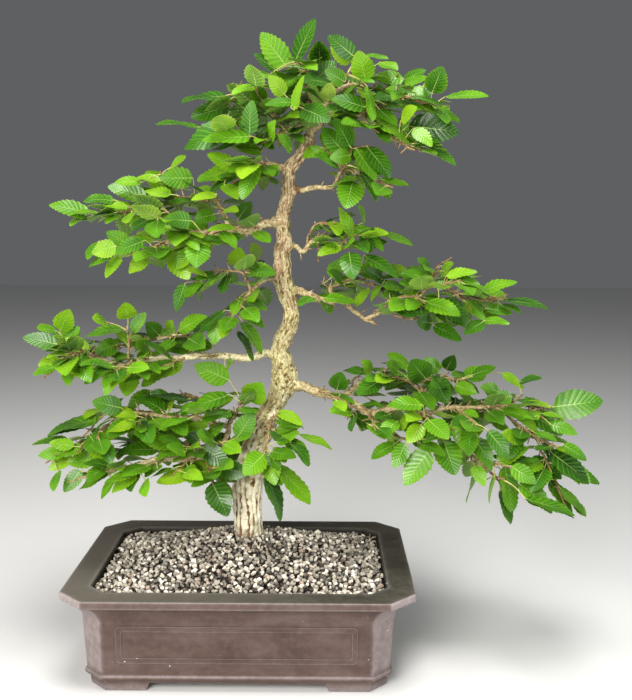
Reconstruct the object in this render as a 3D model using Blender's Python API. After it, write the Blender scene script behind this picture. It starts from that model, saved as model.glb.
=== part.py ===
"""Fastigiata European hornbeam bonsai in its unglazed clay pot.

The feet rest on Z = 0, X runs to the right and the viewer looks along +Y. Sizes are in
millimetres, measured from the pot's middle, and are turned into metres by MM. At the
end everything moves along so that the origin is the middle of the whole base rectangle.
Places on the tree were read from the photograph as (column, row) with a chosen
depth behind the pot's middle in millimetres, and photo_point turns them into space.
"""
import math
import random

import bmesh
import bpy
from mathutils import Matrix, Vector
from mathutils.bvhtree import BVHTree
from mathutils.kdtree import KDTree

MM = 0.001

# Pot, in millimetres
POT_WIDTH = 360.0
POT_DEPTH = 266.8
POT_HEIGHT = 101.5
LIP_CANT = 27.0
RIM_WIDTH = 28.5
FOOT_HEIGHT = 8.5
FLOOR_TOP = 18.5
INSIDE_CANT = 18.0
DRAIN_SPACING = 150.0
DRAIN_DIAMETER = 24.0
SCREEN_SIZE = 36.0
SCREEN_THICK = 1.4
SEAT_GAP = 0.3

# The pot's outside from under the floor to the rim, then its mouth and its floor:
# half width, half depth, corner cut and height
POT_RINGS = [
    (147.0, 107.0, 17.0, FOOT_HEIGHT),
    (152.8, 112.8, 18.5, FOOT_HEIGHT + 0.5),
    (153.4, 113.4, 18.8, 11.6),
    (157.6, 117.6, 20.0, 14.0),
    (155.5, 115.5, 19.0, 18.0),
    (159.1, 120.4, 22.3, 76.0),
    (162.6, 122.6, 23.0, 83.0),
    (167.9, 125.8, 24.1, 89.1),
    (172.6, 128.7, 25.0, 92.3),
    (POT_WIDTH / 2 - 0.8, POT_DEPTH / 2 - 0.8, LIP_CANT, 93.5),
    (POT_WIDTH / 2, POT_DEPTH / 2, LIP_CANT, 95.0),
    (POT_WIDTH / 2 - 0.5, POT_DEPTH / 2 - 0.5, LIP_CANT, POT_HEIGHT - 1.0),
    (POT_WIDTH / 2 - 1.5, POT_DEPTH / 2 - 1.5, LIP_CANT, POT_HEIGHT),
]
POT_MOUTH = (POT_WIDTH / 2 - RIM_WIDTH, POT_DEPTH / 2 - RIM_WIDTH, INSIDE_CANT, POT_HEIGHT)
POT_FLOOR = (147.0, 101.0, INSIDE_CANT, FLOOR_TOP)
PANEL_LOW = 31.2
PANEL_HIGH = 71.7
PANEL_MARGIN = 15.0
RIDGE_RISE = 0.9
RIDGE_WIDTH = 3.4
FOOT_OUT = (153.0, 113.0)
FOOT_THICK = 17.0
FOOT_CLEAR = (88.0, 48.0)
FOOT_SLANT = 4.5
PANEL_INSET = 8.0

# Gravel, in millimetres
GRAVEL_EDGE_HEIGHT = 93.5
GRAVEL_EDGE_RISE = 3.0
GRAVEL_EDGE_REACH = 20.0
GRAVEL_MOUND = 27.0
GRAVEL_MOUND_REACH = 150.0
GRAVEL_SLOPE_REACH = 45.0
GRAVEL_BUMP = 2.2
GRAVEL_SHIFT = 3.0
GRAVEL_TOP = 119.9
GRAVEL_GRID = (18, 12)

# Trunk, in millimetres
TRUNK_FOOT = (2.0, 27.0)
PLUG_DIAMETER = 32.5
PLUG_BOTTOM = 78.5
PLUG_TOP = 136.5
STUB_REACH = 5.0
CROWN_CUT = 3.0
BEND_ROOM = 4.0
COLLAR_FLARE = 1.25
LIMB_FIRST_STEP = 2.5
BARK_FLUTE = 0.9
FLUTE_REACH = 400.0
TRUNK_SIDES = 10
TRUNK_MARGIN = 3.0

# Leaves and twigs, in millimetres
BLADE_LENGTH = 42.0
BLADE_SLIMNESS = 0.60
BLADE_THICK = 1.4
PETIOLE_RADIUS = 0.75
PETIOLE_ROOT_RADIUS = 0.4
PETIOLE_REACH = 8.0
TIP_MARGIN = 1.5
THIN_LIMB = 3.1
TWIG_FOOT = 2.3
TWIG_TIP = 1.6
SHORT_TWIG = 36.0
STRAIGHT_STALK = 0.7
STALK_STIFFNESS = 14.0
LEAF_CLEARANCE = 0.45
SMALLEST_SEEN_LEAF = 28.0
SMALL_LEAF_AREA = 600.0

# Twigs by rule: where the first stands on its limb, how far apart they are, in
# millimetres, their turn from straight out in degrees and their rise
TWIG_START = 16.0
TWIG_END = 4.0
TWIG_SPACING = (15.0, 22.0)
TWIG_TRIES = 6
TWIG_SWING = (15, 50)
TWIG_RISE = (-0.15, 0.35)
TWIG_SWAY = 0.12
TWIG_DROOP = 0.08
SAMPLE_STEP = 3.0

# Leaves that the photograph shows: how far from their own depth they may stand, in
# millimetres, how many places on the wood and how many depths are tried
DEPTH_REACH = 48
DEPTH_STEP = 4
NEAR_PLACES = 24
DEPTH_TRIES = 16
LONG_STALK = 13.0
SHORT_STALK = 4.5
SHORT_STALK_COST = 25

# Leaves by rule: tries for each, places along the twig and turns from it in degrees
MORE_LEAF_TRIES = 30
MORE_LEAF_STATIONS = [0.45, 0.7, 1.0]
END_LEAF_SWING = (5, 25)
SIDE_LEAF_SWING = (35, 70)

# Half of the blade's outline from base to tip, as shares of its length and half width:
# the points lie in turn on a tooth and in the notch behind it
OUTLINE_ALONG = [0.0, 0.16, 0.38, 0.56, 0.80, 1.0]
OUTLINE_ACROSS = [0.0, 0.80, 0.88, 1.02, 0.52, 0.0]
POLE_ALONG = 0.44
BASE_CUT = 0.05
# How far the edge's points wave up and down, in millimetres, by their share of the length
EDGE_WAVE = {0.16: 0.6, 0.38: -0.6, 0.56: 0.6, 0.80: -0.6}

# The photograph's view: frame size in pixels, eye in millimetres, turns in radians
FRAME_WIDTH = 632
FRAME_HEIGHT = 700
FOCAL_PIXELS = 979.5
EYE = Vector((81.0, -1050.0, 473.5))
PITCH = 0.1318
YAW = -0.0034
ROLL = 0.005


def view_axes():
    """Right, up and ahead of the photograph's view."""
    ahead = Vector((math.sin(YAW) * math.cos(PITCH), math.cos(YAW) * math.cos(PITCH), -math.sin(PITCH)))
    level = Vector((math.cos(YAW), -math.sin(YAW), 0.0))
    above = level.cross(ahead)
    right = level * math.cos(ROLL) + above * math.sin(ROLL)
    up = above * math.cos(ROLL) - level * math.sin(ROLL)
    return right, up, ahead


VIEW_RIGHT, VIEW_UP, VIEW_AHEAD = view_axes()


def photo_point(column, row, depth):
    """The point at a depth behind the pot's middle that the photograph shows at a pixel, in millimetres."""
    across = (column - FRAME_WIDTH / 2) / FOCAL_PIXELS
    below = (row - FRAME_HEIGHT / 2) / FOCAL_PIXELS
    ray = VIEW_AHEAD + VIEW_RIGHT * across - VIEW_UP * below
    return EYE + ray * ((depth - EYE.y) / ray.y)


def photo_pixel(point):
    """The pixel (column, row) at which the photograph's view shows a point."""
    sight = point - EYE
    reach = sight.dot(VIEW_AHEAD)
    column = FRAME_WIDTH / 2 + FOCAL_PIXELS * sight.dot(VIEW_RIGHT) / reach
    row = FRAME_HEIGHT / 2 - FOCAL_PIXELS * sight.dot(VIEW_UP) / reach
    return column, row


# The trunk's middle line: column, row, diameter in millimetres
TRUNK_LINE = [
    (248, 531, 32), (248, 518, 32.5), (247.5, 503, 33.5), (247.5, 489, 34.5), (250, 470, 31),
    (255.5, 445, 28.5),
    (264, 425, 28), (272, 408, 23), (278, 397, 23), (284, 381, 30), (283, 364, 24), (280, 351, 19),
    (283, 339, 20), (290, 325, 18), (291, 309, 17), (286, 294, 19), (284, 280, 18), (282, 253, 17),
    (284, 232, 15), (284, 213, 14), (288, 197, 15), (289, 173, 13), (294, 163, 14), (302, 152, 12.5),
    (308, 140, 11.5),
]
TRUNK_ROOT_DEPTH = 25.0
TRUNK_TOP_DEPTH = -7.0


def trunk_depth(row):
    """The trunk leans toward the viewer as it rises."""
    low, high = TRUNK_LINE[0][1], TRUNK_LINE[-1][1]
    return TRUNK_ROOT_DEPTH + (TRUNK_TOP_DEPTH - TRUNK_ROOT_DEPTH) * (low - row) / (low - high)


# Each limb: its route as (column, row, depth), its diameter at the start and at the tip.
# The first limb of a branch starts on the trunk's middle line.
CROWN_LIMBS = [
    ([(308, 140, -7), (312, 131, -7), (321, 121, -8), (326, 105, -9), (328, 96, -10), (340, 89, -14),
      (356, 85, -18), (366, 89, -22)], 11.0, 2.5),
    ([(325, 112, -9), (345, 115, -12), (362, 113, -16), (385, 103, -20), (404, 96, -24), (423, 103, -28),
      (438, 105, -30)], 5.5, 1.8),
    ([(362, 113, -16), (368, 124, -24), (390, 136, -32), (408, 146, -36), (427, 150, -38)], 3.2, 1.6),
    ([(328, 96, -10), (321, 84, -4), (313, 74, 0), (300, 70, 4)], 3.5, 1.6),
    ([(312, 131, -7), (304, 123, -9), (286, 131, -12), (263, 141, -16), (245, 137, -20), (229, 134, -24)],
     5.0, 1.8),
    ([(286, 131, -12), (276, 118, -4), (262, 110, 2), (246, 98, 6), (232, 95, 10)], 3.2, 1.6),
    ([(304, 123, -9), (300, 110, -16), (294, 106, -22)], 3.0, 1.6),
    ([(321, 121, -8), (318, 112, 14), (310, 100, 34), (322, 90, 54)], 4.0, 1.6),
    ([(345, 115, -12), (360, 104, 12), (380, 98, 32), (400, 92, 48)], 3.2, 1.6),
]
LEFT_TOP_LIMBS = [
    ([(290, 170, -4), (276, 165, -10), (258, 163, -14), (243, 168, -20), (228, 170, -24)], 6.0, 1.8),
    ([(258, 163, -14), (246, 173, -28), (234, 182, -36)], 2.6, 1.6),
    ([(276, 165, -10), (262, 170, 8), (250, 178, 22)], 2.6, 1.6),
]
LEFT_UPPER_LIMBS = [
    ([(284, 220, -1), (264, 225, -4), (246, 232, -8), (231, 230, -12), (210, 233, -14), (189, 233, -12),
      (182, 240, -16), (164, 243, -22), (147, 249, -28), (133, 254, -32), (116, 250, -34)], 10.0, 1.8),
    ([(231, 230, -12), (227, 222, -4), (222, 209, 4), (213, 201, 10), (197, 201, 14), (181, 202, 18),
      (156, 206, 22), (134, 210, 24), (113, 214, 26), (93, 216, 26)], 5.2, 1.6),
    ([(189, 233, -12), (176, 225, -26), (160, 220, -36)], 3.0, 1.6),
    ([(210, 233, -14), (204, 236, -28), (198, 242, -36)], 2.4, 1.6),
    ([(246, 232, -8), (249, 222, -10), (259, 219, -10)], 3.0, 1.8),
    ([(181, 202, 18), (176, 196, 34), (162, 190, 48)], 2.8, 1.6),
]
LEFT_SMALL_LIMBS = [
    ([(284, 279, 5), (267, 279, 2), (250, 291, -4), (244, 299, -8), (238, 311, -12), (225, 321, -16)],
     5.0, 1.7),
    ([(250, 291, -4), (246, 277, -12), (236, 271, -16), (214, 271, -18), (196, 283, -20)], 3.0, 1.6),
    ([(267, 279, 2), (256, 270, 18), (244, 262, 30)], 2.6, 1.6),
]
LEFT_LONG_LIMBS = [
    ([(282, 356, 11), (266, 353, 8), (248, 358, 4), (223, 356, 0), (202, 356, -4), (181, 358, -8),
      (147, 359, -12), (126, 364, -14), (109, 362, -12), (97, 357, -12), (80, 356, -16), (65, 360, -20),
      (46, 376, -24)], 9.0, 2.2),
    ([(203, 355, -4), (203, 342, 4), (194, 336, 10), (172, 336, 16), (147, 341, 20), (120, 346, 22),
      (94, 347, 22), (64, 343, 20)], 5.0, 1.6),
    ([(129, 363, -13), (129, 346, -16), (127, 329, -18)], 3.0, 1.6),
    ([(97, 357, -12), (80, 350, -26), (62, 348, -34)], 2.8, 1.6),
    ([(147, 359, -12), (134, 364, -30), (122, 366, -40)], 2.6, 1.6),
]
LEFT_LOW_LIMBS = [
    ([(252, 462, 19), (236, 466, 10), (221, 464, 0), (206, 456, -8), (181, 459, -16), (156, 459, -22),
      (139, 465, -26), (120, 468, -30), (94, 474, -32), (70, 482, -34)], 10.0, 1.9),
    ([(221, 464, 0), (222, 448, 2), (229, 429, 4), (216, 424, 4), (190, 418, 0), (166, 416, -6),
      (126, 415, -14), (93, 438, -22), (72, 448, -26), (49, 461, -28)], 6.5, 1.7),
    ([(229, 429, 4), (236, 412, 6), (246, 404, 2)], 3.4, 1.6),
    ([(216, 424, 4), (208, 404, 16), (198, 397, 24), (176, 394, 28), (150, 399, 30)], 3.4, 1.6),
    ([(126, 415, -14), (110, 412, -4), (98, 418, 6)], 2.6, 1.6),
    ([(206, 456, -8), (208, 470, -18), (212, 481, -24)], 2.8, 1.6),
    ([(206, 456, -8), (190, 446, 16), (164, 440, 36), (136, 440, 50)], 3.4, 1.6),
]
FRONT_LOW_LIMBS = [
    ([(266, 420, 16), (268, 424, -6), (270, 430, -16), (276, 436, -24), (288, 437, -32)], 5.0, 1.6),
    ([(270, 430, -16), (266, 446, -22), (264, 458, -26)], 3.0, 1.6),
    ([(270, 430, -16), (272, 420, -26), (278, 414, -32)], 2.6, 1.6),
]
RIGHT_TOP_LIMBS = [
    ([(289, 190, -3), (303, 190, -6), (315, 188, -8), (330, 188, -12), (337, 181, -14), (343, 171, -16),
      (357, 172, -20), (377, 181, -26), (389, 184, -28)], 6.0, 1.7),
    ([(343, 171, -16), (348, 160, -18), (351, 150, -20)], 3.4, 1.6),
    ([(343, 171, -16), (334, 158, -6), (326, 150, 4)], 2.8, 1.6),
    ([(351, 150, -20), (360, 147, -24), (366, 146, -26)], 2.4, 1.6),
]
RIGHT_UPPER_LIMBS = [
    ([(283, 243, 2), (294, 246, 0), (303, 251, -3), (310, 243, -6), (320, 236, -8), (325, 242, -9),
      (341, 249, -12), (356, 246, -14), (366, 251, -16)], 6.0, 1.6),
    ([(307, 247, -4), (309, 234, -12), (317, 224, -15), (334, 223, -18), (352, 226, -20)], 3.0, 1.6),
    ([(320, 236, -8), (317, 248, 4), (318, 259, 10)], 2.2, 1.6),
    ([(341, 249, -12), (348, 238, -24), (354, 236, -30)], 2.4, 1.6),
]
RIGHT_MIDDLE_LIMBS = [
    ([(285, 290, 6), (301, 291, 2), (311, 295, -2), (325, 301, -6), (343, 303, -10), (359, 315, -14),
      (374, 323, -16)], 8.5, 3.4),
    ([(366, 319, -15), (377, 314, -16), (386, 303, -18), (402, 297, -20), (418, 300, -22), (436, 308, -24)],
     5.0, 1.7),
    ([(343, 303, -10), (330, 290, 0), (343, 283, 8), (359, 281, 12), (388, 289, 14), (414, 290, 12),
      (430, 283, 8), (438, 266, 2), (449, 259, 0)], 4.4, 1.6),
    ([(430, 283, 8), (449, 290, 0), (462, 294, -6), (486, 300, -12), (504, 299, -16)], 3.4, 1.6),
    ([(402, 297, -20), (420, 296, -34), (428, 288, -40), (446, 284, -44)], 2.8, 1.6),
    ([(386, 303, -18), (396, 316, -22), (424, 320, -26)], 2.8, 1.8),
    ([(462, 294, -6), (470, 308, -16), (482, 320, -22)], 2.6, 1.6),
]
RIGHT_LOW_LIMBS = [
    ([(284, 384, 13), (300, 386, 8), (318, 392, 2), (340, 398, -4), (352, 403, -10), (370, 412, -16),
      (398, 408, -22), (424, 414, -28), (448, 430, -34), (460, 440, -38), (470, 453, -40), (484, 466, -42),
      (500, 482, -42)], 11.0, 2.0),
    ([(340, 398, -4), (350, 391, 6), (364, 381, 12), (385, 376, 16), (414, 382, 20), (436, 378, 22),
      (462, 380, 20)], 6.0, 1.7),
    ([(424, 414, -28), (448, 408, -24), (476, 408, -20), (497, 408, -18), (514, 421, -20), (537, 438, -24),
      (551, 444, -26)], 5.0, 1.7),
    ([(497, 408, -18), (520, 406, -8), (540, 408, 0), (551, 407, 4)], 3.0, 1.6),
    ([(414, 382, 20), (424, 392, 0), (428, 402, -12)], 2.8, 1.6),
    ([(537, 438, -24), (543, 456, -20), (552, 470, -18), (556, 482, -18)], 3.2, 1.6),
    ([(484, 466, -42), (500, 464, -50), (514, 470, -54)], 2.8, 1.6),
    ([(370, 412, -16), (372, 420, -34), (396, 436, -44), (418, 440, -48)], 3.4, 1.6),
    ([(398, 408, -22), (420, 396, 20), (446, 400, 44), (480, 408, 60)], 3.8, 1.6),
    ([(340, 398, -4), (346, 410, -14), (352, 414, -20)], 2.6, 1.6),
]
BACK_LOW_LIMBS = [
    ([(250, 470, 20), (248, 462, 42), (242, 452, 62), (232, 444, 84), (222, 440, 104)], 7.0, 2.0),
    ([(248, 462, 42), (254, 446, 56), (262, 434, 72), (266, 426, 90)], 3.6, 1.6),
    ([(242, 452, 62), (228, 458, 74), (212, 462, 86)], 3.2, 1.6),
]

# Leaves seen in the photograph: column and row of the blade's base and of its tip, the
# blade's width there in pixels, and how far it stands toward the viewer in millimetres
CROWN_LEAVES = [
    (287, 67, 262, 34, 24, 10), (295, 61, 314, 20, 15, 4), (277, 71, 255, 54, 10, 16),
    (298, 91, 272, 71, 13, 22), (270, 74, 248, 77, 9, 0), (255, 86, 232, 92, 8, 4),
    (265, 102, 251, 86, 16, -6), (285, 95, 270, 77, 16, -12), (296, 102, 265, 103, 9, 12),
    (308, 86, 335, 62, 22, 8), (294, 110, 302, 76, 9, 16), (228, 95, 182, 100, 8, 0),
    (229, 106, 192, 117, 20, 4), (249, 135, 251, 101, 17, 20), (251, 136, 203, 139, 14, 24),
    (235, 124, 185, 148, 22, 4), (200, 127, 157, 122, 5, 0), (262, 152, 236, 145, 11, 10),
    (292, 150, 280, 136, 11, 4), (320, 64, 319, 45, 22, -10), (355, 57, 329, 36, 18, 0),
    (352, 62, 332, 48, 16, -16), (366, 81, 359, 54, 23, 14), (345, 82, 327, 71, 16, 18),
    (404, 79, 374, 76, 13, 10), (402, 81, 424, 70, 9, 8), (403, 86, 425, 77, 9, 16),
    (432, 93, 441, 70, 22, 12), (445, 97, 487, 94, 7, 0), (408, 126, 457, 131, 28, 26),
    (438, 106, 460, 122, 7, -10), (414, 128, 432, 146, 14, 18), (428, 145, 456, 165, 8, 4),
    (378, 121, 411, 143, 10, 20), (375, 125, 389, 142, 9, 8), (367, 86, 374, 122, 9, 28),
    (378, 108, 397, 125, 10, 24), (366, 107, 331, 97, 15, 12), (361, 112, 334, 112, 6, 2),
    (318, 100, 322, 117, 13, 6), (386, 98, 374, 86, 12, -6), (384, 104, 424, 106, 9, 6),
    (401, 120, 414, 108, 12, 12), (400, 122, 428, 137, 12, 16), (362, 56, 388, 57, 4, -24),
    (380, 62, 397, 68, 8, -16), (424, 84, 434, 76, 7, -8), (267, 143, 266, 119, 5, 10),
    (270, 140, 274, 122, 9, 14),
]
LEFT_TOP_LEAVES = [
    (237, 168, 208, 154, 15, 4), (257, 166, 241, 199, 17, 16), (237, 168, 198, 180, 14, 0),
    (239, 172, 206, 194, 8, 10), (262, 172, 272, 176, 12, 12), (268, 176, 276, 184, 7, 0),
    (224, 184, 238, 198, 13, -6),
]
LEFT_UPPER_LEAVES = [
    (90, 214, 52, 203, 16, 2), (115, 200, 85, 199, 10, 0), (147, 197, 110, 186, 17, 12),
    (143, 182, 116, 181, 9, -8), (166, 187, 148, 174, 18, 0), (193, 178, 161, 178, 21, 10),
    (170, 168, 186, 156, 7, -10), (162, 213, 131, 228, 12, 8), (192, 221, 166, 219, 18, 18),
    (217, 194, 192, 198, 8, 8), (116, 246, 95, 252, 18, 14), (130, 245, 108, 233, 16, 0),
    (99, 241, 88, 257, 9, -6), (114, 252, 89, 265, 9, 2), (120, 256, 106, 276, 11, 6),
    (145, 240, 116, 252, 14, 22), (146, 257, 131, 271, 14, 10), (171, 253, 189, 279, 22, 12),
    (199, 243, 196, 266, 25, 8), (191, 234, 211, 245, 7, 14), (222, 231, 236, 248, 12, 12),
    (255, 231, 270, 242, 12, 8), (238, 219, 251, 202, 16, -4), (128, 206, 106, 204, 8, 4),
    (205, 236, 222, 243, 8, 4), (150, 214, 131, 224, 12, -10), (215, 214, 196, 219, 14, -8),
    (86, 218, 72, 223, 5, -4),
]
LEFT_SMALL_LEAVES = [
    (236, 267, 240, 248, 20, 4), (259, 259, 252, 244, 14, -4), (250, 267, 276, 274, 15, 10),
    (218, 318, 213, 344, 17, 12), (238, 330, 255, 359, 8, 4), (242, 321, 263, 353, 12, 10),
    (241, 311, 265, 326, 12, 6), (248, 299, 267, 309, 9, 4), (225, 310, 200, 331, 9, 4),
    (240, 297, 234, 312, 12, 12), (185, 283, 176, 311, 13, 4), (216, 274, 198, 278, 10, 4),
    (206, 274, 190, 270, 7, -6), (228, 274, 222, 292, 10, 8),
]
LEFT_LONG_LEAVES = [
    (60, 331, 70, 308, 20, 8), (57, 344, 25, 337, 15, 4), (57, 331, 40, 328, 9, -6),
    (65, 340, 81, 326, 9, 0), (107, 322, 95, 318, 10, -8), (124, 328, 86, 334, 9, 10),
    (128, 319, 125, 304, 20, 6), (131, 332, 146, 312, 12, 8), (118, 344, 98, 351, 18, 16),
    (175, 361, 140, 338, 5, 14), (75, 360, 90, 377, 24, 2), (70, 366, 68, 382, 13, 4),
    (61, 358, 42, 364, 9, 6), (56, 366, 37, 373, 9, 4), (108, 366, 85, 382, 11, 6),
    (120, 366, 104, 393, 14, 10), (130, 369, 127, 392, 21, 14), (183, 361, 142, 382, 17, 8),
    (178, 331, 206, 314, 14, 4), (170, 334, 172, 320, 11, -4), (159, 335, 148, 324, 17, 0),
    (188, 346, 172, 350, 14, 0), (212, 344, 190, 348, 12, -10), (150, 350, 138, 344, 12, 6),
    (226, 368, 232, 362, 8, -6),
]
LEFT_LOW_LEAVES = [
    (229, 380, 195, 365, 23, 8), (249, 401, 262, 383, 26, 10), (229, 394, 186, 410, 15, 12),
    (122, 408, 95, 402, 20, 10), (100, 408, 87, 415, 7, 0), (101, 418, 50, 431, 12, 8),
    (68, 439, 34, 443, 8, 2), (66, 452, 40, 455, 13, 0), (72, 456, 51, 468, 13, -6),
    (96, 459, 68, 462, 16, 12), (58, 471, 54, 487, 8, 0), (81, 470, 65, 490, 15, 0),
    (104, 467, 90, 478, 13, -6), (109, 472, 80, 487, 9, 8), (115, 477, 103, 495, 7, 4),
    (138, 467, 115, 479, 9, 8), (159, 449, 119, 450, 14, 18), (165, 440, 138, 410, 21, 22),
    (137, 422, 109, 431, 10, 14), (150, 390, 127, 408, 12, 4), (190, 399, 146, 394, 6, 10),
    (190, 474, 158, 481, 15, 14), (145, 480, 145, 493, 10, 6), (237, 438, 254, 412, 21, 26),
    (199, 441, 178, 422, 16, 14), (201, 440, 222, 428, 10, 8), (202, 447, 229, 465, 20, 18),
    (219, 468, 249, 473, 20, 24), (212, 482, 226, 512, 25, 14), (214, 474, 193, 484, 12, 4),
    (240, 408, 256, 413, 8, 14), (172, 400, 152, 392, 12, 0), (232, 448, 244, 438, 12, 8),
    (180, 436, 160, 428, 14, 4), (186, 452, 168, 446, 12, 10), (118, 432, 96, 438, 12, -8),
    (180, 412, 200, 405, 12, 6),
]
FRONT_LOW_LEAVES = [
    (264, 454, 247, 471, 23, 12), (273, 452, 285, 460, 11, 4), (275, 464, 311, 500, 17, 14),
    (266, 473, 283, 517, 13, 10), (276, 442, 299, 431, 13, 10), (286, 438, 306, 451, 11, 4),
    (299, 434, 332, 448, 7, 6), (277, 411, 303, 423, 11, 6), (277, 419, 299, 427, 11, -4),
]
RIGHT_TOP_LEAVES = [
    (345, 153, 322, 128, 20, 12), (351, 148, 335, 118, 14, 4), (323, 147, 303, 157, 12, 12),
    (351, 155, 331, 158, 16, 4), (356, 148, 377, 180, 14, 16), (367, 146, 391, 177, 17, 6),
    (381, 179, 409, 185, 7, 4), (361, 170, 379, 201, 10, 10), (378, 185, 389, 197, 6, 2),
    (353, 181, 346, 207, 27, 6),
]
RIGHT_UPPER_LEAVES = [
    (353, 238, 340, 207, 11, 10), (353, 225, 385, 248, 14, 10), (365, 235, 370, 251, 14, 0),
    (377, 231, 413, 243, 7, 4), (334, 221, 338, 234, 14, -8), (365, 221, 359, 206, 6, 0),
    (341, 245, 318, 254, 12, -10), (346, 244, 352, 240, 7, 8),
]
RIGHT_MIDDLE_LEAVES = [
    (349, 252, 353, 277, 22, 14), (331, 278, 339, 260, 15, 4), (364, 255, 399, 276, 12, 8),
    (393, 264, 404, 276, 12, -4), (384, 280, 366, 269, 12, 12), (384, 281, 370, 300, 5, 16),
    (425, 277, 401, 272, 9, 4), (431, 272, 418, 258, 9, 0), (313, 297, 299, 305, 10, 0),
    (325, 301, 329, 312, 12, -6), (368, 288, 356, 306, 9, 6), (432, 323, 417, 321, 17, 14),
    (433, 325, 461, 339, 14, 16), (439, 301, 467, 322, 19, 20), (465, 301, 485, 318, 12, 8),
    (484, 321, 464, 334, 13, 6), (486, 308, 511, 312, 10, 14), (501, 299, 547, 306, 7, 2),
    (482, 291, 515, 280, 12, 0), (446, 276, 476, 271, 10, 8), (440, 274, 452, 264, 10, -10),
    (454, 279, 478, 284, 11, 0), (435, 281, 452, 284, 11, 8), (460, 287, 480, 287, 8, 14),
    (483, 320, 508, 322, 8, 4), (344, 282, 330, 270, 10, -10), (418, 286, 400, 282, 9, 4),
    (402, 310, 420, 314, 10, 4), (420, 302, 404, 304, 11, -10), (500, 304, 519, 311, 6, 8),
]
RIGHT_LOW_LEAVES = [
    (337, 390, 341, 372, 20, 4), (369, 372, 343, 370, 8, -4), (371, 374, 364, 360, 12, -8),
    (410, 367, 387, 353, 12, 4), (400, 372, 386, 362, 12, -8), (426, 379, 411, 361, 27, 18),
    (440, 372, 425, 357, 13, 0), (446, 370, 454, 356, 15, 0), (409, 374, 385, 389, 15, 14),
    (434, 378, 446, 400, 22, 20), (456, 397, 450, 432, 21, 22), (423, 405, 387, 403, 14, 24),
    (410, 412, 402, 428, 10, 16), (353, 412, 329, 410, 11, 6), (354, 415, 352, 429, 8, 8),
    (398, 421, 381, 432, 14, 8), (396, 443, 371, 457, 13, 12), (406, 443, 394, 467, 17, 10),
    (429, 450, 405, 484, 25, 16), (444, 441, 453, 468, 27, 14), (442, 436, 427, 422, 12, 12),
    (479, 413, 457, 388, 9, 24), (472, 375, 495, 367, 11, 0), (502, 373, 523, 387, 9, 2),
    (519, 382, 539, 377, 7, -6), (553, 407, 600, 401, 29, 4), (551, 406, 524, 402, 6, 4),
    (513, 408, 538, 432, 12, 18), (526, 411, 561, 432, 17, 14), (550, 424, 576, 432, 13, -8),
    (563, 444, 585, 459, 11, 2), (550, 451, 587, 480, 20, 10), (561, 465, 597, 481, 12, 0),
    (529, 459, 560, 476, 18, 20), (511, 466, 535, 482, 17, 12), (475, 437, 492, 468, 17, 22),
    (505, 465, 513, 509, 18, 22), (519, 483, 551, 509, 17, 14), (525, 498, 572, 513, 10, 0),
    (549, 480, 571, 510, 12, 8), (559, 487, 585, 513, 8, 2), (500, 489, 511, 521, 10, 10),
    (495, 474, 488, 502, 4, 8), (478, 467, 466, 501, 4, 6), (488, 430, 509, 457, 16, 22),
    (455, 385, 474, 392, 14, 10), (500, 392, 480, 386, 13, 8), (512, 396, 492, 400, 15, 14),
    (470, 420, 452, 424, 14, 10), (390, 414, 376, 418, 10, 4), (520, 440, 500, 432, 14, 10),
    (437, 425, 420, 440, 12, 4),
]
BACK_LOW_LEAVES = []

# The outline, in pixels, that the leaves placed by rule stay inside, branch by branch
CROWN_OUTLINE = [(160, 126), (190, 92), (230, 78), (265, 40), (312, 26), (372, 55), (440, 78), (470, 94),
                 (456, 135), (446, 158), (395, 146), (370, 128), (330, 118), (300, 148), (240, 152),
                 (188, 148)]
LEFT_TOP_OUTLINE = [(204, 156), (240, 152), (278, 160), (278, 184), (244, 200), (222, 190), (200, 180)]
LEFT_UPPER_OUTLINE = [(55, 200), (112, 184), (160, 164), (186, 160), (222, 186), (252, 206), (240, 240),
                      (190, 276), (168, 266), (108, 272), (92, 250), (132, 228), (70, 222)]
LEFT_SMALL_OUTLINE = [(178, 268), (230, 248), (262, 246), (274, 272), (264, 326), (252, 350), (214, 342),
                      (204, 326), (232, 300), (180, 300)]
LEFT_LONG_OUTLINE = [(28, 334), (58, 312), (92, 322), (120, 306), (150, 320), (204, 318), (212, 350),
                     (186, 368), (128, 390), (86, 380), (44, 368)]
LEFT_LOW_OUTLINE = [(38, 442), (56, 430), (96, 402), (150, 390), (228, 392), (262, 386), (264, 430),
                    (248, 474), (226, 508), (190, 484), (110, 492), (56, 484)]
FRONT_LOW_OUTLINE = [(258, 412), (280, 406), (330, 446), (306, 496), (284, 512), (252, 470)]
RIGHT_TOP_OUTLINE = [(304, 152), (324, 128), (350, 120), (390, 156), (404, 184), (350, 204), (330, 170)]
RIGHT_UPPER_OUTLINE = [(320, 252), (334, 212), (362, 208), (410, 242), (376, 250), (345, 250)]
RIGHT_MIDDLE_OUTLINE = [(300, 304), (334, 264), (363, 254), (420, 264), (476, 270), (512, 284),
                        (508, 318), (464, 336), (420, 320), (372, 302)]
RIGHT_LOW_OUTLINE = [(326, 392), (340, 370), (386, 356), (456, 358), (530, 380), (562, 400), (578, 436),
                     (592, 478), (570, 510), (514, 516), (470, 474), (406, 482), (374, 456), (352, 424)]
BACK_LOW_OUTLINE = [(196, 486), (200, 404), (240, 388), (276, 400), (270, 470), (236, 490)]

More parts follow.
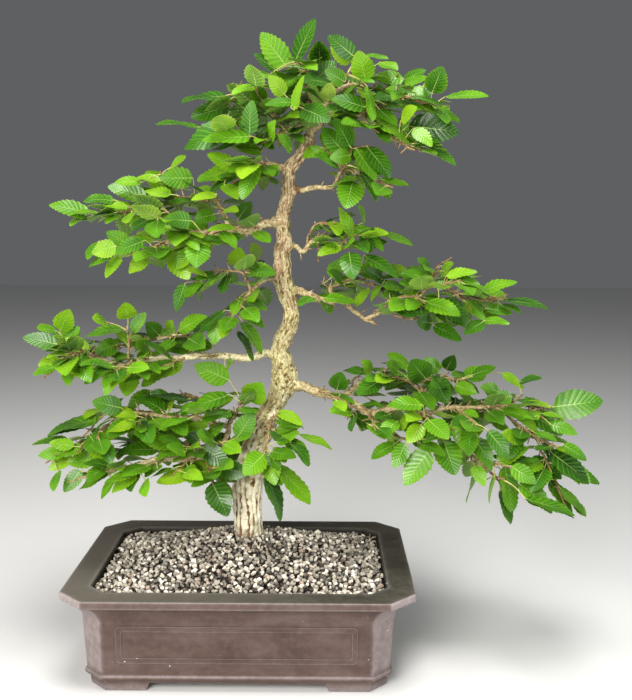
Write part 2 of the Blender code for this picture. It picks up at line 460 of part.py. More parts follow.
# Every leafy branch: its name, limbs, leaves seen, outline, reach of its twigs in
# millimetres toward front and back, and how many leaves the rule may add to it
BRANCHES = [
    ("front_low", FRONT_LOW_LIMBS, FRONT_LOW_LEAVES, FRONT_LOW_OUTLINE, 20.0, 1),
    ("left_small", LEFT_SMALL_LIMBS, LEFT_SMALL_LEAVES, LEFT_SMALL_OUTLINE, 34.0, 4),
    ("left_top", LEFT_TOP_LIMBS, LEFT_TOP_LEAVES, LEFT_TOP_OUTLINE, 32.0, 3),
    ("right_top", RIGHT_TOP_LIMBS, RIGHT_TOP_LEAVES, RIGHT_TOP_OUTLINE, 32.0, 3),
    ("right_upper", RIGHT_UPPER_LIMBS, RIGHT_UPPER_LEAVES, RIGHT_UPPER_OUTLINE, 30.0, 3),
    ("left_low", LEFT_LOW_LIMBS, LEFT_LOW_LEAVES, LEFT_LOW_OUTLINE, 56.0, 11),
    ("left_long", LEFT_LONG_LIMBS, LEFT_LONG_LEAVES, LEFT_LONG_OUTLINE, 50.0, 8),
    ("left_upper", LEFT_UPPER_LIMBS, LEFT_UPPER_LEAVES, LEFT_UPPER_OUTLINE, 48.0, 9),
    ("right_middle", RIGHT_MIDDLE_LIMBS, RIGHT_MIDDLE_LEAVES, RIGHT_MIDDLE_OUTLINE, 50.0, 8),
    ("right_low", RIGHT_LOW_LIMBS, RIGHT_LOW_LEAVES, RIGHT_LOW_OUTLINE, 60.0, 13),
    ("crown", CROWN_LIMBS, CROWN_LEAVES, CROWN_OUTLINE, 56.0, 11),
    ("back_low", BACK_LOW_LIMBS, BACK_LOW_LEAVES, BACK_LOW_OUTLINE, 44.0, 10),
]


class Wood:
    """A limb or twig: a round stick along a route, thinner toward its tip."""

    def __init__(self, points, start, end, sides, carrier=None):
        self.points = points
        self.sides = sides
        self.carrier = carrier
        steps = [0.0]
        for first, second in zip(points, points[1:]):
            steps.append(steps[-1] + (second - first).length)
        self.length = steps[-1]
        self.steps = steps
        self.radii = [(start + (end - start) * step / self.length) / 2 for step in steps]

    def at(self, station):
        """Place, direction and radius at a distance along the stick."""
        for index in range(len(self.points) - 1):
            low, high = self.steps[index], self.steps[index + 1]
            if station <= high or index == len(self.points) - 2:
                share = (station - low) / (high - low)
                place = self.points[index].lerp(self.points[index + 1], share)
                heading = (self.points[index + 1] - self.points[index]).normalized()
                radius = self.radii[index] + (self.radii[index + 1] - self.radii[index]) * share
                return place, heading, radius

    def shape(self, sides=4):
        """Corners and faces of the stick with a few sides, for the clearance tests."""
        corners, faces = [], []
        widen = 1.1 if sides == 4 else 1.0 / math.cos(math.pi / sides)
        for index, point in enumerate(self.points):
            before = self.points[max(index - 1, 0)]
            after = self.points[min(index + 1, len(self.points) - 1)]
            heading = (after - before).normalized()
            across = heading.cross(Vector((0.31, 0.22, 0.92))).normalized()
            over = heading.cross(across)
            for side in range(sides):
                turn = 2 * math.pi * side / sides
                reach = self.radii[index] * widen
                corners.append(point + (across * math.cos(turn) + over * math.sin(turn)) * reach)
        for ring in range(len(self.points) - 1):
            for side in range(sides):
                low = ring * sides
                turn = (side + 1) % sides
                faces.append((low + side, low + turn, low + sides + turn, low + sides + side))
        faces.append(tuple(reversed(range(sides))))
        last = len(corners)
        faces.append(tuple(range(last - sides, last)))
        return corners, faces


class Leaf:
    """One leaf: where its stalk starts, its blade's base, direction, upper side and size."""

    def __init__(self, root, base, along, upper, length, width, arch, fold):
        self.root = root
        self.carrier = None
        self.base = base
        self.along = along.normalized()
        across = upper.cross(self.along).normalized()
        self.across = across
        self.upper = self.along.cross(across).normalized()
        self.length = length
        self.width = width
        self.arch = arch
        self.fold = fold


class Body:
    """What already fills space: its shape for overlap tests, its branch and its middle."""

    def __init__(self, branch, corners, faces, owner):
        self.branch = branch
        self.owner = owner
        self.middle = sum(corners, Vector()) / len(corners)
        self.reach = max((corner - self.middle).length for corner in corners)
        self.tree = BVHTree.FromPolygons(corners, faces, epsilon=LEAF_CLEARANCE)

    def meets(self, other):
        """Whether the two shapes cross or come closer than the clearance."""
        if (self.middle - other.middle).length > self.reach + other.reach + LEAF_CLEARANCE:
            return False
        return bool(self.tree.overlap(other.tree))


def blade_shape():
    """A flat blade, one long and one wide, with its stalk.

    Returns:
        Corners as (along, across, level, part), where part is blade, base or stalk, and the faces.
    """
    mesh = bmesh.new()
    half = len(OUTLINE_ALONG) - 1
    bmesh.ops.create_uvsphere(mesh, u_segments=2 * half, v_segments=2, radius=1)
    for vert in mesh.verts:
        if abs(vert.co.z) > 0.5:
            vert.co = Vector((POLE_ALONG, 0, math.copysign(0.5, vert.co.z)))
        else:
            turn = round(math.atan2(vert.co.y, vert.co.x) / (math.pi / half))
            station = half - abs(turn)
            side = 1 if turn > 0 else -1
            vert.co = Vector((OUTLINE_ALONG[station], side * OUTLINE_ACROSS[station] / 2, 0))
    root = min(mesh.verts, key=lambda vert: vert.co.x)
    bmesh.ops.bevel(mesh, geom=[root], offset=BASE_CUT, offset_type="OFFSET", segments=1, profile=0.5,
                    affect="VERTICES", material=-1)
    mesh.faces.ensure_lookup_table()
    foot = min(mesh.faces, key=lambda face: face.calc_center_median().x)
    foot_corners = {vert: Vector((0, math.copysign(1, vert.co.y) if abs(vert.co.y) > 0.01 else 0,
                                  math.copysign(1, vert.co.z) if abs(vert.co.y) <= 0.01 else 0))
                    for vert in foot.verts}
    lowest = min(foot.verts, key=lambda vert: vert.co.z)
    aside = max(foot.verts, key=lambda vert: vert.co.y)
    bmesh.ops.weld_verts(mesh, targetmap={lowest: aside})
    foot_corners.pop(lowest)
    foot = next(face for face in mesh.faces if set(face.verts) == set(foot_corners))
    stalk = bmesh.ops.extrude_discrete_faces(mesh, faces=[foot])["faces"][0]
    stalk_corners = set(stalk.verts)
    mesh.verts.index_update()
    corners = []
    for vert in mesh.verts:
        if vert in stalk_corners:
            side = math.copysign(1, vert.co.y) if abs(vert.co.y) > 0.01 else 0
            level = 0 if side else math.copysign(1, vert.co.z)
            corners.append((-1.0, side, level, "stalk"))
        elif vert in foot_corners:
            corners.append((0.0, foot_corners[vert].y, foot_corners[vert].z, "base"))
        else:
            corners.append((vert.co.x, vert.co.y, vert.co.z, "blade"))
    faces = [tuple(vert.index for vert in face.verts) for face in mesh.faces]
    mesh.free()
    return corners, faces


def leaf_shape(leaf, template):
    """A leaf's corners in space, from the flat template.

    Args:
        leaf: the leaf to shape.
        template: what blade_shape returns.
    Returns:
        Corners in millimetres and the template's faces.
    """
    corners, faces = template
    stalk = (leaf.base - leaf.root).normalized()
    level = stalk.cross(leaf.upper)
    level = leaf.across if level.length < 0.2 else level.normalized() * (-1)
    if level.dot(leaf.across) < 0:
        level = -level
    over = stalk.cross(level).normalized()
    if over.dot(leaf.upper) < 0:
        over = -over
    placed = []
    for along, across, height, part in corners:
        if part == "stalk":
            placed.append(leaf.root + (level * across + over * height) * PETIOLE_ROOT_RADIUS)
        elif part == "base":
            placed.append(leaf.base + leaf.across * across * PETIOLE_RADIUS
                          + leaf.upper * height * PETIOLE_RADIUS)
        else:
            bow = -leaf.arch * leaf.length * (along - POLE_ALONG) ** 2 / 0.3
            wave = EDGE_WAVE.get(round(along, 2), 0.0) if across else 0.0
            rise = bow + leaf.fold * abs(across) * leaf.width + wave
            placed.append(leaf.base + leaf.along * along * leaf.length + leaf.across * across * leaf.width
                          + leaf.upper * (height * BLADE_THICK + rise))
    return placed, faces


def inside_outline(outline, point):
    """Whether the photograph shows a point inside an outline given in pixels."""
    column, row = photo_pixel(point)
    inside = False
    for (first_column, first_row), (second_column, second_row) in zip(outline, outline[1:] + outline[:1]):
        if (first_row > row) != (second_row > row):
            slope = (second_column - first_column) / (second_row - first_row)
            if column < first_column + slope * (row - first_row):
                inside = not inside
    return inside


class Branch:
    """A leafy branch: its wood, its leaves and the rules that place both."""

    def __init__(self, name, limbs, seen, outline, twig_reach, more_leaves):
        self.name = name
        self.seen = seen
        self.outline = outline
        self.twig_reach = twig_reach
        self.more_leaves = more_leaves
        self.draw = random.Random(name)
        self.woods = []
        for order, (route, start, end) in enumerate(limbs):
            points = [photo_point(*stop) for stop in route]
            sides = 6 if order == 0 else 4 if start > THIN_LIMB else 3
            self.woods.append(Wood(points, start, end, sides))
        self.limb_count = len(self.woods)
        self.leaves = []
        self.collar = None

    def cut_from_trunk(self, cut):
        """Part the first limb from its collar on the trunk, at a distance from the trunk's middle."""
        limb = self.woods[0]
        place, _, radius = limb.at(cut)
        stops = list(zip(limb.points, limb.steps))
        before = [point for point, step in stops if step == 0 or step < cut - BEND_ROOM]
        kept = [point for point, step in stops if step > cut + BEND_ROOM]
        heading = (place - before[-1]).normalized()
        self.collar = Wood(before + [place], radius * 2 * COLLAR_FLARE, radius * 2, limb.sides)
        start = place + heading * SEAT_GAP
        route = [start, start + heading * LIMB_FIRST_STEP] + kept
        self.woods[0] = Wood(route, radius * 2, limb.radii[-1] * 2, limb.sides)

    def grow_twigs(self, space):
        """Twigs by rule: in turn toward the front and the back of each limb."""
        for limb in self.woods[:self.limb_count]:
            station = TWIG_START
            side = 1 if self.draw.random() < 0.5 else -1
            while station < limb.length - TWIG_END:
                self.try_twig(limb, station, side, space)
                side = -side
                station += self.draw.uniform(*TWIG_SPACING)

    def try_twig(self, limb, station, side, space):
        """One twig from a limb, bent until it is clear of the other branches."""
        place, heading, _ = limb.at(station)
        for _ in range(TWIG_TRIES):
            swing = math.radians(self.draw.uniform(*TWIG_SWING))
            rise = self.draw.uniform(*TWIG_RISE)
            aim = Vector((0, -side * math.cos(swing), rise)) + heading * math.sin(swing)
            reach = self.twig_reach * self.draw.uniform(0.55, 1.0) * (1.0 - 0.45 * station / limb.length)
            aim.normalize()
            level = aim.cross(Vector((0, 0, 1))).normalized()
            sway = level * self.draw.uniform(-TWIG_SWAY, TWIG_SWAY) * reach
            middle = place + aim * reach * 0.55 + sway
            tip = place + aim * reach + Vector((0, 0, -TWIG_DROOP * reach))
            route = [place, middle, tip] if reach > SHORT_TWIG else [place, tip]
            twig = Wood(route, TWIG_FOOT, TWIG_TIP, 3, limb)
            body = Body(self.name, *twig.shape(), twig)
            outer_half = Wood([place.lerp(tip, 0.4), tip], TWIG_FOOT, TWIG_TIP, 3)
            inner = Body(self.name, *outer_half.shape(), twig)
            outside = [other for other in space if other.branch != self.name]
            own = [other for other in space if other.branch == self.name]
            if any(body.meets(other) for other in outside) or any(inner.meets(other) for other in own):
                continue
            if not inside_outline(self.outline, tip):
                continue
            self.woods.append(twig)
            space.append(body)
            return

    def wood_samples(self):
        """Points along all of the branch's wood, a small step apart."""
        samples = []
        for wood in self.woods:
            count = max(2, int(wood.length / SAMPLE_STEP))
            first = 0 if wood is not self.woods[0] else 1
            for index in range(first, count + 1):
                place, heading, _ = wood.at((wood.length - TIP_MARGIN) * index / count)
                samples.append((place, heading, wood))
        return samples

    def is_free(self, leaf, template, space):
        """The leaf's body if nothing crosses it, else None."""
        corners, faces = leaf_shape(leaf, template)
        whole = Body(self.name, corners, faces, leaf)
        blade_faces = [face for face in faces
                       if all(template[0][corner][3] != "stalk" for corner in face)]
        blade = Body(self.name, corners, blade_faces, leaf)
        start = leaf.root.lerp(leaf.base, 0.35)
        stalk = Body(self.name, *Wood([start, leaf.base], 1.2, 1.2, 4).shape(), leaf)
        for other in space:
            if other.branch != self.name:
                if whole.meets(other):
                    return None
            elif blade.meets(other) or isinstance(other.owner, Leaf) and stalk.meets(other):
                return None
        return whole

    def place_seen_leaves(self, template, space):
        """Leaves that the photograph shows, each at the depth nearest its own that is free."""
        samples = self.wood_samples()
        in_space = KDTree(len(samples))
        in_view = KDTree(len(samples))
        for index, (place, _, _) in enumerate(samples):
            column, row = photo_pixel(place)
            in_space.insert(place, index)
            in_view.insert(Vector((column, row, 0)), index)
        in_space.balance()
        in_view.balance()
        for base_column, base_row, tip_column, tip_row, seen_width, nearness in self.seen:
            _, nearest, _ = in_view.find(Vector((base_column, base_row, 0)))
            home = samples[nearest][0].y - nearness
            choices = []
            for shift in range(-DEPTH_REACH, DEPTH_REACH + 1, DEPTH_STEP):
                leaf = self.seen_leaf(base_column, base_row, tip_column, tip_row, seen_width, home + shift)
                roots = []
                for place, index, gap in in_space.find_n(leaf.base, NEAR_PLACES):
                    bend = (leaf.base - place).normalized().dot(leaf.along) if gap > 0.1 else -1.0
                    strain = gap + STALK_STIFFNESS * max(0.0, STRAIGHT_STALK - bend)
                    roots.append((strain, index, gap, bend))
                strain, index, gap, bend = min(roots)
                cost = abs(shift) + 3 * max(0.0, strain - LONG_STALK)
                if gap < SHORT_STALK:
                    cost += SHORT_STALK_COST
                if bend > 0.0:
                    choices.append((cost, shift, index, leaf))
            choices.sort(key=lambda choice: choice[:3])
            for _, _, index, leaf in choices[:DEPTH_TRIES]:
                leaf.root = samples[index][0]
                leaf.carrier = samples[index][2]
                body = self.is_free(leaf, template, space)
                if body is not None:
                    self.leaves.append(leaf)
                    space.append(body)
                    break

    def seen_leaf(self, base_column, base_row, tip_column, tip_row, seen_width, depth):
        """A leaf, not yet on a twig, whose base, tip and width look as they do in the photograph."""
        base = photo_point(base_column, base_row, depth)
        flat = photo_point(tip_column, tip_row, depth) - base
        toward = (EYE - base).normalized()
        scale = (EYE - base).length / FOCAL_PIXELS
        width_seen = seen_width * scale
        length = max(flat.length * 1.03, SMALLEST_SEEN_LEAF, width_seen / 0.66)
        lean = math.sqrt(max(0.0, length ** 2 - flat.length ** 2))
        along = (flat + toward * lean).normalized()
        width = max(BLADE_SLIMNESS * length, width_seen)
        tilt = math.acos(min(1.0, max(0.1, width_seen / width)))
        facing = (toward - along * toward.dot(along)).normalized()
        skyward = along.cross(facing)
        if skyward.z < 0:
            skyward = -skyward
        upper = facing * math.cos(tilt) + skyward * math.sin(tilt)
        return Leaf(base, base, along, upper, length, width, self.draw.uniform(0.02, 0.10),
                    self.draw.uniform(0.03, 0.14))

    def place_more_leaves(self, count, template, space):
        """Leaves by rule along the twigs, in turn on the left and the right, for the other sides."""
        twigs = self.woods[self.limb_count:] + self.woods[1:self.limb_count]
        placed = 0
        for _ in range(count * MORE_LEAF_TRIES):
            if placed == count or not twigs:
                return
            twig = self.draw.choice(twigs)
            share = self.draw.choice(MORE_LEAF_STATIONS)
            root, heading, _ = twig.at((twig.length - TIP_MARGIN) * share)
            side = self.draw.choice([-1, 1])
            level = heading.cross(Vector((0, 0, 1)))
            if level.length < 0.3:
                continue
            level = level.normalized() * side
            swing = math.radians(self.draw.uniform(*(END_LEAF_SWING if share > 0.9 else SIDE_LEAF_SWING)))
            along = heading * math.cos(swing) + level * math.sin(swing)
            along += Vector((0, 0, self.draw.uniform(-0.55, 0.15)))
            along.normalize()
            outward = Vector((heading.x, heading.y, 0))
            upper = Vector((0, 0, 1)) + outward * self.draw.uniform(0.0, 0.7)
            upper += Vector((self.draw.uniform(-0.3, 0.3), self.draw.uniform(-0.3, 0.3), 0))
            length = BLADE_LENGTH * self.draw.uniform(0.78, 1.12)
            base = root + along * PETIOLE_REACH * self.draw.uniform(0.8, 1.25)
            width = length * BLADE_SLIMNESS * self.draw.uniform(0.95, 1.08)
            leaf = Leaf(root, base, along, upper, length, width, self.draw.uniform(0.02, 0.12),
                        self.draw.uniform(0.03, 0.14))
            leaf.carrier = twig
            if not inside_outline(self.outline, base + leaf.along * length):
                continue
            body = self.is_free(leaf, template, space)
            if body is not None:
                self.leaves.append(leaf)
                space.append(body)
                placed += 1


def trunk_points():
    """The trunk's middle line in space, from the gravel upward."""
    return [photo_point(column, row, trunk_depth(row)) for column, row, _ in TRUNK_LINE]


def trunk_radius_near(point):
    """The trunk's radius at the height of a point."""
    heights = [spot.z for spot in trunk_points()]
    radii = [diameter / 2 for _, _, diameter in TRUNK_LINE]
    for index in range(len(heights) - 1):
        if heights[index] <= point.z <= heights[index + 1]:
            share = (point.z - heights[index]) / (heights[index + 1] - heights[index])
            return radii[index] + (radii[index + 1] - radii[index]) * share
    return radii[-1]


def lay_out_tree(template):
    """Every branch with its wood and leaves, clear of each other."""
    space = []
    line = trunk_points()
    for first, second, (_, _, low), (_, _, high) in zip(line, line[1:], TRUNK_LINE, TRUNK_LINE[1:]):
        stick = Wood([first, second], low + TRUNK_MARGIN, high + TRUNK_MARGIN, 8)
        space.append(Body("trunk", *stick.shape(8), None))
    branches = [Branch(*entry) for entry in BRANCHES]
    for branch in branches:
        start = branch.woods[0].points[0]
        top_of_trunk = branch.name == "crown"
        branch.cut_from_trunk(CROWN_CUT if top_of_trunk else trunk_radius_near(start) + STUB_REACH)
        space.append(Body("trunk", *branch.collar.shape(8), None))
        for wood in branch.woods:
            for first, second, low, high in zip(wood.points, wood.points[1:], wood.radii, wood.radii[1:]):
                stick = Wood([first, second], low * 2, high * 2, 4)
                space.append(Body(branch.name, *stick.shape(), wood))
    for branch in branches:
        branch.grow_twigs(space)
    for branch in branches:
        branch.place_seen_leaves(template, space)
    for branch in branches:
        branch.place_more_leaves(branch.more_leaves, template, space)
    return branches


def clear_scene():
    """Remove what a new Blender file holds."""
    for thing in list(bpy.data.objects):
        bpy.data.objects.remove(thing, do_unlink=True)


def make_collection(name, hidden=False):
    """A collection linked to the scene."""
    collection = bpy.data.collections.new(name)
    bpy.context.scene.collection.children.link(collection)
    collection.hide_render = hidden
    return collection


def make_material(name, colour, roughness, metallic=0.0):
    """A plain Principled material."""
    material = bpy.data.materials.new(name)
    material.use_nodes = True
    shader = material.node_tree.nodes["Principled BSDF"]
    shader.inputs["Base Color"].default_value = (*colour, 1.0)
    shader.inputs["Roughness"].default_value = roughness
    shader.inputs["Metallic"].default_value = metallic
    return material


def object_from_bmesh(name, mesh, collection):
    """Turn an edited mesh, in millimetres, into an object in metres."""
    bmesh.ops.scale(mesh, vec=(MM, MM, MM), verts=mesh.verts)
    bmesh.ops.recalc_face_normals(mesh, faces=mesh.faces)
    data = bpy.data.meshes.new(name)
    mesh.to_mesh(data)
    mesh.free()
    thing = bpy.data.objects.new(name, data)
    collection.objects.link(thing)
    return thing


def finish_mesh(thing):
    """Replace an object's mesh by its evaluated one and drop its modifiers."""
    graph = bpy.context.evaluated_depsgraph_get()
    graph.update()
    data = bpy.data.meshes.new_from_object(thing.evaluated_get(graph))
    thing.modifiers.clear()
    thing.data = data


def join_collection(thing, collection, solver="EXACT"):
    """Fuse a collection's objects into one object with a single Boolean union."""
    union = thing.modifiers.new("Join", "BOOLEAN")
    union.operation = "UNION"
    union.operand_type = "COLLECTION"
    union.collection = collection
    union.solver = solver
    finish_mesh(thing)
    for extra in list(collection.objects):
        bpy.data.objects.remove(extra, do_unlink=True)
    bpy.data.collections.remove(collection)


def cut_by(thing, cutter):
    """Subtract one object from another."""
    cutter.display_type = "WIRE"
    cutter.hide_render = True
    cut = thing.modifiers.new("Cut", "BOOLEAN")
    cut.operation = "DIFFERENCE"
    cut.solver = "EXACT"
    cut.object = cutter
    finish_mesh(thing)
    bpy.data.objects.remove(cutter, do_unlink=True)


def box(name, low, high, collection):
    """A box between two corners, in millimetres."""
    mesh = bmesh.new()
    bmesh.ops.create_cube(mesh, size=1.0)
    size = Vector(high) - Vector(low)
    middle = (Vector(high) + Vector(low)) / 2
    bmesh.ops.scale(mesh, vec=size, verts=mesh.verts)
    bmesh.ops.translate(mesh, vec=middle, verts=mesh.verts)
    return object_from_bmesh(name, mesh, collection)


def drum(name, middle, low, high, diameter, collection, sides=12):
    """An upright round bar between two heights, in millimetres."""
    mesh = bmesh.new()
    bmesh.ops.create_cone(mesh, cap_ends=True, segments=sides, radius1=diameter / 2, radius2=diameter / 2,
                          depth=high - low)
    bmesh.ops.translate(mesh, vec=(middle[0], middle[1], (low + high) / 2), verts=mesh.verts)
    return object_from_bmesh(name, mesh, collection)


def set_canted(verts, half_x, half_y, cant, height):
    """Move eight corners to a level rectangle with cut corners, in their order round the middle."""
    corners = [(half_x - cant, half_y), (cant - half_x, half_y), (-half_x, half_y - cant),
               (-half_x, cant - half_y), (cant - half_x, -half_y), (half_x - cant, -half_y),
               (half_x, cant - half_y), (half_x, half_y - cant)]
    in_order = sorted(verts, key=lambda vert: (math.atan2(vert.co.y, vert.co.x) - 0.6) % (2 * math.pi))
    for vert, (across, along) in zip(in_order, corners):
        vert.co = Vector((across, along, height))


def canted_ring(mesh, half_x, half_y, cant, height):
    """The edges of a level rectangle with cut corners."""
    verts = bmesh.ops.create_circle(mesh, cap_ends=False, radius=1, segments=8)["verts"]
    bmesh.ops.rotate(mesh, verts=verts, matrix=Matrix.Rotation(math.pi / 8, 3, "Z"))
    set_canted(verts, half_x, half_y, cant, height)
    return list({edge for vert in verts for edge in vert.link_edges})


def lofted(mesh, rings):
    """Join canted rings from first to last and close both ends."""
    loops = [canted_ring(mesh, *ring) for ring in rings]
    for first, second in zip(loops, loops[1:]):
        bmesh.ops.bridge_loops(mesh, edges=first + second)
    for loop in (loops[0], loops[-1]):
        bmesh.ops.contextual_create(mesh, geom=loop)


def inside_half(height, gap):
    """Half width and half depth of the pot's inside at a height, less a gap."""
    low, high = POT_FLOOR, POT_MOUTH
    share = (height - low[3]) / (high[3] - low[3])
    return tuple(low[axis] + (high[axis] - low[axis]) * share - gap for axis in (0, 1))


def raise_panel(mesh, wall):
    """A ridge frame on one wall of the pot."""
    normal = wall.normal.copy()
    facing_front = abs(normal.y) > abs(normal.x)
    flat = wall.verts[0].co.dot(normal)
    reach = max(abs(vert.co.x if facing_front else vert.co.y) for vert in wall.verts) - PANEL_MARGIN
    middle = wall.calc_center_median().z
    bmesh.ops.inset_individual(mesh, faces=[wall], thickness=PANEL_INSET, depth=0.0)
    for vert in wall.verts:
        height = PANEL_HIGH if vert.co.z > middle else PANEL_LOW
        across = math.copysign(reach, vert.co.x if facing_front else vert.co.y)
        if facing_front:
            vert.co = Vector((across, (flat - normal.z * height) / normal.y, height))
        else:
            vert.co = Vector(((flat - normal.z * height) / normal.x, across, height))
    for thickness, depth in ((RIDGE_RISE, RIDGE_RISE), (RIDGE_WIDTH, 0.0), (RIDGE_RISE, -RIDGE_RISE)):
        bmesh.ops.inset_individual(mesh, faces=[wall], thickness=thickness, depth=depth)


def make_foot_ring(collection):
    """Four corner feet, cut from one low wall."""
    mesh = bmesh.new()
    outer_x, outer_y = FOOT_OUT
    lofted(mesh, [(outer_x - 1.0, outer_y - 1.0, 18.0, 0.0), (outer_x, outer_y, 18.0, FOOT_HEIGHT + 3.0)])
    feet = object_from_bmesh("feet", mesh, collection)
    inner_x, inner_y = outer_x - FOOT_THICK, outer_y - FOOT_THICK
    cut_by(feet, box("between", (-inner_x, -inner_y, -5), (inner_x, inner_y, 30), collection))
    for axis in (0, 1):
        mesh = bmesh.new()
        bmesh.ops.create_cube(mesh, size=1.0)
        for vert in mesh.verts:
            half = FOOT_CLEAR[axis] + (FOOT_SLANT if vert.co.z < 0 else 0.0)
            across = math.copysign(half, vert.co.x)
            along = math.copysign(300.0, vert.co.y)
            height = -1.0 if vert.co.z < 0 else FOOT_HEIGHT + 4.0
            vert.co = Vector((across, along, height)) if axis == 0 else Vector((along, across, height))
        cut_by(feet, object_from_bmesh("span", mesh, collection))
    return feet


def make_pot(collection):
    """The clay pot with its lip, moulding, ridge frames, feet and drain holes."""
    mesh = bmesh.new()
    lofted(mesh, POT_RINGS)
    bmesh.ops.recalc_face_normals(mesh, faces=mesh.faces)
    mouth = max(mesh.faces, key=lambda face: face.calc_center_median().z)
    bmesh.ops.inset_individual(mesh, faces=[mouth], thickness=RIM_WIDTH, depth=0.0)
    set_canted(mouth.verts, *POT_MOUTH)
    floor = bmesh.ops.extrude_discrete_faces(mesh, faces=[mouth])["faces"][0]
    set_canted(floor.verts, *POT_FLOOR)
    bmesh.ops.recalc_face_normals(mesh, faces=mesh.faces)
    walls = []
    for face in mesh.faces:
        middle = face.calc_center_median()
        outward = middle.x * face.normal.x + middle.y * face.normal.y > 50
        straight = max(abs(face.normal.x), abs(face.normal.y)) > 0.98
        if outward and straight and 40 < middle.z < 70:
            walls.append(face)
    for wall in walls:
        raise_panel(mesh, wall)
    pot = object_from_bmesh("pot", mesh, collection)
    feet_collection = make_collection("feet_parts")
    make_foot_ring(feet_collection)
    join_collection(pot, feet_collection)
    for side in (-1, 1):
        middle = (side * DRAIN_SPACING / 2, 0.0)
        cut_by(pot, drum("drain", middle, 0.0, FLOOR_TOP + 8, DRAIN_DIAMETER, collection))
    return pot


def make_screen(name, side, collection):
    """A slotted screen over one drain hole."""
    middle = side * DRAIN_SPACING / 2
    half = SCREEN_SIZE / 2
    low = FLOOR_TOP + SEAT_GAP
    high = low + SCREEN_THICK
    screen = box(name, (middle - half, -half, low), (middle + half, half, high), collection)
    for slot in (-1, 0, 1):
        across = middle + slot * 8.0
        cut_by(screen, box("slot", (across - 2.0, -half + 6, low - 1), (across + 2.0, half - 6, high + 1),
                           collection))
    return screen


def gravel_height(across, along):
    """Height of the gravel's surface: a low mound round the trunk."""
    foot = Vector((across - TRUNK_FOOT[0], along - TRUNK_FOOT[1]))
    half_x, half_y = inside_half(GRAVEL_EDGE_HEIGHT, 0.0)
    to_edge = min(half_x - abs(across), half_y - abs(along))
    mound = GRAVEL_MOUND * (1.0 - min(1.0, foot.length / GRAVEL_MOUND_REACH)) ** 0.85
    level = GRAVEL_EDGE_HEIGHT + GRAVEL_EDGE_RISE * min(1.0, to_edge / GRAVEL_EDGE_REACH)
    near_edge = min(1.0, max(0.0, to_edge) / GRAVEL_SLOPE_REACH)
    return level + mound * near_edge


def make_gravel(collection):
    """Gravel and soil as one solid that fills the pot, with stones as relief on top."""
    draw = random.Random(7)
    mesh = bmesh.new()
    columns, rows = GRAVEL_GRID
    half_x, half_y = inside_half(GRAVEL_EDGE_HEIGHT, SEAT_GAP)
    bmesh.ops.create_grid(mesh, x_segments=columns, y_segments=rows, size=1.0)
    bmesh.ops.scale(mesh, vec=(half_x, half_y, 1.0), verts=mesh.verts)
    for right in (-1, 1):
        for back in (-1, 1):
            place = Vector((right * half_x, back * (half_y - INSIDE_CANT - SEAT_GAP), 0))
            bmesh.ops.bisect_plane(mesh, geom=mesh.verts[:] + mesh.edges[:] + mesh.faces[:], dist=0.01,
                                   plane_co=place, plane_no=(right, back, 0), clear_outer=True)
    top = mesh.verts[:]
    border = [edge for edge in mesh.edges if edge.is_boundary]
    rim = {vert for edge in border for vert in edge.verts}
    low_x, low_y = inside_half(FLOOR_TOP, SEAT_GAP)
    sides = bmesh.ops.extrude_edge_only(mesh, edges=border)["geom"]
    for vert in (piece for piece in sides if isinstance(piece, bmesh.types.BMVert)):
        vert.co = Vector((vert.co.x * low_x / half_x, vert.co.y * low_y / half_y, FLOOR_TOP + SEAT_GAP))
    lowest = [edge for edge in mesh.edges if edge.is_boundary]
    bmesh.ops.contextual_create(mesh, geom=lowest)
    for vert in top:
        away = math.hypot(vert.co.x - TRUNK_FOOT[0], vert.co.y - TRUNK_FOOT[1])
        bump = draw.uniform(-GRAVEL_BUMP, GRAVEL_BUMP) * min(1.0, away / 60.0)
        if vert in rim:
            bump *= 0.3
        elif away > 30:
            vert.co.x += draw.uniform(-GRAVEL_SHIFT, GRAVEL_SHIFT)
            vert.co.y += draw.uniform(-GRAVEL_SHIFT, GRAVEL_SHIFT)
        vert.co.z = min(gravel_height(vert.co.x, vert.co.y) + bump, GRAVEL_TOP)
    bmesh.ops.triangulate(mesh, faces=[face for face in mesh.faces if face.normal.z > -0.5])
    gravel = object_from_bmesh("gravel", mesh, collection)
    cut_by(gravel, drum("plug_hole", TRUNK_FOOT, PLUG_BOTTOM - SEAT_GAP, PLUG_TOP,
                        PLUG_DIAMETER + 2.4 * SEAT_GAP, collection))
    for side in (-1, 1):
        middle = side * DRAIN_SPACING / 2
        half = SCREEN_SIZE / 2 + SEAT_GAP
        cut_by(gravel, box("pocket", (middle - half, -half, FLOOR_TOP - 1),
                           (middle + half, half, FLOOR_TOP + 2 * SEAT_GAP + SCREEN_THICK), collection))
    return gravel


def three_sided_section():
    """The section of a thin twig: a triangle of one millimetre round its middle."""
    known = bpy.data.objects.get("twig_section")
    if known is not None:
        return known
    curve = bpy.data.curves.new("twig_section", "CURVE")
    curve.dimensions = "2D"
    spline = curve.splines.new("POLY")
    spline.points.add(2)
    spline.use_cyclic_u = True
    for index, spot in enumerate(spline.points):
        turn = 2 * math.pi * index / 3
        spot.co = (1.2 * MM * math.cos(turn), 1.2 * MM * math.sin(turn), 0.0, 1.0)
    section = bpy.data.objects.new("twig_section", curve)
    bpy.context.scene.collection.objects.link(section)
    return section


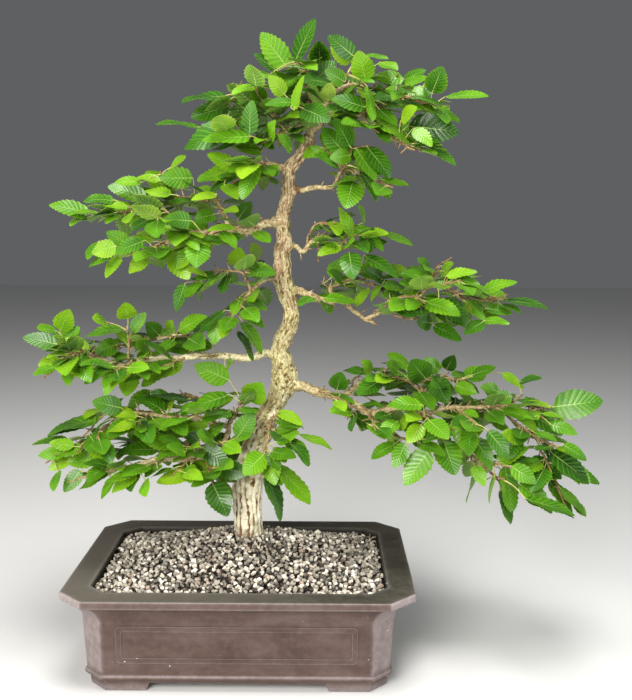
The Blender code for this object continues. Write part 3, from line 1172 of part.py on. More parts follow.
def wood_object(name, wood, collection):
    """A limb or twig as a round bevelled curve with closed ends, turned into a mesh."""
    curve = bpy.data.curves.new(name, "CURVE")
    curve.dimensions = "3D"
    if wood.sides == 3:
        curve.bevel_mode = "OBJECT"
        curve.bevel_object = three_sided_section()
    else:
        curve.bevel_depth = MM
        curve.bevel_resolution = (wood.sides - 4) // 2
    curve.use_fill_caps = True
    curve.resolution_u = 1
    spline = curve.splines.new("POLY")
    spline.points.add(len(wood.points) - 1)
    for spot, point, radius in zip(spline.points, wood.points, wood.radii):
        spot.co = (*(point * MM), 1.0)
        spot.radius = radius
    source = bpy.data.objects.new(name + "_route", curve)
    collection.objects.link(source)
    graph = bpy.context.evaluated_depsgraph_get()
    graph.update()
    data = bpy.data.meshes.new_from_object(source.evaluated_get(graph))
    bpy.data.objects.remove(source, do_unlink=True)
    mesh = bmesh.new()
    mesh.from_mesh(data)
    bmesh.ops.remove_doubles(mesh, verts=mesh.verts, dist=0.00001)
    bmesh.ops.recalc_face_normals(mesh, faces=mesh.faces)
    mesh.to_mesh(data)
    mesh.free()
    thing = bpy.data.objects.new(name, data)
    collection.objects.link(thing)
    return thing


def flute_bark(trunk):
    """Shallow upright flutes on the trunk's lower half, which fade out as it rises."""
    line = trunk_points()
    for vert in trunk.data.vertices:
        spot = vert.co / MM
        nearest = min(line, key=lambda point: (point - spot).length)
        away = Vector((spot.x - nearest.x, spot.y - nearest.y, 0))
        if away.length < 1.0:
            continue
        turn = math.atan2(away.y, away.x)
        fade = max(0.25, 1.0 - (spot.z - GRAVEL_TOP) / FLUTE_REACH)
        swell = BARK_FLUTE * fade * math.sin(4 * turn + spot.z / 37.0)
        vert.co += away.normalized() * swell * MM


def make_trunk(branches, collection):
    """The trunk with its root plug and a collar for every branch."""
    line = trunk_points()
    diameters = [diameter for _, _, diameter in TRUNK_LINE]
    foot = Vector((*TRUNK_FOOT, GRAVEL_TOP + 0.4))
    line[0:1] = [foot, foot + Vector((0, 0, 2.0))]
    diameters.insert(0, diameters[0])
    stem = Wood(line, 1.0, 1.0, TRUNK_SIDES)
    stem.radii = [diameter / 2 for diameter in diameters]
    trunk = wood_object("trunk", stem, collection)
    flute_bark(trunk)
    parts = make_collection("trunk_parts")
    drum("plug", TRUNK_FOOT, PLUG_BOTTOM, PLUG_TOP, PLUG_DIAMETER, parts)
    for branch in branches:
        wood_object("collar_" + branch.name, branch.collar, parts)
    join_collection(trunk, parts)
    return trunk


def leaf_object(name, leaf, template, collection):
    """One leaf as a closed solid."""
    corners, faces = leaf_shape(leaf, template)
    data = bpy.data.meshes.new(name)
    data.from_pydata([corner * MM for corner in corners], [], faces)
    mesh = bmesh.new()
    mesh.from_mesh(data)
    bmesh.ops.triangulate(mesh, faces=mesh.faces)
    bmesh.ops.recalc_face_normals(mesh, faces=mesh.faces)
    mesh.to_mesh(data)
    mesh.free()
    thing = bpy.data.objects.new(name, data)
    collection.objects.link(thing)
    return thing


def split_into_triangles(thing):
    """Triangles in place of the many-sided faces that a Boolean union leaves."""
    mesh = bmesh.new()
    mesh.from_mesh(thing.data)
    bmesh.ops.triangulate(mesh, faces=mesh.faces)
    mesh.to_mesh(thing.data)
    mesh.free()


def make_branch(branch, template, collection):
    """A leafy branch, fused into one body."""
    parts = make_collection(branch.name + "_parts")
    name = "branch_" + branch.name
    stem = wood_object(name, branch.woods[0], collection)
    for index, wood in enumerate(branch.woods[1:]):
        if index + 1 < branch.limb_count or carries_leaf(wood, branch):
            wood_object(f"{name}_wood_{index}", wood, parts)
    for index, leaf in enumerate(branch.leaves):
        if is_in_part(leaf):
            leaf_object(f"{name}_leaf_{index}", leaf, template, parts)
    join_collection(stem, parts, "MANIFOLD")
    split_into_triangles(stem)
    return stem


def carries_leaf(wood, branch):
    """Whether a leaf that is large enough to be in the part grows from a twig."""
    return any(leaf.carrier is wood and is_in_part(leaf) for leaf in branch.leaves)


def is_in_part(leaf):
    """Whether a leaf is large enough to be in the part; the small ones are left to the looks."""
    return leaf.length * leaf.width >= SMALL_LEAF_AREA


def centre_over_origin(things):
    """Move every piece so that the middle of their common base rectangle is the origin."""
    corners = [vert.co for thing in things for vert in thing.data.vertices]
    shift = Vector((0.0, 0.0, 0.0))
    for axis in (0, 1):
        places = [corner[axis] for corner in corners]
        shift[axis] = -(min(places) + max(places)) / 2
    for thing in things:
        thing.data.transform(Matrix.Translation(shift))


def main():
    """Build every piece of the potted tree."""
    clear_scene()
    clay = make_material("clay", (0.115, 0.088, 0.084), 0.62)
    plastic = make_material("screen_plastic", (0.03, 0.03, 0.03), 0.5)
    stones = make_material("gravel", (0.33, 0.28, 0.23), 0.9)
    bark = make_material("bark", (0.36, 0.27, 0.16), 0.85)
    foliage = make_material("foliage", (0.09, 0.25, 0.03), 0.45)
    pieces = make_collection("hornbeam_bonsai")
    template = blade_shape()
    branches = lay_out_tree(template)
    made = [
        (make_pot(pieces), clay),
        (make_screen("drain_screen_left", -1, pieces), plastic),
        (make_screen("drain_screen_right", 1, pieces), plastic),
        (make_gravel(pieces), stones),
        (make_trunk(branches, pieces), bark),
    ]
    made += [(make_branch(branch, template, pieces), foliage) for branch in branches]
    bpy.data.objects.remove(three_sided_section(), do_unlink=True)
    for thing, material in made:
        thing.data.materials.clear()
        thing.data.materials.append(material)
    centre_over_origin([thing for thing, _ in made])


main()
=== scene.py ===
"""Looks of an upright European hornbeam bonsai in its unglazed clay pot.

Limbs and twigs are laid out by the same seeded rules that gave the solids theirs, and the
leaves of the solids are read back from them, so every fine leaf lies on its plain one.
Lengths are millimetres from the pot's middle, and MM and PLACE turn them into metres.
"""
import functools
import itertools
import logging
import math
import random
from collections.abc import Iterable
from dataclasses import dataclass, field
from enum import Enum

import bmesh
import bpy
import numpy as np
from mathutils import Matrix, Vector, noise
from mathutils.bvhtree import BVHTree
from mathutils.kdtree import KDTree


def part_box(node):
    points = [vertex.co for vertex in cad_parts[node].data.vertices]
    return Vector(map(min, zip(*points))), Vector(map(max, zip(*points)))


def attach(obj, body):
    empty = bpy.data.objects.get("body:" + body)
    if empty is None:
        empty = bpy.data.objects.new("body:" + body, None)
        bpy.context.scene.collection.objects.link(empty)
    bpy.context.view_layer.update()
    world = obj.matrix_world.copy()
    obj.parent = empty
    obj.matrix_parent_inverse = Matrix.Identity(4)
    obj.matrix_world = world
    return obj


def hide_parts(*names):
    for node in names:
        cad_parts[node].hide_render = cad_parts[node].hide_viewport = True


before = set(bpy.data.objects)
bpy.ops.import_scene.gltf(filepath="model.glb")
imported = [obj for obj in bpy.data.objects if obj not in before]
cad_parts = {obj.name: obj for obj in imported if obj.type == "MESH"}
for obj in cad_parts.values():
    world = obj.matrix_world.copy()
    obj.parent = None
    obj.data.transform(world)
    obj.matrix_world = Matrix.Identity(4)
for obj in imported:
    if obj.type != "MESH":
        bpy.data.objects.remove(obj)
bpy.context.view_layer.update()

log = logging.getLogger("hornbeam")

# The pot's middle where it stands, in the frame's metres: the origin of all millimetres here
POT_LOW, POT_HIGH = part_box("pot")
PLACE = Vector(((POT_LOW[0] + POT_HIGH[0]) / 2, (POT_LOW[1] + POT_HIGH[1]) / 2, POT_LOW[2]))
MM = 0.001
Corners = np.ndarray
Route = list[tuple[float, float, float]]
Colour = tuple[float, float, float]
Socket = bpy.types.NodeSocket

# A direction that no limb has, from which the directions across a route are worked out
SLANT = (0.31, 0.22, 0.92)

# Where the trunk leaves the gravel, the gap between a collar and its branch, how far a collar
# stands out of the trunk and how far up the crown's ends, how near to a cut a limb may bend,
# and the margin that twigs keep from the trunk
GRAVEL_TOP = 119.9
TRUNK_FOOT = (2.0, 27.0)
SEAT_GAP = 0.3
STUB_REACH = 5.0
CROWN_CUT = 3.0
BEND_ROOM = 4.0
TRUNK_MARGIN = 3.0

# The common blade, how far from the tree's middle a tip may be, how long a stalk is at least,
# where on the wood stalks may start, how thick the twigs are, how the rule spaces and aims
# them, and what makes a stalk a strained one
BLADE_LENGTH = 42.0
BLADE_SLIMNESS = 0.60
BLADE_THICK = 1.4
DEEPEST = 138.0
PETIOLE_REACH = 8.0
TIP_MARGIN = 1.5
THIN_LIMB = 3.1
TWIG_FOOT = 2.3
TWIG_TIP = 1.6
SHORT_TWIG = 36.0
FIRST_TWIG = 16.0
LAST_TWIG_ROOM = 4.0
TWIG_SPACING = (15.0, 22.0)
TWIG_TRIES = 6
TWIG_SWING = (15, 50)
TWIG_RISE = (-0.15, 0.35)
TWIG_SHARE = (0.55, 1.0)
TWIG_TAPER = 0.45
TWIG_SWAY = 0.12
TWIG_DROOP = 0.08
SAMPLE_SPACING = 3.0
NEAREST_ROOTS = 24
STRAIGHT_STALK = 0.7
STALK_STIFFNESS = 14.0
LEAF_CLEARANCE = 0.45

# How far from its own depth a leaf of the photograph may stand and in what steps, from what
# strain and under what length its stalk counts against a depth, how many of the depths are
# tried, what sizes such a leaf has, and how often the rule is tried for a leaf that it adds
DEPTH_SEARCH = 48
DEPTH_STEP = 4
EASY_STRAIN = 13.0
SHORT_STALK = 4.5
SHORT_STALK_COST = 25
BEST_CHOICES = 16
SHORTEST_BLADE = 28.0
WIDEST_BLADE = 0.66
BLADE_BOW = 1.03
RULE_TRIES = 14

# A leaf placed by rule: its turn from its twig in degrees, its rise, how far its upper side leans
# along the twig, across and toward the back, and its sizes as shares of the common ones
LEAF_SWING = (15, 80)
LEAF_RISE = (-0.6, 0.35)
LEAF_LEAN = (0.0, 0.8)
LEAF_TILT = (-0.4, 0.4)
LEAF_NOD = (-0.7, 0.3)
LEAF_SIZES = (0.55, 1.0)
LEAF_WIDTHS = (0.92, 1.05)
STALK_SIZES = (0.8, 1.4)
LEAF_ARCH = (0.02, 0.14)
LEAF_FOLD = (0.02, 0.2)

# A solid's blade: how many edges meet at its middle at least, that middle's and the widest
# corner's share of the length, that corner's share of the width, how far it waves, the divisor
# of the bow, and how far apart two corners may be and still count as one
BLADE_SPOKES = 10
BLADE_MIDDLE = 0.44
WIDEST_PLACE = 0.56
WIDEST_REACH = 0.51
EDGE_WAVE = 0.6
BOW_SPAN = 0.3
SAME_SPOT = 0.005

# The photograph's view: frame size in pixels, eye in millimetres, turns in radians
FRAME_WIDTH = 632
FRAME_HEIGHT = 700
FOCAL_PIXELS = 979.5
SENSOR_MM = 36.0
EYE = Vector((81.0, -1050.0, 473.5))
PITCH = 0.1318
YAW = -0.0034
ROLL = 0.005


def view_axes() -> tuple[Vector, Vector, Vector]:
    """Turn the view's pitch, yaw and roll into directions.

    Returns:
        Right, up and ahead of the photograph's view.
    """
    ahead = Vector((math.sin(YAW) * math.cos(PITCH), math.cos(YAW) * math.cos(PITCH), -math.sin(PITCH)))
    level = Vector((math.cos(YAW), -math.sin(YAW), 0.0))
    above = level.cross(ahead)
    right = level * math.cos(ROLL) + above * math.sin(ROLL)
    up = above * math.cos(ROLL) - level * math.sin(ROLL)
    return right, up, ahead


VIEW_RIGHT, VIEW_UP, VIEW_AHEAD = view_axes()


def photo_point(column: float, row: float, depth: float) -> Vector:
    """Find the point that the photograph shows at a pixel.

    Args:
        column: the pixel's column.
        row: its row.
        depth: how far behind the pot's middle the point lies.

    Returns:
        The point.
    """
    across = (column - FRAME_WIDTH / 2) / FOCAL_PIXELS
    below = (row - FRAME_HEIGHT / 2) / FOCAL_PIXELS
    ray = VIEW_AHEAD + VIEW_RIGHT * across - VIEW_UP * below
    return EYE + ray * ((depth - EYE.y) / ray.y)


def photo_pixel(point: Vector) -> tuple[float, float]:
    """Find where the photograph's view shows a point.

    Args:
        point: the point.

    Returns:
        The pixel's column and row.
    """
    sight = point - EYE
    reach = sight.dot(VIEW_AHEAD)
    column = FRAME_WIDTH / 2 + FOCAL_PIXELS * sight.dot(VIEW_RIGHT) / reach
    row = FRAME_HEIGHT / 2 - FOCAL_PIXELS * sight.dot(VIEW_UP) / reach
    return column, row


# The trunk's middle line: column, row, diameter in millimetres
TRUNK_LINE = [
    (248, 531, 32), (248, 518, 32.5), (247.5, 503, 33.5), (247.5, 489, 34.5), (250, 470, 31),
    (255.5, 445, 28.5), (264, 425, 28), (272, 408, 23), (278, 397, 23), (284, 381, 30),
    (283, 364, 24), (280, 351, 19), (283, 339, 20), (290, 325, 18), (291, 309, 17), (286, 294, 19),
    (284, 280, 18), (282, 253, 17), (284, 232, 15), (284, 213, 14), (288, 197, 15), (289, 173, 13),
    (294, 163, 14), (302, 152, 12.5), (308, 140, 11.5),
]
TRUNK_ROOT_DEPTH = 25.0
TRUNK_TOP_DEPTH = -7.0


def trunk_depth(row: float) -> float:
    """The trunk leans toward the viewer as it rises."""
    low, high = TRUNK_LINE[0][1], TRUNK_LINE[-1][1]
    return TRUNK_ROOT_DEPTH + (TRUNK_TOP_DEPTH - TRUNK_ROOT_DEPTH) * (low - row) / (low - high)


# Every leafy branch: its name, how far its twigs reach toward front and back in millimetres, how
# many leaves the scene adds by rule, and then three lists. First its limbs, each a route of
# (column, row, depth) with its diameter at the start and at the tip, the first one from the
# trunk's middle line. Then the photograph's leaves that its solid leaves out: column and row of
# the blade's base and of its tip, the blade's width in pixels, and how far it stands toward the
# viewer in millimetres. Last the outline, in pixels, that the tips of the leaves placed by rule
# and of the twigs stay inside.
BRANCHES = [
    ("front_low", 20.0, 10, [
        ([(266, 420, 16), (268, 424, -6), (270, 430, -16), (276, 436, -24), (288, 437, -32)], 5.0, 1.6),
        ([(270, 430, -16), (266, 446, -22), (264, 458, -26)], 3.0, 1.6),
        ([(270, 430, -16), (272, 420, -26), (278, 414, -32)], 2.6, 1.6),
    ], [
        (264, 454, 247, 471, 23, 12), (273, 452, 285, 460, 11, 4), (266, 473, 283, 517, 13, 10),
        (276, 442, 299, 431, 13, 10), (286, 438, 306, 451, 11, 4), (277, 411, 303, 423, 11, 6),
        (277, 419, 299, 427, 11, -4)
    ], [
        (258, 412), (280, 406), (330, 446), (306, 496), (284, 512), (252, 470)
    ]),
    ("left_small", 34.0, 22, [
        ([(284, 279, 5), (267, 279, 2), (250, 291, -4), (244, 299, -8), (238, 311, -12),
          (225, 321, -16)], 5.0, 1.7),
        ([(250, 291, -4), (246, 277, -12), (236, 271, -16), (214, 271, -18), (196, 283, -20)], 3.0, 1.6),
        ([(267, 279, 2), (256, 270, 18), (244, 262, 30)], 2.6, 1.6),
    ], [
        (259, 259, 252, 244, 14, -4), (250, 267, 276, 274, 15, 10), (218, 318, 213, 344, 17, 12),
        (241, 311, 265, 326, 12, 6), (248, 299, 267, 309, 9, 4), (240, 297, 234, 312, 12, 12),
        (216, 274, 198, 278, 10, 4), (206, 274, 190, 270, 7, -6), (228, 274, 222, 292, 10, 8)
    ], [
        (178, 268), (230, 248), (262, 246), (274, 272), (264, 326), (252, 350), (214, 342), (204, 326),
        (232, 300), (180, 300)
    ]),
    ("left_top", 32.0, 20, [
        ([(290, 170, -4), (276, 165, -10), (258, 163, -14), (243, 168, -20), (228, 170, -24)], 6.0, 1.8),
        ([(258, 163, -14), (246, 173, -28), (234, 182, -36)], 2.6, 1.6),
        ([(276, 165, -10), (262, 170, 8), (250, 178, 22)], 2.6, 1.6),
    ], [
        (262, 172, 272, 176, 12, 12), (268, 176, 276, 184, 7, 0), (224, 184, 238, 198, 13, -6)
    ], [
        (204, 156), (240, 152), (278, 160), (278, 184), (244, 200), (222, 190), (200, 180)
    ]),
    ("right_top", 32.0, 20, [
        ([(289, 190, -3), (303, 190, -6), (315, 188, -8), (330, 188, -12), (337, 181, -14), (343, 171, -16),
          (357, 172, -20), (377, 181, -26), (389, 184, -28)], 6.0, 1.7),
        ([(343, 171, -16), (348, 160, -18), (351, 150, -20)], 3.4, 1.6),
        ([(343, 171, -16), (334, 158, -6), (326, 150, 4)], 2.8, 1.6),
        ([(351, 150, -20), (360, 147, -24), (366, 146, -26)], 2.4, 1.6),
    ], [
        (323, 147, 303, 157, 12, 12), (351, 155, 331, 158, 16, 4), (381, 179, 409, 185, 7, 4),
        (378, 185, 389, 197, 6, 2)
    ], [
        (304, 152), (324, 128), (350, 120), (390, 156), (404, 184), (350, 204), (330, 170)
    ]),
    ("right_upper", 30.0, 18, [
        ([(283, 243, 2), (294, 246, 0), (303, 251, -3), (310, 243, -6), (320, 236, -8), (325, 242, -9),
          (341, 249, -12), (356, 246, -14), (366, 251, -16)], 6.0, 1.6),
        ([(307, 247, -4), (309, 234, -12), (317, 224, -15), (334, 223, -18), (352, 226, -20)], 3.0, 1.6),
        ([(320, 236, -8), (317, 248, 4), (318, 259, 10)], 2.2, 1.6),
        ([(341, 249, -12), (348, 238, -24), (354, 236, -30)], 2.4, 1.6),
    ], [
        (365, 235, 370, 251, 14, 0), (334, 221, 338, 234, 14, -8), (365, 221, 359, 206, 6, 0),
        (341, 245, 318, 254, 12, -10), (346, 244, 352, 240, 7, 8)
    ], [
        (320, 252), (334, 212), (362, 208), (410, 242), (376, 250), (345, 250)
    ]),
    ("left_low", 56.0, 130, [
        ([(252, 462, 19), (236, 466, 10), (221, 464, 0), (206, 456, -8), (181, 459, -16), (156, 459, -22),
          (139, 465, -26), (120, 468, -30), (94, 474, -32), (70, 482, -34)], 10.0, 1.9),
        ([(221, 464, 0), (222, 448, 2), (229, 429, 4), (216, 424, 4), (190, 418, 0), (166, 416, -6),
          (126, 415, -14), (93, 438, -22), (72, 448, -26), (49, 461, -28)], 6.5, 1.7),
        ([(229, 429, 4), (236, 412, 6), (246, 404, 2)], 3.4, 1.6),
        ([(216, 424, 4), (208, 404, 16), (198, 397, 24), (176, 394, 28), (150, 399, 30)], 3.4, 1.6),
        ([(126, 415, -14), (110, 412, -4), (98, 418, 6)], 2.6, 1.6),
        ([(206, 456, -8), (208, 470, -18), (212, 481, -24)], 2.8, 1.6),
        ([(206, 456, -8), (190, 446, 16), (164, 440, 36), (136, 440, 50)], 3.4, 1.6),
    ], [
        (100, 408, 87, 415, 7, 0), (101, 418, 50, 431, 12, 8), (66, 452, 40, 455, 13, 0),
        (72, 456, 51, 468, 13, -6), (96, 459, 68, 462, 16, 12), (58, 471, 54, 487, 8, 0),
        (81, 470, 65, 490, 15, 0), (104, 467, 90, 478, 13, -6), (115, 477, 103, 495, 7, 4),
        (138, 467, 115, 479, 9, 8), (145, 480, 145, 493, 10, 6), (201, 440, 222, 428, 10, 8),
        (212, 482, 226, 512, 25, 14), (214, 474, 193, 484, 12, 4), (240, 408, 256, 413, 8, 14),
        (172, 400, 152, 392, 12, 0), (232, 448, 244, 438, 12, 8), (180, 436, 160, 428, 14, 4),
        (186, 452, 168, 446, 12, 10), (118, 432, 96, 438, 12, -8), (180, 412, 200, 405, 12, 6)
    ], [
        (38, 442), (56, 430), (96, 402), (150, 390), (228, 392), (262, 386), (264, 430), (248, 474),
        (226, 508), (190, 484), (110, 492), (56, 484)
    ]),
    ("left_long", 50.0, 90, [
        ([(282, 356, 11), (266, 353, 8), (248, 358, 4), (223, 356, 0), (202, 356, -4), (181, 358, -8),
          (147, 359, -12), (126, 364, -14), (109, 362, -12), (97, 357, -12), (80, 356, -16), (65, 360, -20),
          (46, 376, -24)], 9.0, 2.2),
        ([(203, 355, -4), (203, 342, 4), (194, 336, 10), (172, 336, 16), (147, 341, 20), (120, 346, 22),
          (94, 347, 22), (64, 343, 20)], 5.0, 1.6),
        ([(129, 363, -13), (129, 346, -16), (127, 329, -18)], 3.0, 1.6),
        ([(97, 357, -12), (80, 350, -26), (62, 348, -34)], 2.8, 1.6),
        ([(147, 359, -12), (134, 364, -30), (122, 366, -40)], 2.6, 1.6),
    ], [
        (57, 331, 40, 328, 9, -6), (65, 340, 81, 326, 9, 0), (107, 322, 95, 318, 10, -8),
        (131, 332, 146, 312, 12, 8), (118, 344, 98, 351, 18, 16), (70, 366, 68, 382, 13, 4),
        (61, 358, 42, 364, 9, 6), (56, 366, 37, 373, 9, 4), (108, 366, 85, 382, 11, 6),
        (170, 334, 172, 320, 11, -4), (159, 335, 148, 324, 17, 0), (188, 346, 172, 350, 14, 0),
        (212, 344, 190, 348, 12, -10), (150, 350, 138, 344, 12, 6), (226, 368, 232, 362, 8, -6)
    ], [
        (28, 334), (58, 312), (92, 322), (120, 306), (150, 320), (204, 318), (212, 350), (186, 368),
        (128, 390), (86, 380), (44, 368)
    ]),
    ("left_upper", 48.0, 100, [
        ([(284, 220, -1), (264, 225, -4), (246, 232, -8), (231, 230, -12), (210, 233, -14), (189, 233, -12),
          (182, 240, -16), (164, 243, -22), (147, 249, -28), (133, 254, -32), (116, 250, -34)], 10.0, 1.8),
        ([(231, 230, -12), (227, 222, -4), (222, 209, 4), (213, 201, 10), (197, 201, 14), (181, 202, 18),
          (156, 206, 22), (134, 210, 24), (113, 214, 26), (93, 216, 26)], 5.2, 1.6),
        ([(189, 233, -12), (176, 225, -26), (160, 220, -36)], 3.0, 1.6),
        ([(210, 233, -14), (204, 236, -28), (198, 242, -36)], 2.4, 1.6),
        ([(246, 232, -8), (249, 222, -10), (259, 219, -10)], 3.0, 1.8),
        ([(181, 202, 18), (176, 196, 34), (162, 190, 48)], 2.8, 1.6),
    ], [
        (143, 182, 116, 181, 9, -8), (170, 168, 186, 156, 7, -10), (192, 221, 166, 219, 18, 18),
        (217, 194, 192, 198, 8, 8), (116, 246, 95, 252, 18, 14), (130, 245, 108, 233, 16, 0),
        (99, 241, 88, 257, 9, -6), (114, 252, 89, 265, 9, 2), (120, 256, 106, 276, 11, 6),
        (146, 257, 131, 271, 14, 10), (191, 234, 211, 245, 7, 14), (222, 231, 236, 248, 12, 12),
        (255, 231, 270, 242, 12, 8), (238, 219, 251, 202, 16, -4), (128, 206, 106, 204, 8, 4),
        (205, 236, 222, 243, 8, 4), (150, 214, 131, 224, 12, -10), (215, 214, 196, 219, 14, -8),
        (86, 218, 72, 223, 5, -4)
    ], [
        (55, 200), (112, 184), (160, 164), (186, 160), (222, 186), (252, 206), (240, 240), (190, 276),
        (168, 266), (108, 272), (92, 250), (132, 228), (70, 222)
    ]),
    ("right_middle", 50.0, 75, [
        ([(285, 290, 6), (301, 291, 2), (311, 295, -2), (325, 301, -6), (343, 303, -10), (359, 315, -14),
          (374, 323, -16)], 8.5, 3.4),
        ([(366, 319, -15), (377, 314, -16), (386, 303, -18), (402, 297, -20), (418, 300, -22),
          (436, 308, -24)], 5.0, 1.7),
        ([(343, 303, -10), (330, 290, 0), (343, 283, 8), (359, 281, 12), (388, 289, 14), (414, 290, 12),
          (430, 283, 8), (438, 266, 2), (449, 259, 0)], 4.4, 1.6),
        ([(430, 283, 8), (449, 290, 0), (462, 294, -6), (486, 300, -12), (504, 299, -16)], 3.4, 1.6),
        ([(402, 297, -20), (420, 296, -34), (428, 288, -40), (446, 284, -44)], 2.8, 1.6),
        ([(386, 303, -18), (396, 316, -22), (424, 320, -26)], 2.8, 1.8),
        ([(462, 294, -6), (470, 308, -16), (482, 320, -22)], 2.6, 1.6),
    ], [
        (331, 278, 339, 260, 15, 4), (393, 264, 404, 276, 12, -4), (384, 280, 366, 269, 12, 12),
        (384, 281, 370, 300, 5, 16), (425, 277, 401, 272, 9, 4), (431, 272, 418, 258, 9, 0),
        (313, 297, 299, 305, 10, 0), (325, 301, 329, 312, 12, -6), (368, 288, 356, 306, 9, 6),
        (432, 323, 417, 321, 17, 14), (465, 301, 485, 318, 12, 8), (484, 321, 464, 334, 13, 6),
        (486, 308, 511, 312, 10, 14), (440, 274, 452, 264, 10, -10), (454, 279, 478, 284, 11, 0),
        (435, 281, 452, 284, 11, 8), (460, 287, 480, 287, 8, 14), (483, 320, 508, 322, 8, 4),
        (344, 282, 330, 270, 10, -10), (418, 286, 400, 282, 9, 4), (402, 310, 420, 314, 10, 4),
        (420, 302, 404, 304, 11, -10), (500, 304, 519, 311, 6, 8)
    ], [
        (300, 304), (334, 264), (363, 254), (420, 264), (476, 270), (512, 284), (508, 318), (464, 336),
        (420, 320), (372, 302)
    ]),
    ("right_low", 60.0, 170, [
        ([(284, 384, 13), (300, 386, 8), (318, 392, 2), (340, 398, -4), (352, 403, -10), (370, 412, -16),
          (398, 408, -22), (424, 414, -28), (448, 430, -34), (460, 440, -38), (470, 453, -40),
          (484, 466, -42), (500, 482, -42)], 11.0, 2.0),
        ([(340, 398, -4), (350, 391, 6), (364, 381, 12), (385, 376, 16), (414, 382, 20), (436, 378, 22),
          (462, 380, 20)], 6.0, 1.7),
        ([(424, 414, -28), (448, 408, -24), (476, 408, -20), (497, 408, -18), (514, 421, -20),
          (537, 438, -24), (551, 444, -26)], 5.0, 1.7),
        ([(497, 408, -18), (520, 406, -8), (540, 408, 0), (551, 407, 4)], 3.0, 1.6),
        ([(414, 382, 20), (424, 392, 0), (428, 402, -12)], 2.8, 1.6),
        ([(537, 438, -24), (543, 456, -20), (552, 470, -18), (556, 482, -18)], 3.2, 1.6),
        ([(484, 466, -42), (500, 464, -50), (514, 470, -54)], 2.8, 1.6),
        ([(370, 412, -16), (372, 420, -34), (396, 436, -44), (418, 440, -48)], 3.4, 1.6),
        ([(398, 408, -22), (420, 396, 20), (446, 400, 44), (480, 408, 60)], 3.8, 1.6),
        ([(340, 398, -4), (346, 410, -14), (352, 414, -20)], 2.6, 1.6),
    ], [
        (369, 372, 343, 370, 8, -4), (371, 374, 364, 360, 12, -8), (410, 367, 387, 353, 12, 4),
        (400, 372, 386, 362, 12, -8), (440, 372, 425, 357, 13, 0), (446, 370, 454, 356, 15, 0),
        (434, 378, 446, 400, 22, 20), (410, 412, 402, 428, 10, 16), (353, 412, 329, 410, 11, 6),
        (354, 415, 352, 429, 8, 8), (398, 421, 381, 432, 14, 8), (396, 443, 371, 457, 13, 12),
        (406, 443, 394, 467, 17, 10), (444, 441, 453, 468, 27, 14), (442, 436, 427, 422, 12, 12),
        (472, 375, 495, 367, 11, 0), (502, 373, 523, 387, 9, 2), (519, 382, 539, 377, 7, -6),
        (553, 407, 600, 401, 29, 4), (551, 406, 524, 402, 6, 4), (526, 411, 561, 432, 17, 14),
        (550, 424, 576, 432, 13, -8), (563, 444, 585, 459, 11, 2), (550, 451, 587, 480, 20, 10),
        (561, 465, 597, 481, 12, 0), (529, 459, 560, 476, 18, 20), (511, 466, 535, 482, 17, 12),
        (505, 465, 513, 509, 18, 22), (519, 483, 551, 509, 17, 14), (525, 498, 572, 513, 10, 0),
        (549, 480, 571, 510, 12, 8), (559, 487, 585, 513, 8, 2), (500, 489, 511, 521, 10, 10),
        (495, 474, 488, 502, 4, 8), (455, 385, 474, 392, 14, 10), (500, 392, 480, 386, 13, 8),
        (512, 396, 492, 400, 15, 14), (470, 420, 452, 424, 14, 10), (390, 414, 376, 418, 10, 4),
        (520, 440, 500, 432, 14, 10), (437, 425, 420, 440, 12, 4)
    ], [
        (326, 392), (340, 370), (386, 356), (456, 358), (530, 380), (562, 400), (578, 436), (592, 478),
        (570, 510), (514, 516), (470, 474), (406, 482), (374, 456), (352, 424)
    ]),
    ("crown", 56.0, 210, [
        ([(308, 140, -7), (312, 131, -7), (321, 121, -8), (326, 105, -9), (328, 96, -10), (340, 89, -14),
          (356, 85, -18), (366, 89, -22)], 11.0, 2.5),
        ([(325, 112, -9), (345, 115, -12), (362, 113, -16), (385, 103, -20), (404, 96, -24), (423, 103, -28),
          (438, 105, -30)], 5.5, 1.8),
        ([(362, 113, -16), (368, 124, -24), (390, 136, -32), (408, 146, -36), (427, 150, -38)], 3.2, 1.6),
        ([(328, 96, -10), (321, 84, -4), (313, 74, 0), (300, 70, 4)], 3.5, 1.6),
        ([(312, 131, -7), (304, 123, -9), (286, 131, -12), (263, 141, -16), (245, 137, -20),
          (229, 134, -24)], 5.0, 1.8),
        ([(286, 131, -12), (276, 118, -4), (262, 110, 2), (246, 98, 6), (232, 95, 10)], 3.2, 1.6),
        ([(304, 123, -9), (300, 110, -16), (294, 106, -22)], 3.0, 1.6),
        ([(321, 121, -8), (318, 112, 14), (310, 100, 34), (322, 90, 54)], 4.0, 1.6),
        ([(345, 115, -12), (360, 104, 12), (380, 98, 32), (400, 92, 48)], 3.2, 1.6),
    ], [
        (277, 71, 255, 54, 10, 16), (270, 74, 248, 77, 9, 0), (255, 86, 232, 92, 8, 4),
        (265, 102, 251, 86, 16, -6), (285, 95, 270, 77, 16, -12), (262, 152, 236, 145, 11, 10),
        (292, 150, 280, 136, 11, 4), (352, 62, 332, 48, 16, -16), (345, 82, 327, 71, 16, 18),
        (402, 81, 424, 70, 9, 8), (403, 86, 425, 77, 9, 16), (438, 106, 460, 122, 7, -10),
        (414, 128, 432, 146, 14, 18), (375, 125, 389, 142, 9, 8), (378, 108, 397, 125, 10, 24),
        (361, 112, 334, 112, 6, 2), (318, 100, 322, 117, 13, 6), (386, 98, 374, 86, 12, -6),
        (401, 120, 414, 108, 12, 12), (362, 56, 388, 57, 4, -24), (380, 62, 397, 68, 8, -16),
        (424, 84, 434, 76, 7, -8), (267, 143, 266, 119, 5, 10), (270, 140, 274, 122, 9, 14)
    ], [
        (160, 126), (190, 92), (230, 78), (265, 40), (312, 26), (372, 55), (440, 78), (470, 94), (456, 135),
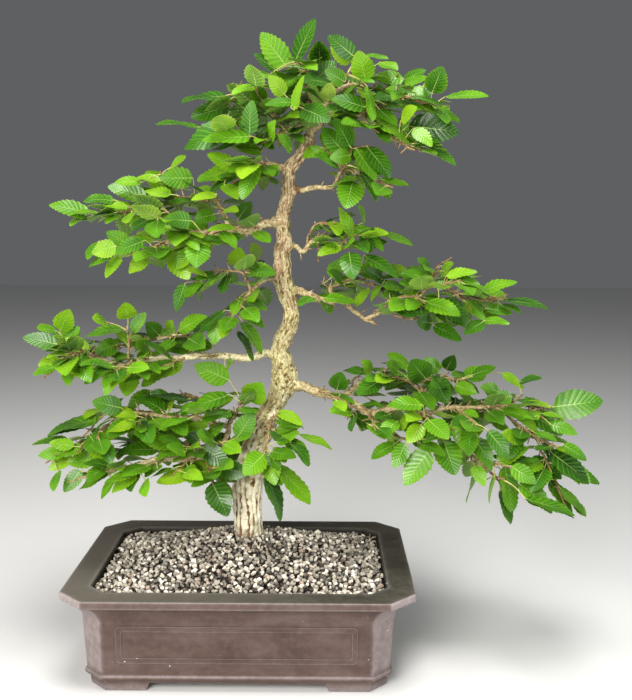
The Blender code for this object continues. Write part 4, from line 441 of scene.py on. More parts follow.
        (446, 158), (395, 146), (370, 128), (330, 118), (300, 148), (240, 152), (188, 148)
    ]),
    ("back_low", 44.0, 20, [
        ([(250, 470, 20), (248, 462, 42), (242, 452, 62), (232, 444, 84), (222, 440, 104)], 7.0, 2.0),
        ([(248, 462, 42), (254, 446, 56), (262, 434, 72), (266, 426, 90)], 3.6, 1.6),
        ([(242, 452, 62), (228, 458, 74), (212, 462, 86)], 3.2, 1.6),
    ], [
    ], [
        (196, 486), (200, 404), (240, 388), (276, 400), (270, 470), (236, 490)
    ]),
]


@dataclass(eq=False)
class Wood:
    """A limb or twig: a round stick along a route, thinner toward its tip."""

    points: list[Vector]
    start: float
    end: float
    carrier: "Wood | None" = None
    steps: list[float] = field(init=False)
    radii: list[float] = field(init=False)

    def __post_init__(self) -> None:
        """Measure the route and thin the stick along it."""
        self.steps = [0.0]
        for first, second in zip(self.points, self.points[1:]):
            self.steps.append(self.steps[-1] + (second - first).length)
        self.radii = [(self.start + (self.end - self.start) * step / self.length) / 2 for step in self.steps]

    @property
    def length(self) -> float:
        """Length of the route."""
        return self.steps[-1]

    def at(self, station: float) -> tuple[Vector, Vector, float]:
        """Find a place on the stick.

        Args:
            station: distance along the stick from its start.

        Returns:
            The place, the direction of the stick there and its radius.
        """
        last = len(self.points) - 2
        index = next((spot for spot in range(last) if station <= self.steps[spot + 1]), last)
        low, high = self.steps[index], self.steps[index + 1]
        share = (station - low) / (high - low)
        place = self.points[index].lerp(self.points[index + 1], share)
        heading = (self.points[index + 1] - self.points[index]).normalized()
        return place, heading, self.radii[index] + (self.radii[index + 1] - self.radii[index]) * share

    def shape(self, sides: int = 4) -> tuple[list[Vector], list[tuple[int, ...]]]:
        """Make the coarse stick that the clearance tests use.

        Args:
            sides: how many sides it has.

        Returns:
            Its corners and its faces.
        """
        corners: list[Vector] = []
        faces: list[tuple[int, ...]] = []
        widen = 1.1 if sides == 4 else 1.0 / math.cos(math.pi / sides)
        for index, point in enumerate(self.points):
            before = self.points[max(index - 1, 0)]
            after = self.points[min(index + 1, len(self.points) - 1)]
            heading = (after - before).normalized()
            across = heading.cross(Vector(SLANT)).normalized()
            over = heading.cross(across)
            for side in range(sides):
                turn = 2 * math.pi * side / sides
                reach = self.radii[index] * widen
                corners.append(point + (across * math.cos(turn) + over * math.sin(turn)) * reach)
        for ring in range(len(self.points) - 1):
            for side in range(sides):
                low = ring * sides
                turn = (side + 1) % sides
                faces.append((low + side, low + turn, low + sides + turn, low + sides + side))
        last = len(corners)
        return corners, faces + [tuple(reversed(range(sides))), tuple(range(last - sides, last))]


@dataclass(eq=False)
class Leaf:
    """One leaf: where its stalk starts, its blade's base, direction, upper side and size."""

    root: Vector
    base: Vector
    along: Vector
    upper: Vector
    length: float
    width: float
    arch: float
    fold: float
    carrier: Wood | None = None
    across: Vector = field(init=False)

    def __post_init__(self) -> None:
        """Square the three directions to each other."""
        self.along = self.along.normalized()
        self.across = self.upper.cross(self.along).normalized()
        self.upper = self.along.cross(self.across).normalized()


@dataclass(eq=False)
class Body:
    """What already fills space: its shape for overlap tests, its branch and its owner."""

    branch: str
    corners: list[Vector]
    faces: list[tuple[int, ...]]
    owner: Wood | Leaf | None
    middle: Vector = field(init=False)
    reach: float = field(init=False)
    tree: BVHTree = field(init=False)

    def __post_init__(self) -> None:
        """Work out the middle, the reach and the search tree."""
        self.middle = sum(self.corners, Vector()) / len(self.corners)
        self.reach = max((corner - self.middle).length for corner in self.corners)
        self.tree = BVHTree.FromPolygons(self.corners, self.faces, epsilon=LEAF_CLEARANCE)

    def meets(self, other: "Body") -> bool:
        """Whether the two shapes cross or come closer than the clearance."""
        if (self.middle - other.middle).length > self.reach + other.reach + LEAF_CLEARANCE:
            return False
        return bool(self.tree.overlap(other.tree))


def inside_outline(outline: list[tuple[int, int]], point: Vector) -> bool:
    """Tell whether the photograph shows a point inside an outline.

    Args:
        outline: the outline's corners in turn, in pixels.
        point: the point.

    Returns:
        Whether it is inside.
    """
    column, row = photo_pixel(point)
    inside = False
    for (first_column, first_row), (second_column, second_row) in zip(outline, outline[1:] + outline[:1]):
        if (first_row > row) != (second_row > row):
            slope = (second_column - first_column) / (second_row - first_row)
            if column < first_column + slope * (row - first_row):
                inside = not inside
    return inside


@dataclass(eq=False)
class Branch:
    """A leafy branch: its wood, its leaves and the rules that place both."""

    name: str
    twig_reach: float
    more_leaves: int
    limbs: list[tuple[Route, float, float]]
    unseen_in_solid: list[tuple[int, int, int, int, int, int]]
    outline: list[tuple[int, int]]
    woods: list[Wood] = field(init=False)
    leaves: list[Leaf] = field(default_factory=list)
    collar: Wood | None = None

    def __post_init__(self) -> None:
        """Turn the limbs' routes into wood."""
        self.draw = random.Random(self.name)
        self.woods = [Wood([photo_point(*stop) for stop in route], start, end)
                      for route, start, end in self.limbs]
        self.limb_count = len(self.woods)

    def cut_from_trunk(self, cut: float) -> None:
        """Part the first limb from its collar.

        Args:
            cut: how far from the trunk's middle they part.
        """
        limb = self.woods[0]
        place, _, radius = limb.at(cut)
        stops = list(zip(limb.points, limb.steps))
        before = [point for point, step in stops if step == 0 or step < cut - BEND_ROOM]
        kept = [point for point, step in stops if step > cut + BEND_ROOM]
        heading = (place - before[-1]).normalized()
        self.collar = Wood(before + [place], radius * 2.5, radius * 2)
        start = place + heading * SEAT_GAP
        self.woods[0] = Wood([start, start + heading * 2.5] + kept, radius * 2, limb.radii[-1] * 2)

    def grow_twigs(self, space: list[Body]) -> None:
        """Add twigs by rule, in turn toward the front and the back of each limb.

        Args:
            space: what fills space so far, to which the twigs are added.
        """
        for limb in self.woods[:self.limb_count]:
            station = FIRST_TWIG
            side = 1 if self.draw.random() < 0.5 else -1
            while station < limb.length - LAST_TWIG_ROOM:
                self.try_twig(limb, station, side, space)
                side = -side
                station += self.draw.uniform(*TWIG_SPACING)

    def try_twig(self, limb: Wood, station: float, side: int, space: list[Body]) -> None:
        """Add one twig where one of a few draws is clear of what fills space.

        Args:
            limb: the limb that carries it.
            station: how far along the limb it starts.
            side: 1 toward the front, -1 toward the back.
            space: what fills space so far, to which it is added.
        """
        place, heading, _ = limb.at(station)
        for _ in range(TWIG_TRIES):
            swing = math.radians(self.draw.uniform(*TWIG_SWING))
            rise = self.draw.uniform(*TWIG_RISE)
            aim = Vector((0, -side * math.cos(swing), rise)) + heading * math.sin(swing)
            reach = self.twig_reach * self.draw.uniform(*TWIG_SHARE)
            reach *= 1.0 - TWIG_TAPER * station / limb.length
            aim.normalize()
            sideways = aim.cross(Vector((0, 0, 1))).normalized()
            sway = sideways * self.draw.uniform(-TWIG_SWAY, TWIG_SWAY) * reach
            middle = place + aim * reach * 0.55 + sway
            tip = place + aim * reach + Vector((0, 0, -TWIG_DROOP * reach))
            route = [place, middle, tip] if reach > SHORT_TWIG else [place, tip]
            twig = Wood(route, TWIG_FOOT, TWIG_TIP, limb)
            body = Body(self.name, *twig.shape(), twig)
            outer_half = Wood([place.lerp(tip, 0.4), tip], TWIG_FOOT, TWIG_TIP)
            inner = Body(self.name, *outer_half.shape(), twig)
            outside = [other for other in space if other.branch != self.name]
            own = [other for other in space if other.branch == self.name]
            if any(body.meets(other) for other in outside) or any(inner.meets(other) for other in own):
                continue
            if inside_outline(self.outline, tip):
                self.woods.append(twig)
                space.append(body)
                return

    def sample_wood(self) -> None:
        """Note places along all of the branch's wood, for stalks to start at."""
        self.samples = []
        for wood in self.woods:
            count = max(2, int(wood.length / SAMPLE_SPACING))
            first = 0 if wood is not self.woods[0] else 1
            for index in range(first, count + 1):
                place, heading, _ = wood.at((wood.length - TIP_MARGIN) * index / count)
                self.samples.append((place, heading, wood))
        self.in_space = KDTree(len(self.samples))
        self.in_view = KDTree(len(self.samples))
        for index, (place, _, _) in enumerate(self.samples):
            self.in_space.insert(place, index)
            self.in_view.insert((*photo_pixel(place), 0), index)
        self.in_space.balance()
        self.in_view.balance()

    def best_root(self, base: Vector, along: Vector) -> tuple[float, int, float, float]:
        """Find the place on the wood from which a stalk reaches a blade most easily.

        Args:
            base: the blade's base.
            along: the blade's direction.

        Returns:
            The strain on the stalk, the index of the place, the distance, and how straight it runs on.
        """
        roots = []
        for place, index, gap in self.in_space.find_n(base, NEAREST_ROOTS):
            bend = (base - place).normalized().dot(along) if gap > 0.1 else -1.0
            roots.append((gap + STALK_STIFFNESS * max(0.0, STRAIGHT_STALK - bend), index, gap, bend))
        return min(roots)

    def read_solid(self) -> None:
        """Find the leaves of the branch's solid by the two middles of each blade.

        Each middle is joined to the blade's whole outline, and the two stand its thickness apart.
        """
        mesh = bmesh.new()
        mesh.from_mesh(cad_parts["branch_" + self.name].data)
        bmesh.ops.remove_doubles(mesh, verts=mesh.verts, dist=SAME_SPOT * MM)
        middles = [vert for vert in mesh.verts if len(vert.link_edges) >= BLADE_SPOKES]
        for first, second in itertools.combinations(middles, 2):
            if abs((first.co - second.co).length / MM - BLADE_THICK) > 2 * SAME_SPOT:
                continue
            middle = (first.co + second.co) / 2
            ring = [(edge.other_vert(first).co - middle) / MM for edge in first.link_edges]
            tip = max(ring, key=lambda spot: spot.length)
            upper = (first.co - second.co).normalized()
            if tip.dot(upper) > 0:
                upper = -upper
            across = upper.cross(tip).normalized()
            along = across.cross(upper)
            length = tip.dot(along) / (1.0 - BLADE_MIDDLE)
            arch = -tip.dot(upper) / length * BOW_SPAN / (1.0 - BLADE_MIDDLE) ** 2
            side = max(ring, key=lambda spot: abs(spot.dot(across)))
            reach = abs(side.dot(across))
            sag = arch * length * (WIDEST_PLACE - BLADE_MIDDLE) ** 2 / BOW_SPAN
            fold = (side.dot(upper) - EDGE_WAVE + sag) / reach
            base = (middle - PLACE) / MM - along * BLADE_MIDDLE * length
            _, index, _, _ = self.best_root(base, along)
            root, _, wood = self.samples[index]
            self.leaves.append(Leaf(root, base, along, upper, length, reach / WIDEST_REACH, arch, fold, wood))
        mesh.free()

    def place_seen_leaves(self, thicket: "Thicket") -> None:
        """Add the photograph's leaves that the solid leaves out, each at the free depth nearest its own.

        Args:
            thicket: what fills the tree so far, to which they are added.
        """
        for *ends, seen_width, nearness in self.unseen_in_solid:
            _, nearest, _ = self.in_view.find((*ends[:2], 0))
            home = self.samples[nearest][0].y - nearness
            choices = []
            for shift in range(-DEPTH_SEARCH, DEPTH_SEARCH + 1, DEPTH_STEP):
                leaf = self.seen_leaf(*ends, seen_width, home + shift)
                strain, index, gap, bend = self.best_root(leaf.base, leaf.along)
                cost = abs(shift) + 3 * max(0.0, strain - EASY_STRAIN)
                cost += SHORT_STALK_COST if gap < SHORT_STALK else 0
                if bend > 0.0:
                    choices.append((cost, shift, index, leaf))
            for _, _, index, leaf in sorted(choices, key=lambda choice: choice[:3])[:BEST_CHOICES]:
                leaf.root, _, leaf.carrier = self.samples[index]
                if thicket.add_if_free(self, leaf):
                    break

    def seen_leaf(self, base_column: float, base_row: float, tip_column: float, tip_row: float,
                  seen_width: float, depth: float) -> Leaf:
        """Shape a leaf, not yet on a twig, that looks as it does in the photograph.

        Args:
            base_column: the column of its base.
            base_row: the row of its base.
            tip_column: the column of its tip.
            tip_row: the row of its tip.
            seen_width: its width in pixels.
            depth: how far behind the pot's middle it is.

        Returns:
            The leaf.
        """
        base = photo_point(base_column, base_row, depth)
        flat = photo_point(tip_column, tip_row, depth) - base
        toward = (EYE - base).normalized()
        scale = (EYE - base).length / FOCAL_PIXELS
        width_seen = seen_width * scale
        length = max(flat.length * BLADE_BOW, SHORTEST_BLADE, width_seen / WIDEST_BLADE)
        lean = math.sqrt(max(0.0, length ** 2 - flat.length ** 2))
        along = (flat + toward * lean).normalized()
        width = max(BLADE_SLIMNESS * length, width_seen)
        tilt = math.acos(min(1.0, max(0.1, width_seen / width)))
        facing = (toward - along * toward.dot(along)).normalized()
        skyward = along.cross(facing)
        if skyward.z < 0:
            skyward = -skyward
        upper = facing * math.cos(tilt) + skyward * math.sin(tilt)
        return Leaf(base, base, along, upper, length, width, self.draw.uniform(0.02, 0.10),
                    self.draw.uniform(0.03, 0.14))


@dataclass
class Thicket:
    """What fills the dressed tree: thin blades and round wood, held for quick clearance tests."""

    bodies: list[Body] = field(default_factory=list)
    middles: list[tuple[float, float, float]] = field(default_factory=list)
    reaches: list[float] = field(default_factory=list)

    def take(self, body: Body) -> None:
        """Add a body."""
        self.bodies.append(body)
        self.middles.append(tuple(body.middle))
        self.reaches.append(body.reach)

    def has_room(self, body: Body, carrier: Wood) -> bool:
        """Tell whether nothing but the twig that carries it crosses a body.

        Args:
            body: the body.
            carrier: the twig.

        Returns:
            Whether there is room.
        """
        gaps = np.linalg.norm(np.array(self.middles) - np.array(body.middle), axis=1)
        for index in np.flatnonzero(gaps < np.array(self.reaches) + body.reach):
            other = self.bodies[index]
            if other.owner is not carrier and body.tree.overlap(other.tree):
                return False
        return True

    def add_if_free(self, branch: Branch, leaf: Leaf) -> bool:
        """Add a leaf to a branch if its blade crosses nothing.

        Args:
            branch: the branch.
            leaf: the leaf.

        Returns:
            Whether it was added.
        """
        body = leaf_body(branch.name, leaf)
        free = self.has_room(body, leaf.carrier)
        if free:
            branch.leaves.append(leaf)
            self.take(body)
        return free

    def fill(self, branch: Branch) -> None:
        """Add the scene's own leaves to a branch, along all of its thin wood.

        Args:
            branch: the branch.
        """
        draw = random.Random("fill " + branch.name)
        samples = [sample for sample in branch.samples if sample[2].start < THIN_LIMB * 2]
        placed = 0
        for _ in range(branch.more_leaves * RULE_TRIES):
            if placed == branch.more_leaves:
                return
            root, heading, twig = draw.choice(samples)
            level = heading.cross(Vector((0, 0, 1)))
            if level.length < 0.3:
                continue
            swing = math.radians(draw.uniform(*LEAF_SWING))
            along = heading * math.cos(swing) + level.normalized() * draw.choice((-1, 1)) * math.sin(swing)
            along = (along + Vector((0, 0, draw.uniform(*LEAF_RISE)))).normalized()
            upper = Vector((0, 0, 1)) + Vector((heading.x, heading.y, 0)) * draw.uniform(*LEAF_LEAN)
            upper += Vector((draw.uniform(*LEAF_TILT), draw.uniform(*LEAF_NOD), 0))
            length = BLADE_LENGTH * draw.uniform(*LEAF_SIZES)
            base = root + along * PETIOLE_REACH * draw.uniform(*STALK_SIZES)
            width = length * BLADE_SLIMNESS * draw.uniform(*LEAF_WIDTHS)
            leaf = Leaf(root, base, along, upper, length, width, draw.uniform(*LEAF_ARCH),
                        draw.uniform(*LEAF_FOLD), twig)
            tip = base + leaf.along * length
            if abs(tip.y) < DEEPEST and inside_outline(branch.outline, tip):
                placed += self.add_if_free(branch, leaf)


def trunk_points() -> list[Vector]:
    """The trunk's middle line in space, from the gravel upward."""
    return [photo_point(column, row, trunk_depth(row)) for column, row, _ in TRUNK_LINE]


def trunk_radius_near(point: Vector) -> float:
    """Measure the trunk at the height of a point.

    Args:
        point: the point.

    Returns:
        The trunk's radius there.
    """
    heights = [spot.z for spot in trunk_points()]
    radii = [diameter / 2 for _, _, diameter in TRUNK_LINE]
    for index in range(len(heights) - 1):
        if heights[index] <= point.z <= heights[index + 1]:
            share = (point.z - heights[index]) / (heights[index + 1] - heights[index])
            return radii[index] + (radii[index + 1] - radii[index]) * share
    return radii[-1]


def lay_out_tree() -> list[Branch]:
    """Lay out every branch: wood by the solids' own rules, their leaves, then those of the scene.

    Returns:
        The branches, with wood and leaves clear of each other.
    """
    space: list[Body] = []
    line = trunk_points()
    for first, second, (_, _, low), (_, _, high) in zip(line, line[1:], TRUNK_LINE, TRUNK_LINE[1:]):
        stick = Wood([first, second], low + TRUNK_MARGIN, high + TRUNK_MARGIN)
        space.append(Body("trunk", *stick.shape(8), None))
    branches = [Branch(*entry) for entry in BRANCHES]
    for branch in branches:
        start = branch.woods[0].points[0]
        top_of_trunk = branch.name == "crown"
        branch.cut_from_trunk(CROWN_CUT if top_of_trunk else trunk_radius_near(start) + STUB_REACH)
        space.append(Body("trunk", *branch.collar.shape(8), None))
        for wood in branch.woods:
            for first, second, low, high in zip(wood.points, wood.points[1:], wood.radii, wood.radii[1:]):
                stick = Wood([first, second], low * 2, high * 2)
                space.append(Body(branch.name, *stick.shape(), wood))
    for branch in branches:
        branch.grow_twigs(space)
    thicket = Thicket()
    for body in space:
        thicket.take(body)
    for branch in branches:
        branch.sample_wood()
        branch.read_solid()
        for leaf in branch.leaves:
            thicket.take(leaf_body(branch.name, leaf))
        log.info("%s: %d leaves in its solid", branch.name, len(branch.leaves))
    for branch in branches:
        branch.place_seen_leaves(thicket)
    for branch in branches:
        thicket.fill(branch)
        log.info("%s: %d leaves in all", branch.name, len(branch.leaves))
    return branches


@dataclass(frozen=True)
class Blank:
    """A small mesh that is copied many times, with its topology ready for joining."""

    corners: Corners
    loops: Corners
    starts: Corners
    uvs: Corners
    slots: Corners
    smooth: bool

    @functools.cached_property
    def faces(self) -> list[tuple[int, ...]]:
        """The corners' numbers, face by face."""
        return [tuple(map(int, face)) for face in np.split(self.loops, self.starts[1:])]

    @classmethod
    def cut_from(cls, mesh: bmesh.types.BMesh, smooth: bool = True) -> "Blank":
        """Take what is copied from a finished bmesh, and free it.

        Args:
            mesh: the bmesh.
            smooth: whether its faces are shaded smooth.

        Returns:
            The blank.
        """
        sheet = mesh.loops.layers.uv.active
        mesh.verts.index_update()
        corners = np.array([tuple(vert.co) for vert in mesh.verts])
        loops = np.array([loop.vert.index for face in mesh.faces for loop in face.loops], np.int32)
        sizes = [len(face.verts) for face in mesh.faces]
        starts = np.concatenate(([0], np.cumsum(sizes)[:-1])).astype(np.int32)
        uvs = np.array([tuple(loop[sheet].uv) if sheet else (0.0, 0.0)
                        for face in mesh.faces for loop in face.loops], np.float32)
        slots = np.array([face.material_index for face in mesh.faces], np.int32)
        mesh.free()
        return cls(corners, loops, starts, uvs, slots, smooth)


@dataclass
class Heap:
    """Copies of blanks, in millimetres from the pot's middle, that become one piece."""

    name: str
    blanks: list[Blank] = field(default_factory=list)
    corners: list[Corners] = field(default_factory=list)
    tones: list[Corners] = field(default_factory=list)
    chances: list[Corners] = field(default_factory=list)
    slots: list[int] = field(default_factory=list)

    def add(self, blank: Blank, corners: Corners, tone: float | Corners = 0.5,
            chance: float | Corners = 0.5, slot: int = 0) -> None:
        """Add one copy.

        Args:
            blank: the mesh that is copied.
            corners: where its corners go, in millimetres.
            tone: a value for the material, one for the copy or one a corner.
            chance: a second value of that kind.
            slot: what is added to the material index of its faces.
        """
        self.blanks.append(blank)
        self.corners.append(corners)
        self.tones.append(np.broadcast_to(np.asarray(tone, np.float32), len(corners)))
        self.chances.append(np.broadcast_to(np.asarray(chance, np.float32), len(corners)))
        self.slots.append(slot)

    def add_stem(self, stem: "Stem", tone: float, chance: float, slot: int = 0) -> None:
        """Add a thin stem as a five-sided tube.

        Args:
            stem: the stem.
            tone: its first value for the material.
            chance: its second value.
            slot: what is added to the material index of its faces.
        """
        blank, corners, _ = stem.tube(5)
        self.add(blank, corners, tone, chance, slot)

    def build(self, materials: list[bpy.types.Material], sharp: float = 180.0) -> bpy.types.Object:
        """Join the copies into one object.

        Args:
            materials: the materials, in the order of the slots.
            sharp: edges bent by more degrees than this are shaded sharp.

        Returns:
            The new object, at the origin.
        """
        firsts = np.concatenate(([0], np.cumsum([len(part) for part in self.corners])))
        loop_firsts = np.concatenate(([0], np.cumsum([len(blank.loops) for blank in self.blanks])))
        corners = np.concatenate(self.corners) * MM + np.array(PLACE)
        loops = np.concatenate([blank.loops + first for blank, first in zip(self.blanks, firsts)])
        starts = np.concatenate([blank.starts + first for blank, first in zip(self.blanks, loop_firsts)])
        slots = np.concatenate([blank.slots + slot for blank, slot in zip(self.blanks, self.slots)])
        smooth = np.concatenate([np.full(len(blank.starts), blank.smooth) for blank in self.blanks])
        data = bpy.data.meshes.new(self.name)
        data.vertices.add(len(corners))
        data.vertices.foreach_set("co", corners.astype(np.float32).ravel())
        data.loops.add(len(loops))
        data.loops.foreach_set("vertex_index", loops.astype(np.int32))
        data.polygons.add(len(starts))
        data.polygons.foreach_set("loop_start", starts.astype(np.int32))
        data.polygons.foreach_set("material_index", slots.astype(np.int32))
        data.polygons.foreach_set("use_smooth", smooth)
        sheet = data.uv_layers.new(name="own")
        sheet.data.foreach_set("uv", np.concatenate([blank.uvs for blank in self.blanks]).ravel())
        for name, values in (("tone", self.tones), ("chance", self.chances)):
            layer = data.attributes.new(name, "FLOAT", "POINT")
            layer.data.foreach_set("value", np.concatenate(values).astype(np.float32))
        data.update(calc_edges=True)
        data.validate()
        if sharp < 180.0:
            data.set_sharp_from_angle(angle=math.radians(sharp))
        for material in materials:
            data.materials.append(material)
        thing = bpy.data.objects.new(self.name, data)
        bpy.context.scene.collection.objects.link(thing)
        return thing


def unit(rows: Corners) -> Corners:
    """Vectors of length one, row by row."""
    return rows / np.maximum(np.linalg.norm(rows, axis=-1, keepdims=True), 1e-9)


@functools.lru_cache(maxsize=None)
def tube_blank(rings: int, sides: int) -> Blank:
    """A closed tube: corners are (ring, cosine, sine), with one point at either end.

    Args:
        rings: how many rings it has, its two end points among them.
        sides: how many sides it has.

    Returns:
        The blank, whose own map gives the share along and the share round.
    """
    mesh = bmesh.new()
    sheet = mesh.loops.layers.uv.new("own")
    bmesh.ops.create_grid(mesh, x_segments=rings - 1, y_segments=sides, size=0.5)
    for vert in mesh.verts:
        vert.co = Vector((round((vert.co.x + 0.5) * (rings - 1)), vert.co.y + 0.5, 0.0))
    for face in mesh.faces:
        for loop in face.loops:
            loop[sheet].uv = (loop.vert.co.x / (rings - 1), loop.vert.co.y)
    for vert in mesh.verts:
        turn = 2 * math.pi * vert.co.y
        reach = 0.0 if vert.co.x in (0, rings - 1) else 1.0
        vert.co = Vector((vert.co.x, reach * math.cos(turn), reach * math.sin(turn)))
    bmesh.ops.remove_doubles(mesh, verts=mesh.verts, dist=1e-4)
    bmesh.ops.recalc_face_normals(mesh, faces=mesh.faces)
    return Blank.cut_from(mesh)


def frames_along(places: Corners) -> tuple[Corners, Corners, Corners]:
    """Give every place of a route its directions, turned as little as possible.

    Args:
        places: the places.

    Returns:
        The directions ahead, across and over.
    """
    ahead = unit(np.gradient(places, axis=0))
    across = np.empty_like(places)
    across[0] = unit(np.cross(ahead[0], SLANT))
    for index in range(1, len(places)):
        before = across[index - 1]
        across[index] = unit(before - ahead[index] * ahead[index].dot(before))
    return ahead, across, np.cross(ahead, across)


# How far from its ends a stem is bent less, and how sharply it swells at its nodes
CALM_END = 8.0
SHARP_NODE = 6


@dataclass
class Stem:
    """A smooth route with a radius at each of its places, in millimetres."""

    places: Corners
    radii: Corners

    @classmethod
    def through(cls, points: Iterable[Vector], radii: Iterable[float], step: float) -> "Stem":
        """A smooth curve through given points.

        Args:
            points: the points that the curve passes through.
            radii: the stem's radius at each.
            step: the distance between the places of the curve.

        Returns:
            The stem.
        """
        line = np.array([tuple(point) for point in points])
        sizes = np.array(list(radii))
        padded = np.vstack((2 * line[0] - line[1], line, 2 * line[-1] - line[-2]))
        places, widths = [], []
        for index in range(len(line) - 1):
            before, first, second, after = padded[index:index + 4]
            count = max(1, round(float(np.linalg.norm(second - first)) / step))
            for share in np.arange(count) / count:
                bend = 2 * before - 5 * first + 4 * second - after
                twist = 3 * first - before - 3 * second + after
                places.append(first + 0.5 * share * (second - before + share * (bend + share * twist)))
                widths.append(sizes[index] + (sizes[index + 1] - sizes[index]) * share)
        places.append(line[-1])
        widths.append(sizes[-1])
        return cls(np.array(places), np.array(widths))

    @property
    def steps(self) -> Corners:
        """Distance of each place from the start."""
        return np.concatenate(([0.0], np.cumsum(np.linalg.norm(np.diff(self.places, axis=0), axis=1))))

    def crook(self, amount: float, grain: float) -> None:
        """Bend the stem to and fro, less near its two ends.

        Args:
            amount: how far it is bent at most.
            grain: how far apart the bends are.
        """
        steps = self.steps
        ends = np.minimum(1.0, np.minimum(steps, steps[-1] - steps) / CALM_END)
        for index, place in enumerate(self.places):
            sway = noise.noise_vector(Vector(place) / grain)
            self.places[index] = place + np.array(sway) * amount * ends[index]

    def knot(self, spacing: float, swell: float, phase: float) -> None:
        """Swell the stem at its nodes, and let its thickness waver.

        Args:
            spacing: the distance between its nodes.
            swell: how much thicker it is there, as a share.
            phase: where the first node lies, as a share of the spacing.
        """
        beat = np.cos(2 * np.pi * (self.steps / spacing + phase))
        waver = np.array([noise.noise(Vector(place) / 7.0) for place in self.places])
        self.radii = self.radii * (1.0 + swell * np.maximum(beat, 0.0) ** SHARP_NODE + 0.8 * swell * waver)

    def nearest(self, point: Vector) -> Vector:
        """The place on the stem that is nearest to a point."""
        return Vector(self.places[int(np.argmin(np.linalg.norm(self.places - np.array(point), axis=1)))])

    def tube(self, sides: int, blunt: float = 0.6) -> tuple[Blank, Corners, Corners]:
        """The stem's skin as a closed tube.

        Args:
            sides: how many sides it has.
            blunt: how far its ends bulge, as a share of its radius there.

        Returns:
            The blank, its corners in millimetres and the ring that each corner is on.
        """
        ahead, _, _ = frames_along(self.places)
        first = self.places[0] - ahead[0] * self.radii[0] * blunt
        last = self.places[-1] + ahead[-1] * self.radii[-1] * blunt
        places = np.vstack((first, self.places, last))
        radii = np.concatenate(([0.0], self.radii, [0.0]))
        _, across, over = frames_along(places)
        blank = tube_blank(len(places), sides)
        ring = np.rint(blank.corners[:, 0]).astype(int)
        reach = radii[ring][:, None]
        out = across[ring] * blank.corners[:, 1:2] + over[ring] * blank.corners[:, 2:3]
        return blank, places[ring] + out * reach, ring


@dataclass(frozen=True)
class LeafCut:
    """How a hornbeam blade is cut: its teeth, veins and thickness."""

    teeth: int = 10
    vein_sweep: float = 0.22
    tooth_depth: float = 0.065
    tooth_lead: float = 0.014
    thick: float = 0.28
    rib: float = 0.40
    widest: tuple[float, float] = (0.50, 0.78)

    def half_width(self, along: Corners) -> Corners:
        """Measure the blade across.

        Args:
            along: shares of the blade's length.

        Returns:
            Half of its width at each, as a share of the largest.
        """
        low, high = self.widest
        peak = low / (low + high)
        spread = np.clip(along, 0.0, 1.0) ** low * np.clip(1.0 - along, 0.0, 1.0) ** high
        return spread / (peak ** low * (1 - peak) ** high)

    @functools.cached_property
    def blank(self) -> Blank:
        """Build the flat blade.

        Returns:
            Its blank: corners are (station, side, level), and its lower face is in slot one.
        """
        mesh = bmesh.new()
        sheet = mesh.loops.layers.uv.new("own")
        for level in (1.0, -1.0):
            known = set(mesh.verts)
            bmesh.ops.create_grid(mesh, x_segments=2 * self.teeth, y_segments=2, size=0.5)
            for vert in set(mesh.verts) - known:
                at_edge = abs(vert.co.y) > 0.49 or abs(vert.co.x) > 0.49
                vert.co = Vector((vert.co.x + 0.5, 2 * vert.co.y, 0.0 if at_edge else level))
        for face in mesh.faces:
            face.material_index = 0 if face.calc_center_median().z > 0 else 1
            for loop in face.loops:
                loop[sheet].uv = (loop.vert.co.x, 0.5 + 0.5 * loop.vert.co.y)
        for vert in mesh.verts:
            if not 0.001 < vert.co.x < 0.999:
                vert.co.y = 0.0
        bmesh.ops.remove_doubles(mesh, verts=mesh.verts, dist=1e-4)
        bmesh.ops.recalc_face_normals(mesh, faces=mesh.faces)
        return Blank.cut_from(mesh)


@dataclass(frozen=True)
class LeafMood:
    """How one leaf departs from a flat one: its twist, wave and colour."""

    twist: float
    wave: float
    phase: float
    tone: float
    chance: float


CUT = LeafCut()
PLAIN_CUT = LeafCut(teeth=2)
CALM = LeafMood(0.0, 0.0, 0.0, 0.5, 0.5)


def leaf_corners(leaf: Leaf, mood: LeafMood, cut: LeafCut = CUT) -> Corners:
    """Shape one fine leaf over the coarse one of the solids.

    Args:
        leaf: its place, directions and size.
        mood: its twist and waves.
        cut: how the blade is cut.

    Returns:
        The corners of the leaf cut's blank, in millimetres.
    """
    station, side, level = cut.blank.corners.T
    away = np.abs(side)
    along = station + cut.vein_sweep * away * np.sin(np.pi * station)
    on_vein = np.rint(station * 2 * cut.teeth).astype(int) % 2 == 0
    at_edge = away > 0.99
    half = cut.half_width(along)
    half = half * np.where(at_edge, np.where(on_vein, 1 + cut.tooth_depth, 1 - cut.tooth_depth), 1.0)
    along = along + np.where(at_edge & on_vein, cut.tooth_lead, 0.0) * (along < 0.97)
    across = side * half * leaf.width / 2
    lifted_foot = 0.645 * (1 - np.clip(along, 0, 1)) ** 12
    bow = -leaf.arch * leaf.length * ((along - BLADE_MIDDLE) ** 2 / BOW_SPAN - lifted_foot)
    body = np.sin(np.pi * np.clip(station, 0, 1))
    swell = mood.wave * leaf.length * away ** 2 * body * np.sin(
        2 * np.pi * (1.2 * along + mood.phase) + 0.9 * np.sign(side))
    rib = np.where((away < 0.1) & (level < 0), -cut.rib * (1.0 - station), 0.0)
    groove = np.where((away < 0.1) & (level > 0), -0.25 * (1.0 - station), 0.0)
    skin = level * cut.thick / 2 + rib + groove
    rise = bow + leaf.fold * np.abs(across) + swell + skin
    turn = mood.twist * (along - 0.35)
    flat = across * np.cos(turn) - rise * np.sin(turn)
    high = across * np.sin(turn) + rise * np.cos(turn)
    return (np.array(leaf.base) + np.outer(along * leaf.length, leaf.along)
            + np.outer(flat, leaf.across) + np.outer(high, leaf.upper))


